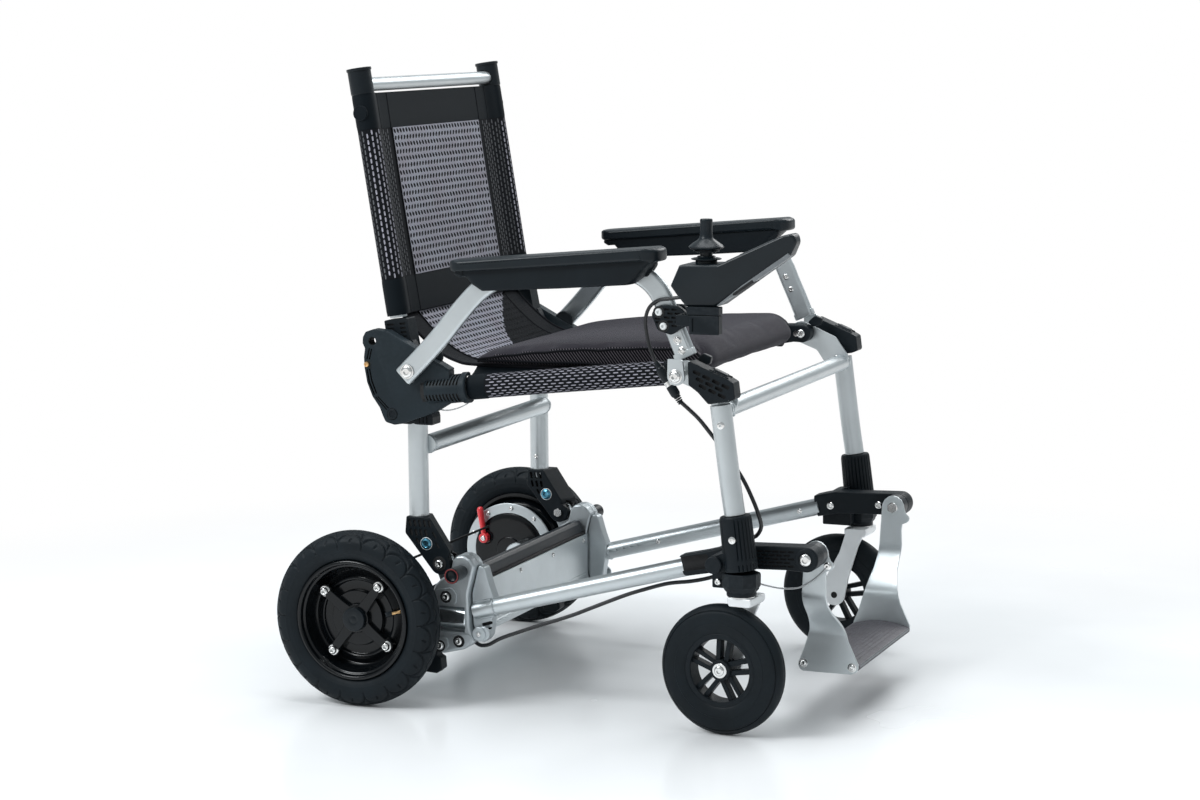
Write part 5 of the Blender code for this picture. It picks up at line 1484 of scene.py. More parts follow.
def sling_point(a, u, drop=0.0, sag=0.004):
    a = min(max(a, 0.0), SL_RUN[-1] - 1e-6)
    i = max(x for x in range(len(SL_RUN) - 1) if SL_RUN[x] <= a)
    t = (a - SL_RUN[i]) / (SL_RUN[i + 1] - SL_RUN[i])
    d = (SL[i + 1] - SL[i]).normalized()
    n = Vector((-d.z, 0, d.x))
    p = SL[i].lerp(SL[i + 1], t)
    w = sag * (1 - (u / 0.203) ** 2) * math.sin(math.pi * a / SL_RUN[-1])
    q = p + n * (0.0012 - drop - w)
    return Vector((q.x, u, q.z))


us = [-0.2030 + 0.4060 * i / 40 for i in range(41)]
av = [SL_RUN[-1] * i / 90 for i in range(91)]
bm = bmesh.new()
uvl = bm.loops.layers.uv.new("UVMap")
top_v = [[bm.verts.new(sling_point(a, u)) for u in us] for a in av]
low_v = [[bm.verts.new(sling_point(a, u, 0.0024)) for u in us] for a in av]
for i in range(90):
    for j in range(40):
        f = bm.faces.new((top_v[i][j], top_v[i][j + 1], top_v[i + 1][j + 1], top_v[i + 1][j]))
        g = bm.faces.new((low_v[i][j], low_v[i + 1][j], low_v[i + 1][j + 1], low_v[i][j + 1]))
        for lp, (a, b) in zip(f.loops, ((i, j), (i, j + 1), (i + 1, j + 1), (i + 1, j))):
            lp[uvl].uv = (us[b], av[a])
        for lp, (a, b) in zip(g.loops, ((i, j), (i + 1, j), (i + 1, j + 1), (i, j + 1))):
            lp[uvl].uv = (us[b], av[a])
for i in range(90):
    bm.faces.new((top_v[i][0], top_v[i + 1][0], low_v[i + 1][0], low_v[i][0]))
    bm.faces.new((top_v[i + 1][40], top_v[i][40], low_v[i][40], low_v[i + 1][40]))
for j in range(40):
    bm.faces.new((top_v[0][j + 1], top_v[0][j], low_v[0][j], low_v[0][j + 1]))
    bm.faces.new((top_v[90][j], top_v[90][j + 1], low_v[90][j + 1], low_v[90][j]))
bmesh.ops.recalc_face_normals(bm, faces=bm.faces)
sling = piece("seat_sling_cloth", bm, DARKMESH, "seat", ["seat_sling"], angle=50,
              weighted=False)
SLW = 0.140
net = pierced(lambda u, a, drop: sling_point(a, u, drop - 0.0009), -0.1510, 0.1510, 30, 0.0040, SLW, 14,
              cell_hole, 0.0012, (0, 1))
bmesh.ops.recalc_face_normals(net, faces=net.faces)
# towards the cushion, a wedge of the pale panel on one side takes the dark mesh colour
zt, zb = max(v.co.z for v in net.verts), min(v.co.z for v in net.verts)
for f in net.faces:
    c = f.calc_center_median()
    if f.material_index == 0 and c.y > 0.1510 - 0.1500 * (zt - c.z) / (zt - zb):
        f.material_index = 2
sling_net = piece("sling_mesh", net, [LIGHTMESH, RECESS_SHADE, DARKMESH], "seat", angle=30, weighted=False)
# the cloth's edges run on to the rails, where the sleeves take them
for s, k in SIDES:
    bm = bmesh.new()
    rows = []
    for i in range(63):
        x = 0.1500 + 0.3100 * i / 62
        z1 = on_rail((x - 0.1568) / 0.994)[0].z + RAIL_UP + 0.0125
        row = []
        for j in range(9):
            f = j / 8
            row.append((x, 0.2005 + 0.0270 * f, 0.4870 + (z1 - 0.4870) * f - 0.0016 * math.sin(math.pi * f)))
        rows.append(row)
    up_ = [[bm.verts.new((p[0], p[1], p[2] + 0.0008)) for p in r] for r in rows]
    dn_ = [[bm.verts.new((p[0], p[1], p[2] - 0.0008)) for p in r] for r in rows]
    for i in range(62):
        for j in range(8):
            bm.faces.new((up_[i][j], up_[i + 1][j], up_[i + 1][j + 1], up_[i][j + 1]))
            bm.faces.new((dn_[i][j], dn_[i][j + 1], dn_[i + 1][j + 1], dn_[i + 1][j]))
        bm.faces.new((up_[i][0], dn_[i][0], dn_[i + 1][0], up_[i + 1][0]))
        bm.faces.new((up_[i][8], up_[i + 1][8], dn_[i + 1][8], dn_[i][8]))
    for j in range(8):
        bm.faces.new((up_[0][j], up_[0][j + 1], dn_[0][j + 1], dn_[0][j]))
        bm.faces.new((up_[62][j], dn_[62][j], dn_[62][j + 1], up_[62][j + 1]))
    bmesh.ops.recalc_face_normals(bm, faces=bm.faces)
    piece("sling_wing_" + k, mirror(bm, s), BAND, "seat", angle=60, weighted=False)
hems = []
for s in (-1, 1):
    hems.append(thread([(sling_point(a, s * 0.2022), 0.0022) for a in av], 10))
    hems.append(thread([(sling_point(a, s * 0.1525, -0.0010), 0.0010) for a in av[:32]], 8))
hems.append(thread([(sling_point(0.0010, u), 0.0022) for u in us], 10))
piece("sling_hems", join(hems), PIPING, "seat", angle=60)

# ------------------------------------------------------------------- armrests
BAR = [(0.0725, 0.4845), (0.1000, 0.5115), (0.1257, 0.5390), (0.1492, 0.5668), (0.1700, 0.5895),
       (0.1875, 0.6054), (0.2130, 0.6210), (0.2450, 0.6285), (0.3200, 0.6325), (0.3900, 0.6372),
       (0.4200, 0.6345), (0.4365, 0.6265), (0.4500, 0.6140), (0.4600, 0.5975), (0.4692, 0.5760),
       (0.4796, 0.5530), (0.4930, 0.5215)]
PAD = [(0.1540, 0.6320), (0.1545, 0.6460), (0.4681, 0.6715), (0.4746, 0.6691), (0.4745, 0.6540),
       (0.4600, 0.6524), (0.4515, 0.6406), (0.4311, 0.6229), (0.3254, 0.6172), (0.2015, 0.6098),
       (0.1902, 0.6220)]
PAD_TOP = [(0.1545, 0.6400), (0.1545, 0.6460), (0.4681, 0.6715), (0.4746, 0.6691),
           (0.4745, 0.6560), (0.4400, 0.6560), (0.3950, 0.6536), (0.2100, 0.6462)]


def pad_loft(outline, u0, u1, tip, edge, n=30):
    """An arm pad: the outline carried across its width, its ends rounded in plan over
    tip and its long edges over edge."""
    uc, h = (u0 + u1) / 2, (u1 - u0) / 2
    xf0, xr0 = max(p[0] for p in outline), min(p[0] for p in outline)
    bm = bmesh.new()
    rows = []
    for i in range(n + 1):
        t = math.sin(math.pi * (i / n - 0.5))
        q = min(1.0, abs(t))
        ext = (1 - q ** 2.6) ** (1 / 2.6) if q < 1 else 0.0
        xf = xf0 - 0.0080 - tip * 0.72 * (1 - ext)
        xr = xr0 + tip * 0.72 * (1 - ext)
        e = max(0.0, (q * h - (h - edge)) / edge)
        drop = edge * (1 - math.sqrt(max(0.0, 1 - e * e))) * 0.92
        row = []
        m = len(outline)
        for j, (x, z) in enumerate(outline):
            a, b = outline[j - 1], outline[(j + 1) % m]
            tx, tz = b[0] - a[0], b[1] - a[1]
            ln = math.hypot(tx, tz) or 1.0
            nx, nz = tz / ln, -tx / ln
            f = (x - xr0) / (xf0 - xr0)
            row.append(bm.verts.new((xr + f * (xf - xr) + nx * drop * SIGN(outline), uc + t * h,
                                     z + nz * drop * SIGN(outline))))
        rows.append(row)
    for ra, rb in zip(rows[:-1], rows[1:]):
        for j in range(len(ra)):
            k2 = (j + 1) % len(ra)
            bm.faces.new((ra[j], ra[k2], rb[k2], rb[j]))
    bm.faces.new(rows[0])
    bm.faces.new(list(reversed(rows[-1])))
    bmesh.ops.recalc_face_normals(bm, faces=bm.faces)
    return bm


def SIGN(outline):
    """1 where the outline turns clockwise, so that a step to the right of its run goes in."""
    area = sum(p[0] * q[1] - q[0] * p[1] for p, q in zip(outline, list(outline[1:]) + [outline[0]]))
    return -1.0 if area > 0 else 1.0


def oval_section(w, t, n=10):
    """Flat oval: w wide in the plane of the bend, t thick across."""
    out = []
    for cx, a0 in ((w / 2 - t / 2, -90), (-(w / 2 - t / 2), 90)):
        out += [(cx + t / 2 * math.cos(math.radians(a0 + 180 * i / n)),
                 t / 2 * math.sin(math.radians(a0 + 180 * i / n))) for i in range(n + 1)]
    return out


for s, k in SIDES:
    d0 = (Vector((BAR[1][0], 0, BAR[1][1])) - Vector((BAR[0][0], 0, BAR[0][1]))).normalized()
    route = [(BAR[0][0] - d0.x * 0.0125, 0.2657, BAR[0][1] - d0.z * 0.0125)] + \
            [(x, 0.2657, z) for x, z in BAR]
    path = smooth_path(route, 0.004)
    bar = sweep([tuple(p) for p in path], oval_section(0.0300, 0.0110))
    bar = soften(bar, 0.0009, 2, 60)
    arm = piece("arm_tube_" + k, mirror(bar, s), ALU, "armrest_" + k, ["arm_bar_" + k],
                angle=50)
    # pad: a moulded lower shell and a softer top layer with an overhanging edge
    low = pad_loft(rounded([(0.1570, 0.6280), (0.1640, 0.6240), (0.1760, 0.6250), (0.1860, 0.6150), (0.2015, 0.6060),
                            (0.3254, 0.6130), (0.4290, 0.6205), (0.4410, 0.6290), (0.4510, 0.6410),
                            (0.4640, 0.6520), (0.4720, 0.6560), (0.4680, 0.6660), (0.1600, 0.6400)],
                           [0.002, 0.002, 0.003, 0.003, 0.006, 0, 0.006, 0.003, 0.003, 0.004, 0.003, 0.003, 0.002], 4),
                   0.2592, 0.3028, 0.018, 0.0030)
    top_pts = rounded([(0.1530, 0.6325), (0.1530, 0.6456), (0.1560, 0.6476), (0.4676, 0.6722), (0.4754, 0.6696),
                       (0.4758, 0.6530), (0.4600, 0.6548), (0.2200, 0.6366)],
                      [0.004, 0.004, 0.003, 0.004, 0.005, 0.004, 0.01, 0.01], 5)
    top = pad_loft(top_pts, 0.2552, 0.3112, 0.028, 0.0042)
    piece("arm_pad_shell_" + k, mirror(low, s), BLACK, "armrest_" + k, ["arm_pad_" + k])
    tp = piece("arm_pad_top_" + k, mirror(top, s), SOFT, "armrest_" + k)
    inner = prism(rounded([(0.2050, 0.6400), (0.4560, 0.6540), (0.4400, 0.6300), (0.2300, 0.6180)], 0.006, 5),
                  0.2600, 0.2720)
    piece("arm_pad_rib_" + k, mirror(soften(inner, 0.0015, 2), s), BLACK, "armrest_" + k)
    # insert plate in the front end, with its screws
    q0, q1 = Vector((0.4672, 0, 0.5785)), Vector((0.4918, 0, 0.5240))
    dd = (q1 - q0).normalized()
    nn = Vector((dd.z, 0, -dd.x))
    w = 0.0098
    ins = [(q0 + nn * w), (q0 - nn * w), (q1 - nn * w), (q1 + nn * w)]
    plate_ = prism(rounded([(p.x, p.z) for p in ins], [0.006, 0.006, 0.002, 0.002], 5), 0.2705, 0.2722)
    piece("arm_insert_" + k, mirror(soften(plate_, 0.0004, 1), s), ALU, "armrest_" + k)
    foot = [(q1 + nn * 0.0152 + dd * -0.006), (q1 - nn * 0.0152 + dd * -0.006), (q1 - nn * 0.0152 + dd * 0.0035),
            (q1 + nn * 0.0152 + dd * 0.0035)]
    foot_ = prism(rounded([(p.x, p.z) for p in foot], 0.0015, 3), 0.2612, 0.2728)
    piece("arm_foot_" + k, mirror(soften(foot_, 0.0006, 1), s), ALU, "armrest_" + k)
    sc = []
    for f_ in (0.62, 0.90):
        p = q0.lerp(q1, f_)
        sc.append(cap_screw((p.x, p.z), 0.2722, 0.2738, 0.0046))
        sc.append(spin_u((p.x, p.z), [(0.0056, 0.2718), (0.0062, 0.2724), (0.0056, 0.2727), (0.0048, 0.2724)], 36,
                         closed=True))
    for c in ((0.4634, 0.5829), (0.4716, 0.5638)):
        b = cap_screw(c, 0, 0.0020, 0.0046)
        for v in b.verts:
            v.co.y = 0.2604 - v.co.y
        bmesh.ops.reverse_faces(b, faces=b.faces)
        sc.append(b)
    piece("arm_screws_" + k, mirror(join(sc), s), STEEL, "armrest_" + k)

# ------------------------------------------------------------------------ base
BASE_R, BASE_F = (0.1560, 0.1348), (0.4740, 0.21965)
TUBE_DIR = Vector((BASE_F[0] - BASE_R[0], 0, BASE_F[1] - BASE_R[1])).normalized()
FLANGE = [(0.1592, 0.2021), (0.1484, 0.1603), (0.1495, 0.1141), (0.1577, 0.0907), (0.1680, 0.0890),
          (0.1760, 0.0980), (0.1790, 0.1180), (0.1840, 0.1530), (0.1770, 0.1720), (0.1690, 0.1990)]


def ring_torus(c, d, r, w, seg=56, bumps=0, amp=0.0):
    """A bead round an axis: radius r, thickness w, with ripples for a weld."""
    a, b = frame_for(d)
    bm = bmesh.new()
    rows = []
    for k in range(seg):
        th = 2 * math.pi * k / seg
        o = a * math.cos(th) + b * math.sin(th)
        ww = w * (1 + amp * math.sin(bumps * th))
        rows.append([bm.verts.new(c + o * (r + ww * math.cos(t)) + d * ww * math.sin(t))
                     for t in [2 * math.pi * q / 10 for q in range(10)]])
    for k in range(seg):
        ra, rb = rows[k], rows[(k + 1) % seg]
        for i in range(10):
            j = (i + 1) % 10
            bm.faces.new((ra[i], ra[j], rb[j], rb[i]))
    bmesh.ops.recalc_face_normals(bm, faces=bm.faces)
    return bm


def ringed_screw(c, u, r, out=1, deep=0.0030):
    """Screw in a dark ring on a face looking outwards (or inwards for out = -1):
    the ring and the screw head as two meshes."""
    ring = spin_u(c, [(r * 0.90, 0.0), (r * 1.50, 0.0), (r * 1.50, 0.0006), (r * 1.42, 0.0010),
                      (r * 1.10, 0.0010), (r * 0.90, 0.0005)], 40, closed=True)
    head = cap_screw(c, 0.0002, deep, r * 0.92)
    for b in (ring, head):
        for v in b.verts:
            v.co.y = u + out * v.co.y
        if out < 0:
            bmesh.ops.reverse_faces(b, faces=b.faces)
    return ring, head


for s, k in SIDES:
    lo = Vector((BASE_R[0], 0.2219, BASE_R[1]))
    hi = Vector((BASE_F[0], 0.2219, BASE_F[1]))
    n = (hi - lo).length
    tube = cyl(tuple(lo - TUBE_DIR * 0.0050), tuple(hi + TUBE_DIR * 0.0600), 0.0130, seg=56, edge=0.0006)
    wall = slab(rounded(FLANGE, [0.004, 0.01, 0.01, 0.006, 0.006, 0.004, 0.01, 0.010, 0.01, 0.006], 4),
                0.2080, 0.2275, 0.0020, 3)
    wall = cutd(wall, slots([(0.1720, 0.1170, 0.0160, 0.0050, 17), (0.1735, 0.1096, 0.0110, 0.0030, 17)],
                            0.2240, 0.2300))
    # the inner face of the tube carries a short row of drain slots at its rear
    row = []
    for i in range(5):
        p = lo + TUBE_DIR * (0.0360 + 0.0125 * i)
        row.append((p.x, p.z + 0.0006, 0.0072, 0.0030, 15))
    tube = cut(tube, slots(row, 0.2050, 0.2120))
    piece("base_tube_detail_" + k, mirror(tube, s), ALU, "base", ["base_tube_" + k])
    piece("base_flange_" + k, mirror(wall, s), [CAST, RECESS_SHADE], "base")
    c = lo + TUBE_DIR * 0.0290
    beads = [ring_torus(c, TUBE_DIR, 0.0132, 0.0012, 72, 19, 0.22)]
    for sg in (-1, 1):
        a0 = lo + Vector((-TUBE_DIR.z, 0, TUBE_DIR.x)) * sg * 0.0122 + Vector((0, 0.0056, 0))
        beads.append(thread([(a0 + TUBE_DIR * (0.0016 * i), 0.0015 + 0.0003 * (i % 2)) for i in range(18)], 10))
    piece("base_weld_" + k, mirror(join(beads), s), CAST, "base", angle=180)
    lug = [spin_u((0.1640, 0.1030), [(0.0096, 0.2356), (0.0104, 0.2362), (0.0104, 0.2392), (0.0094, 0.2400),
                                     (0.0050, 0.2400), (0.0046, 0.2396), (0.0, 0.2396)], 48),
           spin_u((0.1640, 0.1030), [(0.0088, 0.2200), (0.0088, 0.2358)], 48)]
    lug.append(spin_u((0.1700, 0.1042), [(0.0096, 0.2340), (0.0102, 0.2346), (0.0102, 0.2374), (0.0094, 0.2380),
                                         (0.0, 0.2380)], 48))
    piece("base_lug_" + k, mirror(join(lug), s), CAST, "base")
    r1, h1 = ringed_screw((0.1640, 0.1030), 0.2396, 0.0036, 1, 0.0022)
    r1.free()
    inner = []
    for f in (0.36, 1.091):
        p = lo.lerp(hi, f)
        b = cap_screw((p.x, p.z), 0, 0.0026, 0.0042)
        for v in b.verts:
            v.co.y = 0.2098 - v.co.y
        bmesh.ops.reverse_faces(b, faces=b.faces)
        inner.append(b)
    piece("base_screws_" + k, mirror(join([h1] + inner), s), STEEL, "base")

CASTING = [(0.1583, 0.2021), (0.1505, 0.2120), (0.1400, 0.2165), (0.1290, 0.2150),
           (0.1232, 0.2080), (0.1190, 0.1900), (0.1060, 0.1815), (0.0940, 0.1700),
           (0.0890, 0.1500), (0.0890, 0.0860), (0.0960, 0.0745), (0.1060, 0.0700),
           (0.1400, 0.0785), (0.1567, 0.0907), (0.1485, 0.1141), (0.1474, 0.1603)]
CAST_BOLTS = ((0.1130, 0.1546), (0.1324, 0.0904), (0.1020, 0.0816))
for s, k in SIDES:
    line = rounded(CASTING, [0.006, 0.008, 0.010, 0.008, 0.008, 0.010, 0.02, 0.01, 0.01, 0.01, 0.01, 0.006,
                             0.02, 0.004, 0.03, 0.04], 5)
    inner_half = slab(line, 0.2050, 0.2214, 0.0032, 3)
    outer_half = slab(line, 0.2226, 0.2385, 0.0040, 4)
    mid = slab(inset(line, 0.0010), 0.2200, 0.2240, 0.0002, 1)
    body = union(inner_half, mid, outer_half)
    # the channel that the arm lies in, and the raised pads round the bolts
    body = cut(body, slab([(0.0700, 0.1036), (0.1412, 0.1036), (0.1432, 0.1220), (0.1412, 0.1408),
                           (0.0700, 0.1408)], 0.2290, 0.2440, 0.0010, 2))
    piece("casting_body_" + k, mirror(body, s), CAST, "base", ["drive_casting_" + k])
    pads = [slab(rounded([(0.0955, 0.1640), (0.1224, 0.1690), (0.1300, 0.1590), (0.1286, 0.1440),
                          (0.0960, 0.1424)], [0.004, 0.008, 0.008, 0.006, 0.002], 4), 0.2370, 0.2400, 0.0008, 2),
            slab(rounded([(0.1180, 0.0975), (0.1300, 0.1010), (0.1500, 0.1028), (0.1530, 0.0930), (0.1450, 0.0830),
                          (0.1240, 0.0785)], 0.006, 4), 0.2370, 0.2398, 0.0008, 2),
            slab(rounded([(0.0925, 0.0930), (0.1140, 0.0960), (0.1160, 0.0800), (0.1060, 0.0730), (0.0960, 0.0760)],
                         0.006, 4), 0.2370, 0.2402, 0.0008, 2)]
    piece("casting_pads_" + k, mirror(join(pads), s), CAST, "base")
    arm = turned((0.1440, 0.2220, 0.1226), (0.0300, 0.2220, 0.1275),
                 [(0.0150, 0.0), (0.0176, 0.0018), (0.0180, 0.0040), (0.0180, 0.1120), (0.0170, 0.1138)], 64)
    boss = spin_u((0.0300, 0.1275), [(0.0190, 0.2040), (0.0205, 0.2052), (0.0205, 0.2380), (0.0196, 0.2404),
                                     (0.0170, 0.2412), (0.0, 0.2412)], 56)
    piece("casting_arm_" + k, mirror(union(arm, boss), s), POLISH, "base")
    ear = prism([(0.0930, 0.1900), (0.1000, 0.1720), (0.1300, 0.1800), (0.1235, 0.2000),
                 (0.1150, 0.2090)], 0.2160, 0.2270)
    ear = union(ear, spin_u(A, [(0.0138, 0.2160), (0.0145, 0.2166), (0.0145, 0.2264), (0.0138, 0.2270)], 48))
    piece("casting_ear_" + k, mirror(ear, s), CAST, "base")
    foot = slab(rounded([(0.0720, 0.0392), (0.0925, 0.0380), (0.1008, 0.0447), (0.0994, 0.0607), (0.0930, 0.0640),
                         (0.0960, 0.0800), (0.0900, 0.0860), (0.0720, 0.0600)],
                        [0.003, 0.002, 0.002, 0.002, 0.003, 0.003, 0.003, 0.003], 4), 0.2120, 0.2320, 0.0014, 3)
    piece("casting_foot_" + k, mirror(foot, s), BLACK, "base")
    rings, heads = [], []
    for c in CAST_BOLTS:
        r1, h1 = ringed_screw(c, 0.2394, 0.0060, 1, 0.0034)
        rings.append(r1)
        heads.append(h1)
    r1, h1 = ringed_screw(A, 0.2390, 0.0070, 1, 0.0046)
    rings.append(r1)
    heads.append(h1)
    heads.append(spin_u(A, [(0.0040, 0.2034), (0.0040, 0.2390)], 24))
    heads.append(spin_u(A, [(0.0068, 0.1992), (0.0072, 0.1998), (0.0072, 0.2034), (0.0060, 0.2036)], 6))
    # painted shade: the dark rings round the bolt heads
    piece("casting_washers_" + k, mirror(join(rings), s), RECESS_SHADE, "base")
    piece("casting_bolts_" + k, mirror(join(heads), s), STEEL, "base")

# tray and battery
tray = prism([(-0.0200, 0.0950), (0.1535, 0.0950), (0.1535, 0.1720), (0.1300, 0.1720), (0.0900, 0.1500),
              (-0.0200, 0.1060)], -0.2030, 0.2030)
tray = cut(tray, box(-0.0165, 0.1500, -0.1990, 0.1990, 0.0990, 0.1800))
tray = soften(tray, 0.0010, 2)
piece("tray_shell", tray, ALU, "base", ["battery_tray"])
ribs = []
for z in (0.1060, 0.1105):
    ribs.append(prism([(0.1530, z - 0.0008), (0.1542, z), (0.1530, z + 0.0008)], -0.1960, 0.1960))
ribs.append(slab([(0.1530, 0.1000), (0.1545, 0.1006), (0.1545, 0.1030), (0.1530, 0.1036)], -0.1960, 0.1960, 0.0003, 1))
piece("tray_ribs", join(ribs), ALU, "base")
tsc = []
for u in (-0.185, -0.062, 0.062, 0.185):
    p0 = Vector((0.1534, u, 0.1630))
    tsc.append(turned(p0, p0 + Vector((1, 0, 0)), [(0.0036, 0.0), (0.0038, 0.0004), (0.0036, 0.0014), (0.0018, 0.0018),
                                                  (0.0016, 0.0012), (0.0, 0.0012)], 24))
piece("tray_screws", join(tsc), STEEL, "base")
BATTERY = [(-0.0158, 0.0996), (0.1488, 0.0996), (0.1490, 0.1735), (0.1462, 0.1880),
           (0.1410, 0.1935), (0.1330, 0.1925), (-0.0110, 0.1165), (-0.0158, 0.1120)]
pack = slab(rounded(BATTERY, [0.002, 0.002, 0.002, 0.004, 0.004, 0.004, 0.003, 0.002], 4), -0.1982, 0.1982, 0.0020, 3)
grips = []
for u in (-0.118, 0.118):
    grips.append(slab(rounded([(0.0560, 0.1400), (0.0860, 0.1560), (0.0860, 0.1900), (0.0560, 0.1900)], 0.002, 3),
                      u - 0.045, u + 0.045, 0.004, 3))
for u in (-0.160, -0.080, 0.0, 0.080, 0.160):
    grips.append(box(0.1395, 0.1600, u - 0.0006, u + 0.0006, 0.1922, 0.2000))
pack = cut(pack, *grips)
piece("battery_pack", pack, BATTCAP, "battery", ["battery"])
# painted shade: dark strips along the pack's front and rear top edges
lip = slab(rounded([(0.1470, 0.1722), (0.1524, 0.1722), (0.1528, 0.1748), (0.1505, 0.1762), (0.1470, 0.1762)],
                   [0, 0.0006, 0.0010, 0.0010, 0], 3), -0.1975, 0.1975, 0.0008, 2)
back_lip = slab([(-0.0170, 0.1722), (-0.0140, 0.1722), (-0.0140, 0.1756), (-0.0170, 0.1750)], -0.1975, 0.1975, 0.0006, 1)
piece("battery_lip", join([lip, back_lip]), RECESS_SHADE, "battery")

for s, k in SIDES:
    foot_ = Vector((LEVER[0], 0.2350, LEVER[1]))
    top = Vector((-0.0478, 0.2350, 0.1968))
    n = (top - foot_).length
    rod = turned(foot_, top, [(0.0038, 0.0), (0.0040, 0.012), (0.0046, 0.020), (0.0050, n * 0.6), (0.0054, n - 0.0075),
                              (0.0052, n - 0.0040), (0.0042, n - 0.0014), (0.0022, n), (0.0, n)], 40)
    disc = spin_u(LEVER, [(0.0072, 0.2300), (0.0080, 0.2308), (0.0080, 0.2402), (0.0074, 0.2411)], 44)
    piece("lever_grip_" + k, mirror(union(disc, rod), s), RED, "lever_" + k, ["freewheel_lever_" + k])
    b = cap_screw(LEVER, 0, 0.0020, 0.0044)
    for v in b.verts:
        v.co.y = 0.2304 - v.co.y
    bmesh.ops.reverse_faces(b, faces=b.faces)
    piece("lever_screw_" + k, mirror(b, s), STEEL, "lever_" + k)
    # the arch the lever turns in
    horn = [spin_u(LEVER, [(0.0100, 0.2412), (0.0118, 0.2404), (0.0118, 0.2424), (0.0100, 0.2424)], 48, closed=True)]
    piece("lever_seat_" + k, mirror(join(horn), s), SMOOTH, "base")
    # release knob
    n0 = 0.2389
    knob = spin_u((0.1400, 0.1940), [(0.0072, n0), (0.0080, n0 + 0.0008), (0.0080, 0.2436), (0.0092, 0.2446),
                                     (0.0101, 0.2462), (0.0108, 0.2640), (0.0113, 0.2745), (0.0114, 0.2766),
                                     (0.0111, 0.2780), (0.0106, 0.2784), (0.0088, 0.2784), (0.0082, 0.2776),
                                     (0.0074, 0.2740), (0.0044, 0.2722), (0.0, 0.2718)], 72)
    for v in knob.verts:
        d = Vector((v.co.x - 0.1400, v.co.z - 0.1940))
        if 0.2470 < v.co.y < 0.2750 and d.length > 0.009:
            th = math.atan2(d.y, d.x)
            kk = 1 - 0.022 * (0.5 + 0.5 * math.cos(24 * th))
            v.co.x, v.co.z = 0.1400 + d.x * kk, 0.1940 + d.y * kk
    red = spin_u((0.1400, 0.1940), [(0.0090, 0.2778), (0.0106, 0.2778), (0.0107, 0.2784), (0.0104, 0.2789),
                                    (0.0093, 0.2789), (0.0090, 0.2785)], 64, closed=True)
    piece("knob_body_" + k, mirror(knob, s), SMOOTH, "knob_" + k, ["release_knob_" + k])
    piece("knob_ring_" + k, mirror(red, s), REDRING, "knob_" + k)

# -------------------------------------------------------------- front fittings
BEAM = ([(0.4712, 0.2392), (0.5100, 0.2480), (0.5400, 0.2560), (0.5600, 0.2600), (0.6520, 0.2628)]
        + arc(F, 0.0178, 75, -90, 18) + [(0.6300, 0.2290), (0.5650, 0.2270), (0.5250, 0.2190),
                                        (0.4786, 0.2100)])
for s, k in SIDES:
    rr = [0.004, 0.01, 0.01, 0.01, 0] + [0] * 19 + [0.01, 0.01, 0.01, 0.006]
    beam = slab(rounded(BEAM, rr, 4), 0.2120, 0.2420, 0.0026, 3)
    cuts = [prism(rounded([(0.4600, 0.2350), (0.5160, 0.2450), (0.5120, 0.2235), (0.4600, 0.2140)], 0.003, 3),
                  0.2350, 0.2450),
            prism([(0.4500, 0.2600), (0.5253, 0.2600), (0.5253, 0.2469), (0.5314, 0.2211), (0.5314, 0.1900),
                   (0.4500, 0.1900)], 0.2000, 0.2215 if k == "R" else 0.2600)]
    items = []
    for j in range(5):
        z0 = 0.2335 + j * 0.0050
        for i in range(8):
            x = 0.5570 + i * 0.0112 + (0.0056 if j % 2 else 0)
            if x < 0.6380:
                items.append((x, z0 + (x - 0.5600) * 0.025 - 0.0004, 0.0092, 0.0028, 1.5))
    cuts.append(slots(items, 0.2396, 0.2450))
    beam = cutd(beam, *cuts)
    piece("front_beam_" + k, mirror(beam, s), [BLACK, RECESS_SHADE], "base", ["front_fitting_" + k])
    # swivel housing: a faceted collar with a chamfered flange under it
    col = turned((SWIVEL[0], SWIVEL[1], 0.2040), (SWIVEL[0], SWIVEL[1], 1),
                 [(0.0212, 0.0), (0.0240, 0.0034), (0.0246, 0.0060), (0.0264, 0.0082), (0.0266, 0.0240),
                  (0.0254, 0.0264), (0.0190, 0.0266)], 8)
    neck = cyl((SWIVEL[0], SWIVEL[1], 0.1986), (SWIVEL[0], SWIVEL[1], 0.2062), 0.0205, seg=56, edge=0.0008)
    blk = slab(rounded([(0.5310, 0.2040), (0.5760, 0.2040), (0.5760, 0.2284), (0.5310, 0.2284)], 0.002, 3),
               0.2380, 0.2700, 0.0012, 2)
    body = union(col, blk, neck)
    sp = spin_u(F, [(0.0164, 0.1946), (0.0172, 0.1954), (0.0172, 0.2140)], 56)
    piece("swivel_housing_" + k, mirror(body, s), BLACK, "base")
    piece("foot_spacer_" + k, mirror(sp, s), SMOOTH, "base")
    boss = spin_u(F, [(0.0150, 0.2414), (0.0150, 0.2424), (0.0142, 0.2430), (0.0098, 0.2430), (0.0094, 0.2426),
                      (0.0, 0.2426)], 56)
    piece("beam_boss_" + k, mirror(boss, s), BLACK, "base")
    st = [cap_screw(F, 0.2427, 0.2466, 0.0086),
          spin_u(F, [(0.0042, 0.1892), (0.0042, 0.2415)], 28),
          cap_screw((0.5400, 0.2127), 0.2698, 0.2735, 0.0050)]
    nut = spin_u(F, [(0.0078, 0.1850), (0.0084, 0.1856), (0.0084, 0.1888), (0.0078, 0.1892)], 6)
    st.append(nut)
    pin = spin_u(D, [(0.0042, 0.2128), (0.0042, 0.2996)], 24)
    st += [pin]
    for c in ((0.5518, 0.2384), (0.6280, 0.2440)):
        b = cap_screw(c, 0, 0.0040, 0.0060)
        for v in b.verts:
            v.co.y = 0.2122 - v.co.y
        bmesh.ops.reverse_faces(b, faces=b.faces)
        st.append(b)
    piece("fitting_bolts_" + k, mirror(join(st), s), STEEL, "base")

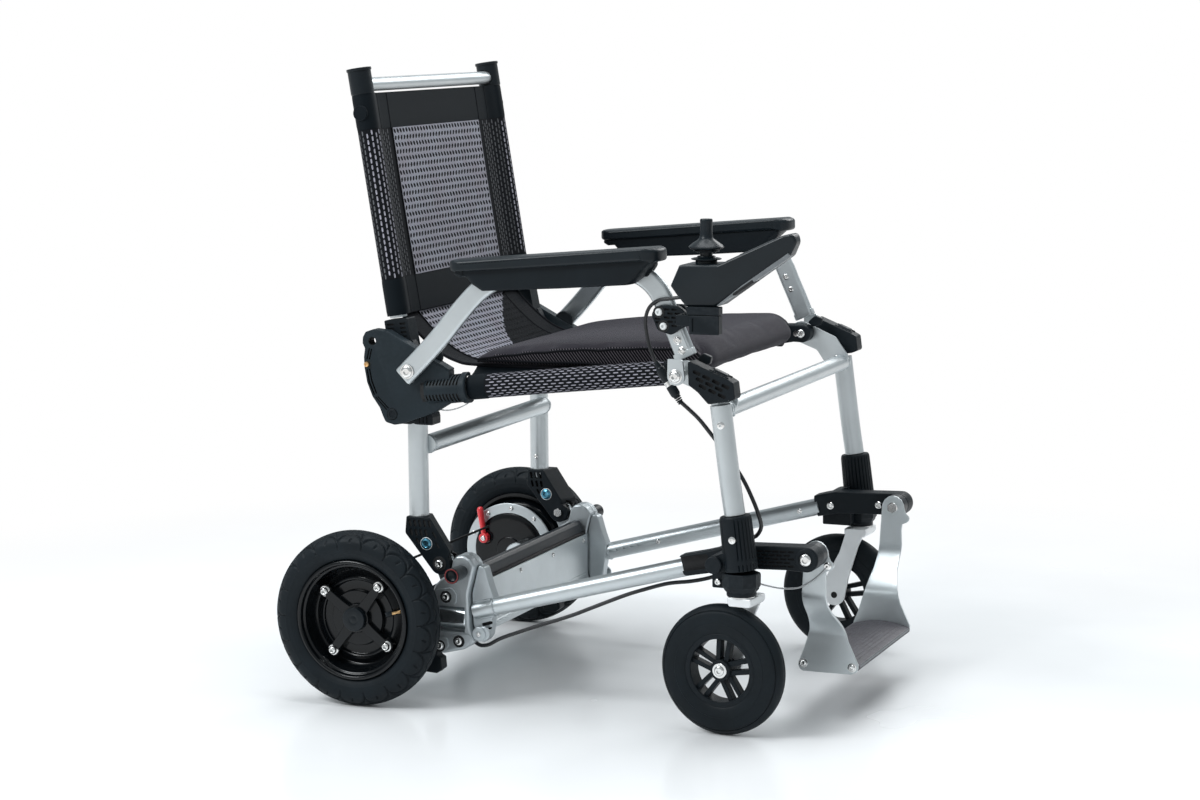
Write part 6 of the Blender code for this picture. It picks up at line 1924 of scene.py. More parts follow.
# --------------------------------------------------------------------- casters
C_TYRE = [(0.0521, -0.0135), (0.0521, 0.0135), (0.0640, 0.0170), (0.0800, 0.0156),
          (0.0875, 0.0108), (CAST_R, 0.0038), (CAST_R, -0.0038), (0.0875, -0.0108),
          (0.0800, -0.0156), (0.0640, -0.0170)]
AX = (SWIVEL[0] - TRAIL, CAST_R)
CU = SWIVEL[1] - OFFSET


def swing(s, p):
    """A caster point, turned about its swivel to the resting yaw."""
    c = Vector((SWIVEL[0], s * SWIVEL[1], 0))
    return c + Matrix.Rotation(YAW[s], 3, 'Z') @ (Vector(p) - c)


def swung(bm, s):
    mirror(bm, s)
    for v in bm.verts:
        v.co = swing(s, v.co)
    return bm


def caster_tyre():
    prof = [(0.0512, -0.0128), (0.0512, 0.0128), (0.0524, 0.0138), (0.0540, 0.0146), (0.0590, 0.0160),
            (0.0640, 0.0167), (0.0660, 0.0170), (0.0664, 0.0166), (0.0700, 0.0167), (0.0760, 0.0162),
            (0.0800, 0.0156), (0.0826, 0.0146), (0.0832, 0.0138), (0.0835, 0.0124), (0.0842, 0.0122), (0.0848, 0.0128), (0.0872, 0.0108), (0.0893, 0.0084),
            (0.0908, 0.0056), (0.0914, 0.0028), (CAST_R, 0.0006), (0.0911, 0.0), (CAST_R, -0.0006),
            (0.0914, -0.0028), (0.0908, -0.0056), (0.0893, -0.0084), (0.0870, -0.0112), (0.0842, -0.0131),
            (0.0838, -0.0137), (0.0800, -0.0154), (0.0760, -0.0162), (0.0700, -0.0167), (0.0664, -0.0166),
            (0.0660, -0.0170), (0.0640, -0.0167), (0.0590, -0.0160), (0.0540, -0.0146), (0.0524, -0.0138)]
    return spin_u(AX, [(r, CU + t) for r, t in prof], 144, closed=True)


def caster_star():
    ring = spin_u(AX, [(0.0440, CU - 0.0128), (0.0440, CU + 0.0118), (0.0447, CU + 0.0132), (0.0462, CU + 0.0138),
                       (0.0505, CU + 0.0138), (0.0517, CU + 0.0130), (0.0517, CU - 0.0130), (0.0505, CU - 0.0138),
                       (0.0450, CU - 0.0138)], 112, closed=True)
    hub = spin_u(AX, [(0.0064, CU - 0.0150), (0.0064, CU + 0.0112), (0.0100, CU + 0.0122), (0.0138, CU + 0.0122),
                      (0.0148, CU + 0.0112), (0.0150, CU - 0.0140), (0.0138, CU - 0.0150)], 56, closed=True)
    bars = []
    for i in range(5):
        a = math.radians(90 + 72 * i - 6)
        c, n = math.cos(a), math.sin(a)
        for off, lean in ((-0.0060, -0.0020), (0.0060, 0.0020)):
            pts = [(0.0125, off - 0.0033), (0.0452, off + lean - 0.0034), (0.0452, off + lean + 0.0034),
                   (0.0125, off + 0.0033)]
            bars.append(slab([(AX[0] + p * c - q * n, AX[1] + p * n + q * c) for p, q in pts],
                             CU - 0.0055, CU + 0.0080, 0.0008, 2))
    return union(ring, hub, *bars)


FORK = ([(0.5680, 0.1974), (0.5560, 0.1600), (0.5440 - 0.0100, 0.1180)]
        + arc(AX, 0.0165, 160, 345, 24) + [(0.5700, 0.1180), (0.5860, 0.1700), (0.5985, 0.1974)])
for s, k in SIDES:
    piece("caster_tyre_detail_" + k, swung(caster_tyre(), s), RUBBER, "caster_" + k, ["caster_tyre_" + k],
          angle=40)
    piece("caster_star_" + k, swung(caster_star(), s), BLACK, "caster_" + k, ["caster_rim_" + k])
    bear = [spin_u(AX, [(0.0066, CU + 0.0118), (0.0096, CU + 0.0118), (0.0098, CU + 0.0126), (0.0094, CU + 0.0129),
                        (0.0066, CU + 0.0127)], 40, closed=True)]
    bear.append(spin_u(AX, [(0.0060, CU + 0.0126), (0.0104, CU + 0.0126), (0.0106, CU + 0.0132), (0.0102, CU + 0.0137),
                            (0.0060, CU + 0.0137)], 48, closed=True))
    piece("caster_bearing_" + k, swung(join(bear), s), STEEL, "caster_" + k)
    leg = slab(rounded(FORK, [0.002, 0.03, 0.02] + [0] * 25 + [0.02, 0.03, 0.002], 5), 0.2478, 0.2532, 0.0010, 3)
    top = slab(rounded([(0.5660, 0.1850), (0.5960, 0.1850), (0.5992, 0.1900), (0.5985, 0.1974),
                        (0.5635, 0.1974), (0.5635, 0.1900)], 0.0020, 3), 0.2478, 0.2985, 0.0022, 3)
    piece("fork_body_" + k, swung(union(top, leg), s), FORK_LIT_SILVER, "swivel_" + k, ["caster_fork_" + k])
    pin = spin_u(AX, [(0.0060, 0.2532), (0.0060, CU + 0.0126)], 36)
    spacer = spin_u(AX, [(0.0090, 0.2532), (0.0090, CU - 0.0156), (0.0062, CU - 0.0156), (0.0062, 0.2532)], 40,
                    closed=True)
    head = cap_screw(AX, CU + 0.0134, CU + 0.0166, 0.0072)
    # a dark disc on the axle's inner end, in the painted recess shade
    back = spin_u(AX, [(0.0, 0.2468), (0.0034, 0.2468), (0.0046, 0.2471), (0.0050, 0.2476), (0.0050, 0.2490)], 36)
    piece("axle_plug_" + k, swung(back, s), RECESS_SHADE, "swivel_" + k)
    piece("caster_axle_" + k, swung(join([pin, spacer, head]), s), STEEL, "swivel_" + k)
    cap = turned((SWIVEL[0], SWIVEL[1], 0.1966), (SWIVEL[0], SWIVEL[1], 1),
                 [(0.0180, 0.0), (0.0192, 0.0008), (0.0192, 0.0018), (0.0160, 0.0020)], 56)
    piece("fork_washer_" + k, swung(cap, s), STEEL, "swivel_" + k)

# ------------------------------------------------------------------- rear legs
for s, k in SIDES:
    tube = cyl((0.0640, 0.2219, 0.2560), (0.0640, 0.2219, 0.4060), TUBE, seg=64)
    ear = slab([(0.0560, 0.4120), (0.0860, 0.4120), (0.0585, 0.4640)] + arc(B, 0.0105, 30, 215, 20),
               0.2095, 0.2185, 0.0008, 2)
    ear = cut(ear, spin_u(B, [(0.0042, 0.2000), (0.0042, 0.2450)], 28))
    scr = cap_screw((0.0640, 0.2898), 0, 0.0022, 0.0036)
    for v in scr.verts:
        v.co.y = 0.2078 - v.co.y
    bmesh.ops.reverse_faces(scr, faces=scr.faces)
    piece("rear_tube_screw_" + k, mirror(scr, s), STEEL, "rear_legs")
    piece("rear_tube_" + k, mirror(join([tube, ear]), s), ALU, "rear_legs")
    blk = slab(rounded([(0.0455, 0.4030), (0.0940, 0.4030), (0.0940, 0.4140), (0.0925, 0.4200),
                        (0.0455, 0.4200)], 0.0016, 3), 0.2074, 0.2364, 0.0016, 3)
    blk = cutd(blk, slots([(0.0740 + 0.0058 * i, 0.4110, 0.0024, 0.0110, 0) for i in range(3)], 0.2345, 0.2400))
    piece("rear_block_" + k, mirror(blk, s), [BLACK, RECESS_SHADE], "rear_legs")
    beads = ring_torus(Vector((0.0747, 0.2098, 0.3720)), Vector((0, 1, 0)), 0.0133, 0.0009, 72, 19, 0.2)
    piece("rear_weld_" + k, mirror(beads, s), CAST, "rear_legs", angle=180)
cross = cyl((0.0747, -0.2150, 0.3720), (0.0747, 0.2150, 0.3720), 0.0133, seg=64)
piece("rear_crossbar", cross, ALU, "rear_legs", ["rear_leg_frame"])

RB = [(0.0510, 0.2690), (0.0486, 0.2445)] + arc(A, 0.0160, 218, 392, 20) + [(0.1205, 0.2196), (0.0876, 0.2690)]
for s, k in SIDES:
    low = slab(rounded(RB, [0.002, 0.006] + [0] * 21 + [0.01, 0.002], 5), 0.2040, 0.2390, 0.0016, 3)
    for v in low.verts:
        if v.co.y < 0.2200 and v.co.z > 0.2120 and v.co.x > 0.0700:
            v.co.x -= 0.0105
    holes = []
    for j, (z0, x0, n_) in enumerate(((0.2598, 0.0570, 5), (0.2462, 0.0588, 4))):
        for i in range(n_):
            holes.append((x0 + 0.0078 * i, z0, 0.0042, 0.0106, 14))
    holes += [(0.0688, 0.2338, 0.0036, 0.0090, 30), (0.0955, 0.2440, 0.0032, 0.0110, 32), (0.1000, 0.2290, 0.0032, 0.0100, 32)]
    win = [slots(holes, 0.2372, 0.2420), slots([h for h in holes if h[0] < 0.0800], 0.2010, 0.2090)]
    low = cutd(low, spin_u(A, [(0.0200, 0.2152), (0.0200, 0.2278)], 48),
              spin_u(A, [(0.0046, 0.2000), (0.0046, 0.2450)], 28),
              spin_u((0.0826, 0.2304), [(0.0096, 0.2384), (0.0096, 0.2420)], 40),
              *win)
    piece("rear_shoe_" + k, mirror(low, s), [BLACK, RECESS_SHADE], "rear_legs", ["rear_bracket_" + k])
    cup = spin_u((0.0826, 0.2304), [(0.0088, 0.2382), (0.0094, 0.2384), (0.0094, 0.2390), (0.0088, 0.2394),
                                    (0.0084, 0.2390)], 44, closed=True)
    cup_in = spin_u((0.0826, 0.2304), [(0.0088, 0.2050), (0.0094, 0.2042), (0.0094, 0.2032), (0.0088, 0.2028),
                                       (0.0084, 0.2034)], 44, closed=True)
    cup = join([cup, cup_in])
    piece("rear_pin_ring_" + k, mirror(cup, s), WHITE, "rear_legs")
    zinc = spin_u((0.0826, 0.2304), [(0.0082, 0.2380), (0.0082, 0.2398), (0.0076, 0.2410), (0.0050, 0.2420),
                                     (0.0040, 0.2414), (0.0, 0.2412)], 44)
    zin = spin_u((0.0826, 0.2304), [(0.0, 0.2014), (0.0040, 0.2012), (0.0050, 0.2008), (0.0076, 0.2020), (0.0082, 0.2030),
                                    (0.0082, 0.2060)], 44)
    zinc = join([zinc, zin])
    piece("rear_pin_" + k, mirror(zinc, s), ZINC, "rear_legs")

# ------------------------------------------------------------------ front legs
LEG_PATH = [(0.5482, 0.2823, 0.4598), (0.5491, 0.2823, 0.4529), (0.5615, 0.2823, 0.3574),
            (0.5686, 0.2823, 0.3102)]
for s, k in SIDES:
    path = smooth_path(LEG_PATH, 0.008)
    tube = sweep([tuple(p) for p in path], [(TUBE * math.cos(2 * math.pi * i / 60),
                                            TUBE * math.sin(2 * math.pi * i / 60)) for i in range(60)])
    plate = slab(rounded(arc(C, 0.0165, 75, 235, 18)
                         + [(0.5149, 0.4720), (0.5368, 0.4400), (0.5600, 0.4410), (0.5660, 0.4640),
                            (0.5450, 0.4930)], [0] * 19 + [0.01, 0.004, 0.002, 0.01, 0.01], 4), 0.2563, 0.2595, 0.0007, 2)
    plate = cut(plate, spin_u(C, [(0.0050, 0.2500), (0.0050, 0.2700)], 30))
    piece("front_tube_" + k, mirror(join([tube, plate]), s), ALU, "front_legs")
    beads = ring_torus(Vector((0.5515, 0.2690, 0.4530)), Vector((0, 1, 0)), 0.0122, 0.0009, 72, 17, 0.2)
    piece("front_weld_" + k, mirror(beads, s), CAST, "front_legs", angle=180)
    riv = []
    for c, u in (((0.5530, 0.4336), 0.2964), ((0.5722, 0.2786), 0.3048)):
        riv.append(spin_u(c, [(0.0050, u - 0.0024), (0.0056, u - 0.0016), (0.0050, u + 0.0006), (0.0034, u + 0.0012),
                              (0.0018, u + 0.0012), (0.0014, u + 0.0002), (0.0, u + 0.0002)], 36))
    riv.append(spin_u((0.5466, 0.4602), [(0.0044, 0.2559), (0.0046, 0.2555), (0.0036, 0.2546), (0.0, 0.2544)], 28))
    piece("leg_rivets_" + k, mirror(join(riv), s), STEEL, "front_legs")
cross = cyl((0.5515, -0.2760, 0.4530), (0.5515, 0.2760, 0.4530), 0.0122, seg=64)
piece("front_crossbar", cross, ALU, "front_legs", ["front_leg_frame"])


def sleeve():
    """Ribbed sleeve on the lower end of the leg."""
    p0, p1 = Vector((0.5690, 0.2823, 0.3090)), Vector((0.5775, 0.2823, 0.2345))
    d = (p1 - p0).normalized()
    n = (p1 - p0).length
    bm = bmesh.new()
    a, b = frame_for(d)
    seg, rows = 288, []
    prof = [(0.0190, 0.0, 0), (0.0203, 0.0, 0), (0.0212, 0.0012, 0), (0.0218, 0.0030, 0.3), (0.0222, 0.0060, 1.0)]
    prof += [(0.0222 + 0.0010 * i / 10, 0.0060 + 0.0520 * i / 10, 1.0) for i in range(1, 11)]
    prof += [(0.0233, 0.0600, 0.2), (0.0234, 0.0620, 0.0), (0.0234, 0.0650, 0.0), (0.0235, 0.0665, 1.0),
             (0.0235, 0.0740, 1.0), (0.0233, n, 0.0), (0.0190, n, 0.0)]
    for r, t, k in prof:
        c = p0 + d * t
        row = []
        for q in range(seg):
            th = 2 * math.pi * q / seg
            o = a * math.cos(th) + b * math.sin(th)
            # ribs on the front and rear thirds; the outer face between stays plain
            face = o.y
            w = 1.0 if o.x > 0.08 or o.x < -0.62 or face < -0.3 else 0.0
            g = max(0.0, math.cos(26 * th)) ** 2
            row.append(bm.verts.new(c + o * (r - 0.0016 * k * w * g)))
        rows.append(row)
    for ra, rb in zip(rows[:-1], rows[1:]):
        for i in range(seg):
            j = (i + 1) % seg
            bm.faces.new((ra[i], ra[j], rb[j], rb[i]))
    bm.faces.new(rows[0])
    bm.faces.new(list(reversed(rows[-1])))
    bmesh.ops.recalc_face_normals(bm, faces=bm.faces)
    return bm


for s, k in SIDES:
    piece("sleeve_ribs_" + k, mirror(sleeve(), s), BLACK, "front_legs", ["leg_sleeve_" + k],
          angle=28)
    kn = spin_u(D, [(0.0112, 0.2426), (0.0122, 0.2434), (0.0122, 0.2980), (0.0114, 0.2994), (0.0048, 0.2994),
                    (0.0048, 0.2426)], 56, closed=True)
    web = slab([(0.5439, 0.2538), (0.5680, 0.2620), (0.5700, 0.2350), (0.5439, 0.2296)], 0.2520, 0.2960, 0.0012, 2)
    kc = spin_u(D, [(0.0116, 0.2992), (0.0120, 0.3000), (0.0118, 0.3026), (0.0108, 0.3036), (0.0, 0.3038)], 56)
    piece("sleeve_knuckle_" + k, mirror(join([kn, web, kc]), s), BLACK, "front_legs")

BRACKET = [(0.5068, 0.5211), (0.5614, 0.4987), (0.5723, 0.4926), (0.5750, 0.4708),
           (0.5651, 0.4669), (0.5362, 0.4621), (0.5216, 0.4775), (0.5080, 0.4873)]
SLOPE = Vector((0.9250, 0, -0.3800))
UP = Vector((0.3800, 0, 0.9250))
BUTTON = (0.5504, 0.5032)


def along(c, a, w, n, u0, u1, e=0.0):
    """A block on the bracket's sloping top: half length a, from depth n0 to n1."""
    pts = []
    for p, q in ((-a, n[0]), (a, n[0]), (a, n[1]), (-a, n[1])):
        v = Vector((c[0], 0, c[1])) + SLOPE * p + UP * q
        pts.append((v.x, v.z))
    pts = rounded(pts, w, 4) if w else pts
    return slab(pts, u0, u1, e, 3) if e else prism(pts, u0, u1)


for s, k in SIDES:
    body = slab(rounded(BRACKET, [0.003, 0.003, 0.004, 0.004, 0.003, 0.004, 0.006, 0.003], 4), 0.2738, 0.3000,
                0.0014, 3)
    rows = []
    for j in range(5):
        for i in range(5):
            t = -0.0180 + i * 0.0148 + (0.0074 if j % 2 else 0.0)
            q = -0.0075 - j * 0.0070
            v = Vector((0.5260, 0, 0.5100)) + SLOPE * t + UP * q
            # keep each slot inside the bracket's border
            ok = True
            for e in (-0.0056, 0.0056):
                for f in (-0.0020, 0.0020):
                    c = v + SLOPE * e + UP * f
                    m = (c.x, c.z)
                    inside = all((b[0] - a[0]) * (m[1] - a[1]) - (b[1] - a[1]) * (m[0] - a[0]) < -0.0035 *
                                 math.hypot(b[0] - a[0], b[1] - a[1]) * 0.9
                                 for a, b in zip(BRACKET, BRACKET[1:] + BRACKET[:1])
                                 if (a, b) != (BRACKET[5], BRACKET[6]))
                    ok = ok and inside
            if ok:
                rows.append((v.x, v.z, 0.0118, 0.0048, -22.3))
    body = cut(body, box(0.5330, 0.5620, 0.2660, 0.2765, 0.4500, 0.4660),
               along(BUTTON, 0.0120, 0, (-0.0090, 0.0100), 0.2802, 0.2936))
    if rows:
        body = cutd(body, slots(rows, 0.2960, 0.3050))
    piece("latch_housing_" + k, mirror(body, s), [BLACK, RECESS_SHADE], "front_legs", ["leg_bracket_" + k])
    # a raised lip round the button
    rim_ = [along(BUTTON, 0.0148, 0.002, (-0.0004, 0.0012), 0.2774, 0.2797, 0.0005),
            along(BUTTON, 0.0148, 0.002, (-0.0004, 0.0012), 0.2941, 0.2964, 0.0005)]
    piece("latch_lips_" + k, mirror(join(rim_), s), BLACK, "front_legs")
    btn = along(BUTTON, 0.0116, 0.0035, (-0.0048, 0.0034), 0.2808, 0.2930, 0.0024)
    piece("latch_cap_" + k, mirror(btn, s), SOFT, "latch_" + k, ["latch_button_" + k])
    cushion_stop = slab(rounded([(0.5020, 0.5150), (0.5140, 0.5260), (0.5260, 0.5215), (0.5240, 0.5120),
                                 (0.5100, 0.5080)], 0.003, 4), 0.2488, 0.2570, 0.0014, 3)
    piece("latch_stop_" + k, mirror(cushion_stop, s), SMOOTH, "front_legs")

# ------------------------------------------------------------------ controller
CLAMP = [(0.4468, 0.5800), (0.4560, 0.5925), (0.4860, 0.5925), (0.5060, 0.5780), (0.5060, 0.5690),
         (0.4880, 0.5600), (0.4760, 0.5520), (0.4560, 0.5580)]
outer = slab(rounded(CLAMP, [0.008, 0.012, 0.008, 0.006, 0.002, 0.004, 0.006, 0.008], 5), 0.2718, 0.2800, 0.0012, 3)
bricks = []
for j, (z, xs_) in enumerate(((0.5872, (0.4700, 0.4806)), (0.5816, (0.4748, 0.4854)),
                              (0.5760, (0.4700, 0.4806, 0.4912)), (0.5704, (0.4748, 0.4854)),
                              (0.5648, (0.4700, 0.4806)), (0.5740, (0.4560,)), (0.5690, (0.4575,)))):
    for x in xs_:
        bricks.append((x, z, 0.0082, 0.0030, -3))
outer = cutd(outer, slots(bricks, 0.2772, 0.2840))
inner = slab(rounded(CLAMP, [0.008, 0.012, 0.008, 0.006, 0.002, 0.004, 0.006, 0.008], 5), 0.2530, 0.2596, 0.0012, 3)
for v in inner.verts:
    if v.co.x > 0.4930:
        v.co.x = 0.4930 + (v.co.x - 0.4930) * 0.2
arm = slab(rounded([(0.4950, 0.5690), (0.5190, 0.5690), (0.5190, 0.5840), (0.4950, 0.5840)], 0.002, 3),
           0.2722, 0.3140, 0.0012, 2)
fins = [slab([(0.5020 + 0.0042 * i, 0.5684), (0.5042 + 0.0042 * i, 0.5684), (0.5042 + 0.0042 * i, 0.5850),
              (0.5020 + 0.0042 * i, 0.5850)], 0.2740, 0.3080, 0.0004, 1) for i in range(3)]
piece("clamp_outer", mirror(join([outer, arm] + fins), -1), [BLACK, RECESS_SHADE], "armrest_R", ["controller_clamp"])
piece("clamp_inner", mirror(inner, -1), BLACK, "armrest_R")
lowblk = slab(rounded([(0.5150, 0.5585), (0.5578, 0.5585), (0.5578, 0.5842), (0.5150, 0.5842)], 0.0016, 3),
              0.3015, 0.3162, 0.0014, 3)
topblk = slab(rounded([(0.5110, 0.5848), (0.5574, 0.5848), (0.5574, 0.5958), (0.5110, 0.5958)], 0.0012, 3),
              0.2990, 0.3154, 0.0010, 2)
lowblk = cut(lowblk, slots([(0.5205, 0.5714, 0.0024, 0.0180, 0)], 0.3146, 0.3200))
piece("controller_mount", mirror(join([lowblk, topblk]), -1), BLACK, "armrest_R")
cb, cr = [], []
for c in ((0.4585, 0.5832), (0.4651, 0.5640)):
    r1, h1 = ringed_screw(c, 0.2796, 0.0056, 1, 0.0034)
    cb.append(h1)
    cr.append(r1)
    cb.append(spin_u(c, [(0.0024, 0.2560), (0.0024, 0.2790)], 20))
piece("clamp_bolts", mirror(join(cb), -1), WHITE, "armrest_R")
# painted shade: the dark rings round the clamp's bolt heads
piece("clamp_rings", mirror(join(cr), -1), RECESS_SHADE, "armrest_R")

HOUSING = [(0.5008, 0.6515), (0.5553, 0.6529), (0.6452, 0.6940), (0.6604, 0.6970),
           (0.6651, 0.6852), (0.6549, 0.6665), (0.5499, 0.5954), (0.5086, 0.5954),
           (0.4879, 0.6231)]
RISE = Vector((0.6452 - 0.5553, 0, 0.6940 - 0.6529)).normalized()
RISE_N = Vector((-RISE.z, 0, RISE.x))


def panel_pin(f, u, n0, n1, r, seg=40, edge=0.0):
    c = Vector((0.5553, u, 0.6529)) + RISE * f
    return cyl(c + RISE_N * n0, c + RISE_N * n1, r, seg=seg, edge=edge)


def housing():
    """Faceted shell whose outer face falls away below a line that rises to the front."""
    bm = slab(rounded(HOUSING, [0.003, 0.004, 0.008, 0.007, 0.009, 0.010, 0.004, 0.003, 0.003], 5),
              0.2560, 0.3162, 0.0042, 4)
    p0, q = Vector((0.5022, 0, 0.6164)), Vector((0.0314, 0, 0.0206)).normalized()
    n = Vector((q.z, 0, -q.x))
    bmesh.ops.bisect_plane(bm, geom=bm.verts[:] + bm.edges[:] + bm.faces[:], plane_co=p0, plane_no=n, dist=1e-6)
    for v in bm.verts:
        d = (v.co - p0).dot(n)
        if v.co.y > 0.3100 and d > 0:
            v.co.y -= 0.16 * d
        # the arm narrows from its inner side towards the front
        f = max(0.0, (v.co.x - 0.5850) / 0.0800)
        if v.co.y < 0.2900:
            v.co.y += 0.0330 * f * f
    return bm


house = housing()
house = cut(house, panel_pin(0.030, 0.2860, -0.0050, 0.0100, 0.0062),
            turned((STICK[0], STICK[1], 0.6440), (STICK[0], STICK[1], 1), [(0.0150, 0.0), (0.0150, 0.0120)], 56))
piece("controller_shell", mirror(house, -1), SOFT, "armrest_R", ["controller_housing"], angle=20)
# silver strip along the lower front edge, with a socket let into it; the socket is a slab in the painted recess shade
e0, e1 = Vector((0.5540, 0, 0.5982)), Vector((0.6560, 0, 0.6672))
ed = (e1 - e0).normalized()
en = Vector((ed.z, 0, -ed.x))
strip_pts = [e0 + en * 0.0012, e1 + en * 0.0012, e1 - en * 0.0046, e0.lerp(e1, 0.35) - en * 0.0036, e0 - en * 0.0004]
strip = slab([(p.x, p.z) for p in strip_pts], 0.2980, 0.3128, 0.0006, 1)
piece("controller_strip", mirror(strip, -1), GREY, "armrest_R")
q0, q1 = e0.lerp(e1, 0.22), e0.lerp(e1, 0.50)
sock = [q0 + en * 0.0018, q1 + en * 0.0018, q1 - en * 0.0022, q0 - en * 0.0016]
piece("controller_socket", mirror(slab(rounded([(p.x, p.z) for p in sock], 0.0008, 2), 0.2900, 0.3132, 0.0004, 1), -1),
      RECESS_SHADE, "armrest_R")
# panel frame, level lights and the key's surround
frame_ = []
c0 = Vector((0.5553, 0, 0.6529))
for f0, f1, u0, u1 in ((0.012, 0.086, 0.2640, 0.2652), (0.012, 0.086, 0.3068, 0.3080), (0.012, 0.0132, 0.2640, 0.3080),
                       (0.0848, 0.086, 0.2640, 0.3080)):
    a_, b_ = c0 + RISE * f0, c0 + RISE * f1
    frame_.append(prism([(a_.x - RISE_N.x * 0.0006, a_.z - RISE_N.z * 0.0006), (b_.x - RISE_N.x * 0.0006, b_.z - RISE_N.z * 0.0006),
                         (b_.x + RISE_N.x * 0.0006, b_.z + RISE_N.z * 0.0006), (a_.x + RISE_N.x * 0.0006, a_.z + RISE_N.z * 0.0006)], u0, u1))
lamps_ = [panel_pin(0.060, 0.2740 + 0.0060 * i, -0.0004, 0.0009, 0.0016, 20) for i in range(5)]
piece("panel_frame", mirror(join(frame_), -1), GREY, "armrest_R")
piece("panel_lamps", mirror(join(lamps_), -1), WHITE, "armrest_R")
a_ = c0 + RISE * 0.030 + Vector((0, 0.2860, 0))
seat_ = turned(a_ - RISE_N * 0.0002, a_ + RISE_N, [(0.0062, 0.0), (0.0080, 0.0), (0.0080, 0.0008),
                                                   (0.0072, 0.0012), (0.0062, 0.0008)], 44, closed=True)
piece("key_ring", mirror(seat_, -1), DARKSTEEL, "armrest_R")
key = panel_pin(0.030, 0.2860, -0.0033, 0.0022, 0.0057, 44, 0.0008)
piece("power_key", mirror(key, -1), SOFT, "power_button", ["power_button"])

sx, su, sz = STICK
bell = turned((sx, su, 0.6496), (sx, su, 1),
              [(0.0148, 0.0), (0.0148, 0.0060), (0.0142, 0.0068), (0.0190, 0.0076), (0.0206, 0.0082),
               (0.0206, 0.0092), (0.0180, 0.0100), (0.0138, 0.0106), (0.0124, 0.0116), (0.0120, 0.0126), (0.0112, 0.0127),
               (0.0110, 0.0120), (0.0110, 0.0050), (0.0110, 0.0)],
              64, closed=True)
piece("stick_bellows", mirror(bell, -1), SOFT, "armrest_R")
gim = turned((sx, su, sz - 0.0055), (sx, su, sz + 1), [(0.0045, 0.0), (0.0062, 0.003), (0.0062, 0.0062), (0.0035, 0.0085)], 32)
piece("stick_gimbal", mirror(gim, -1), STEEL, "gimbal", ["joystick_gimbal"])
knob = turned((sx, su, sz + 0.0057), (sx, su, sz + 1),
              [(0.0040, 0.0), (0.0040, 0.0016), (0.0150, 0.0020), (0.0176, 0.0028), (0.0176, 0.0038), (0.0150, 0.0046),
               (0.0150, 0.0052), (0.0190, 0.0058), (0.0222, 0.0068), (0.0236, 0.0078), (0.0238, 0.0090), (0.0228, 0.0104),
               (0.0180, 0.0142), (0.0132, 0.0172), (0.0104, 0.0196), (0.0090, 0.0226), (0.0084, 0.0266), (0.0082, 0.0330),
               (0.0084, 0.0400), (0.0086, 0.0436), (0.0084, 0.0456), (0.0077, 0.0464), (0.0, 0.0464)], 72)
neck = turned((sx, su, 0.6590), (sx, su, 1), [(0.0068, 0.0), (0.0084, 0.0), (0.0086, 0.0080), (0.0068, 0.0080)], 40,
              closed=True)
piece("stick_knob", mirror(join([knob, neck]), -1), SOFT, "stick", ["joystick_knob"], angle=40)

# -------------------------------------------------------------------- footrest
EDGES = [
    (0.0640, 0.6190, 0.6900), (0.0665, 0.6145, 0.6965), (0.0720, 0.6120, 0.7000),
    (0.0780, 0.6128, 0.7003), (0.0860, 0.6160, 0.6965), (0.0970, 0.6206, 0.6915),
    (0.1100, 0.6245, 0.6855), (0.1250, 0.6290, 0.6812), (0.1400, 0.6320, 0.6765),
    (0.1550, 0.6345, 0.6715), (0.1700, 0.6350, 0.6700), (0.1900, 0.6358, 0.6707),
    (0.2100, 0.6370, 0.6700), (0.2205, 0.6376, 0.6712), (0.2232, 0.6380, 0.6778),
    (0.2262, 0.6382, 0.6812), (0.2293, 0.6383, 0.6820), (0.2326, 0.6384, 0.6808), (0.2358, 0.6386, 0.6772),
    (0.2420, 0.6390, 0.6742),
    (0.2500, 0.6398, 0.6732), (0.2570, 0.6434, 0.6696), (0.2615, 0.6490, 0.6640),
    (0.2630, 0.6545, 0.6585)]


def joggle(z):
    t = min(1.0, max(0.0, (z - 0.118) / (0.190 - 0.118)))
    return 0.1335 + (0.1920 - 0.1335) * t * t * (3 - 2 * t)


def side_plate():
    fine = []
    for (z0, a0, b0), (z1, a1, b1) in zip(EDGES[:-1], EDGES[1:]):
        n = max(1, int((z1 - z0) / 0.0035))
        for i in range(n):
            f = i / n
            fine.append((z0 + (z1 - z0) * f, a0 + (a1 - a0) * f, b0 + (b1 - b0) * f))
    fine.append(EDGES[-1])
    bm = bmesh.new()
    rows = []
    for z, xr, xf in fine:
        du = (joggle(z + 0.002) - joggle(z - 0.002)) / 0.004
        n = Vector((0, 1, -du)).normalized() * 0.0020
        u = joggle(z)
        row = []
        cols = 6
        ring_ = [(xr + 0.0006, -1.0), (xr + 0.0002, -0.85), (xr, -0.5), (xr, 0.5), (xr + 0.0002, 0.85), (xr + 0.0006, 1.0)]
        ring_ += [(xr + (xf - xr) * q / cols, 1.0) for q in range(1, cols)]
        ring_ += [(xf - 0.0006, 1.0), (xf - 0.0002, 0.85), (xf, 0.5), (xf, -0.5), (xf - 0.0002, -0.85), (xf - 0.0006, -1.0)]
        ring_ += [(xf + (xr - xf) * q / cols, -1.0) for q in range(1, cols)]
        for x, sgn in ring_:
            row.append(bm.verts.new((x, u + sgn * n.y, z + sgn * n.z)))
        rows.append(row)
    m = len(rows[0])
    for ra, rb in zip(rows[:-1], rows[1:]):
        for k in range(m):
            j = (k + 1) % m
            bm.faces.new((ra[k], ra[j], rb[j], rb[k]))
    bm.faces.new(rows[0])
    bm.faces.new(list(reversed(rows[-1])))
    bmesh.ops.recalc_face_normals(bm, faces=bm.faces)
    return cut(bm, spin_u(F, [(0.0050, 0.1800), (0.0050, 0.2000)], 32))


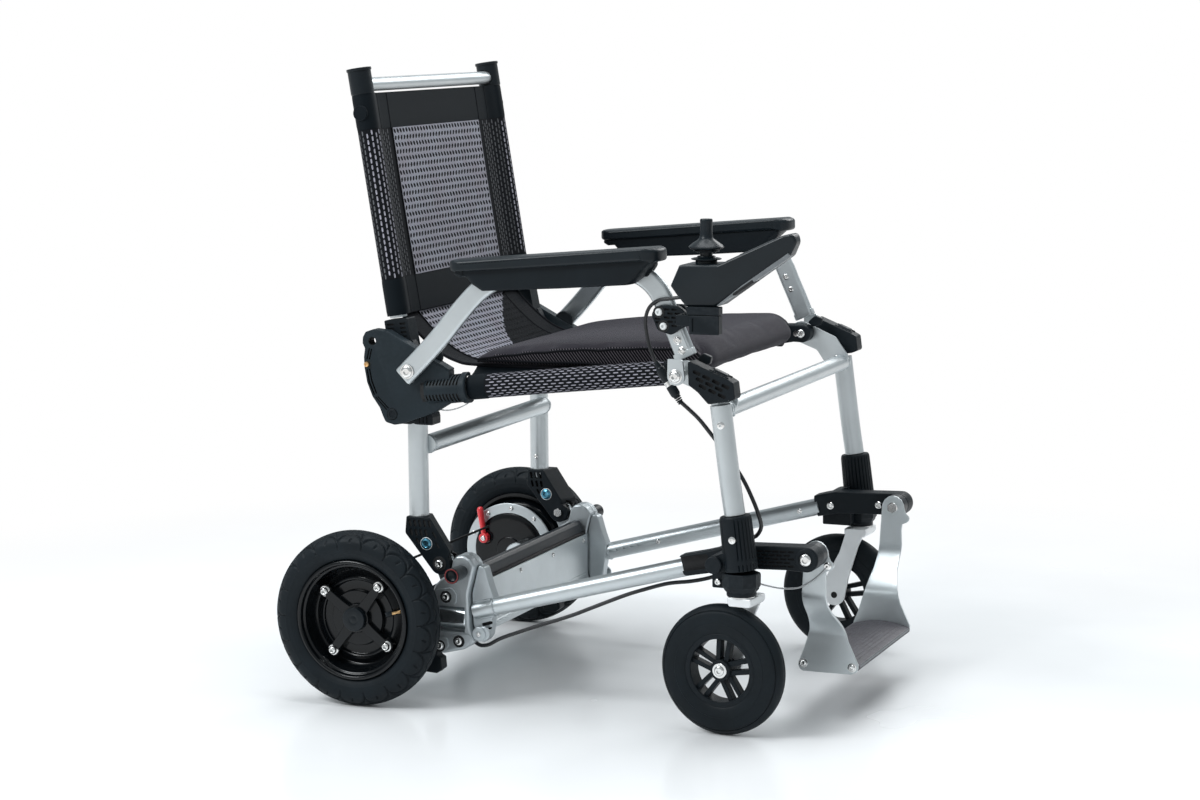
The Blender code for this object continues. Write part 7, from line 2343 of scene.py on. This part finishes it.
for s, k in SIDES:
    piece("foot_strap_" + k, mirror(side_plate(), s), ALU, "footrest", ["foot_side_" + k],
          angle=40)
    sc = []
    for c in ((0.6198, 0.0752), (0.6915, 0.0738)):
        sc.append(cap_screw(c, 0.1354, 0.1384, 0.0046))
        sc.append(spin_u(c, [(0.0050, 0.1352), (0.0064, 0.1352), (0.0064, 0.1360), (0.0050, 0.1362)], 36, closed=True))
    sc.append(cap_screw((0.6735, 0.2292), 0.1938, 0.1972, 0.0056))
    b = cap_screw(F, 0, 0.0036, 0.0080)
    for v in b.verts:
        v.co.y = 0.1896 - v.co.y
    bmesh.ops.reverse_faces(b, faces=b.faces)
    sc.append(b)
    piece("foot_screws_" + k, mirror(join(sc), s), STEEL, "footrest")


def arch(x, drop=0.0):
    return 0.0765 + 0.0080 * (1 - ((x - 0.6557) / 0.0440) ** 2) - drop


xs = [0.6125 + (0.6990 - 0.6125) * i / 24 for i in range(25)]
out_ = [(x, arch(x)) for x in xs] + [(0.7004, 0.0762), (FRONT, 0.0740), (0.7006, 0.0706), (0.6985, 0.0690), (0.6950, 0.0685)] \
       + [(x, arch(x, 0.0055)) for x in reversed(xs[2:-2])] + [(0.6125, 0.0700)]
plate = slab(out_, -0.1308, 0.1308, 0.0008, 2)
piece("foot_tread", plate, STEP, "footrest", ["footplate"], angle=30)
web = [(0.6150, 0.0672), (0.6960, 0.0672), (0.6970, 0.0740)] + \
      [(x, arch(x, 0.0050)) for x in reversed(xs[2:-2])] + [(0.6140, 0.0730)]
webs = [slab(web, 0.1250, 0.1308, 0.0006, 1), slab(web, -0.1308, -0.1250, 0.0006, 1)]
for i in range(7):
    u = -0.0930 + 0.0310 * i
    webs.append(slab(web, u - 0.0012, u + 0.0012, 0.0004, 1))
piece("foot_webs", join(webs), STEP, "footrest", angle=30)
tread = []
for i in range(13):
    x = 0.6215 + i * 0.0058
    pts = [Vector((x, -0.1240 + 0.2480 * q / 30, arch(x) + 0.00005)) for q in range(31)]
    tread.append(thread([(p, 0.0003) for p in pts], 8))
piece("foot_grip_lines", join(tread), STEP, "footrest", angle=60)
nose = thread([(Vector((0.6985, -0.1290 + 0.2580 * q / 30, 0.0742)), 0.0026) for q in range(31)], 16)
piece("foot_nose", nose, GREY, "footrest", angle=60)

# ---------------------------------------------------------------------- cables
CONN_0, CONN_1 = Vector((0.4512, 0.2690, 0.5108)), Vector((0.4857, 0.2675, 0.4573))
ROUTE_A = [(0.4985, 0.2820, 0.6055), (0.4870, 0.2815, 0.6040), (0.4720, 0.2795, 0.6015),
           (0.4560, 0.2765, 0.5985), (0.4420, 0.2735, 0.5880), (0.4350, 0.2700, 0.5700),
           (0.4370, 0.2688, 0.5484), (0.4410, 0.2690, 0.5320), (0.4462, 0.2690, 0.5195)]
ROUTE_B = [(0.4985, 0.2650, 0.4472), (0.5112, 0.2625, 0.4346), (0.5288, 0.2595, 0.4125),
           (0.5488, 0.2570, 0.3875), (0.5723, 0.2585, 0.3548), (0.5880, 0.2620, 0.3270),
           (0.5960, 0.2630, 0.3080), (0.5985, 0.2590, 0.2910), (0.5900, 0.2520, 0.2775),
           (0.5780, 0.2410, 0.2715), (0.5710, 0.2270, 0.2705), (0.5650, 0.2105, 0.2680),
           (0.5605, 0.2055, 0.2570), (0.5490, 0.2045, 0.2300), (0.5300, 0.2050, 0.2145),
           (0.5080, 0.2055, 0.2045), (0.4800, 0.2085, 0.1975), (0.4453, 0.2130, 0.1925),
           (0.4130, 0.2180, 0.1830), (0.3818, 0.2215, 0.1720), (0.3338, 0.2230, 0.1515),
           (0.3000, 0.2230, 0.1370), (0.2507, 0.2230, 0.1190), (0.2150, 0.2225, 0.1055),
           (0.1896, 0.2220, 0.0950), (0.1720, 0.2200, 0.0850), (0.1600, 0.2170, 0.0815),
           (0.1520, 0.2140, 0.0820), (0.1440, 0.2120, 0.0860), (0.1370, 0.2120, 0.0920)]
ROUTE_L = [(0.5765, 0.2345, 0.2110), (0.5840, 0.2280, 0.2055), (0.6023, 0.2170, 0.1992),
           (0.6190, 0.2100, 0.1968), (0.6358, 0.2040, 0.1985), (0.6526, 0.2010, 0.2080),
           (0.6660, 0.1990, 0.2200), (0.6732, 0.1985, 0.2286)]
d = (CONN_1 - CONN_0).normalized()
upper = thread([(p, 0.0025) for p in smooth_path(ROUTE_A + [tuple(CONN_0 + d * 0.0010)], 0.004)], 20)
lower = thread([(p, 0.0028) for p in smooth_path([tuple(CONN_0 + d * 0.0600)] + ROUTE_B, 0.005)], 20)
piece("cable_upper", mirror(upper, -1), WIRE, "armrest_R", angle=60)
run_ = piece("cable_lower", mirror(lower, -1), WIRE, None, ["controller_cable"], angle=60,
             weighted=False)
# the lower cable follows the front leg down to its foot, and the base from there
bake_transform(run_)
relief0 = turned(CONN_0 - d * 0.0030, CONN_1, [(0.0028, 0.0), (0.0040, 0.0030), (0.0046, 0.0090), (0.0058, 0.0104), (0.0062, 0.0120),
                                   (0.0062, 0.0136), (0.0068, 0.0140), (0.0068, 0.0300), (0.0064, 0.0312)], 40)
for v in relief0.verts:
    t = (v.co - CONN_0).dot(d)
    if 0.0120 < t < 0.0262:
        o = v.co - CONN_0 - d * t
        a_, b_ = frame_for(d)
        th = math.atan2(o.dot(b_), o.dot(a_))
        v.co = CONN_0 + d * t + o * (1 - 0.06 * max(0.0, math.cos(8 * th)) ** 2)
piece("plug_upper", mirror(relief0, -1), SMOOTH, "armrest_R")
nut = turned(CONN_0 + d * 0.0280, CONN_1, [(0.0056, 0.0), (0.0064, 0.0008), (0.0064, 0.0026), (0.0056, 0.0032), (0.0056, 0.0044),
                                 (0.0063, 0.0050), (0.0063, 0.0076), (0.0056, 0.0084)], 40)
piece("plug_collar", mirror(nut, -1), STEEL, "armrest_R")
body = turned(CONN_0 + d * 0.0356, CONN_1, [(0.0060, 0.0), (0.0068, 0.0008), (0.0068, 0.0130), (0.0062, 0.0142), (0.0062, 0.0152),
                                  (0.0050, 0.0166), (0.0044, 0.0174)], 40)
segs = [turned(CONN_0 + d * (0.0528 + 0.0030 * i), CONN_1, [(0.0034, 0.0), (0.0050 - 0.00035 * i, 0.0004),
                                                  (0.0050 - 0.00035 * i, 0.0019), (0.0034, 0.0024)], 32)
        for i in range(4)]
piece("plug_lower", mirror(join([body] + segs), -1), SMOOTH, "armrest_R")
cord = thread([(p, 0.0012) for p in smooth_path(ROUTE_L, 0.004)], 14)
line_ = piece("lanyard_cord", mirror(cord, -1), STRAND, None, ["footrest_lanyard"], angle=60,
              weighted=False)
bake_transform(line_)
clip_ = cyl((0.5760, 0.2330, 0.2112), (0.5768, 0.2372, 0.2112), 0.0036, seg=28, edge=0.0004)
piece("lanyard_clip", mirror(clip_, -1), STEEL, "base")
lug = [spin_u((0.6735, 0.2292), [(0.0014, 0.1976), (0.0036, 0.1976), (0.0036, 0.1994), (0.0014, 0.1994)], 32, closed=True)]
piece("lanyard_ring", mirror(join(lug), -1), STEEL, "footrest")
# the steel release wire under the seat, held at both ends by the hinge plates
REL = [(0.0960, 0.2330, 0.4290), (0.1060, 0.2330, 0.4262), (0.1180, 0.2320, 0.4258), (0.1340, 0.2300, 0.4300),
       (0.1500, 0.2260, 0.4390), (0.1640, 0.2200, 0.4520), (0.1760, 0.2120, 0.4640)]
for s, k in SIDES:
    rel = thread([(p, 0.0009) for p in smooth_path(REL, 0.003)], 10)
    piece("release_wire_" + k, mirror(rel, s), STRAND, "seat", angle=60)

# Cloth pieces, looked up by name


def ob(name):
    return bpy.data.objects[name]


ob("back_cloth")
[ob(n) for n in ("back_panel_mesh", "back_band_R", "back_band_L", "back_seams")]
ob("back_top_band")
ob("back_low_band")
ob("seat_sling_cloth")
[ob(n) for n in ("sling_mesh", "sling_hems", "sling_wing_R", "sling_wing_L")]


lo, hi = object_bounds()
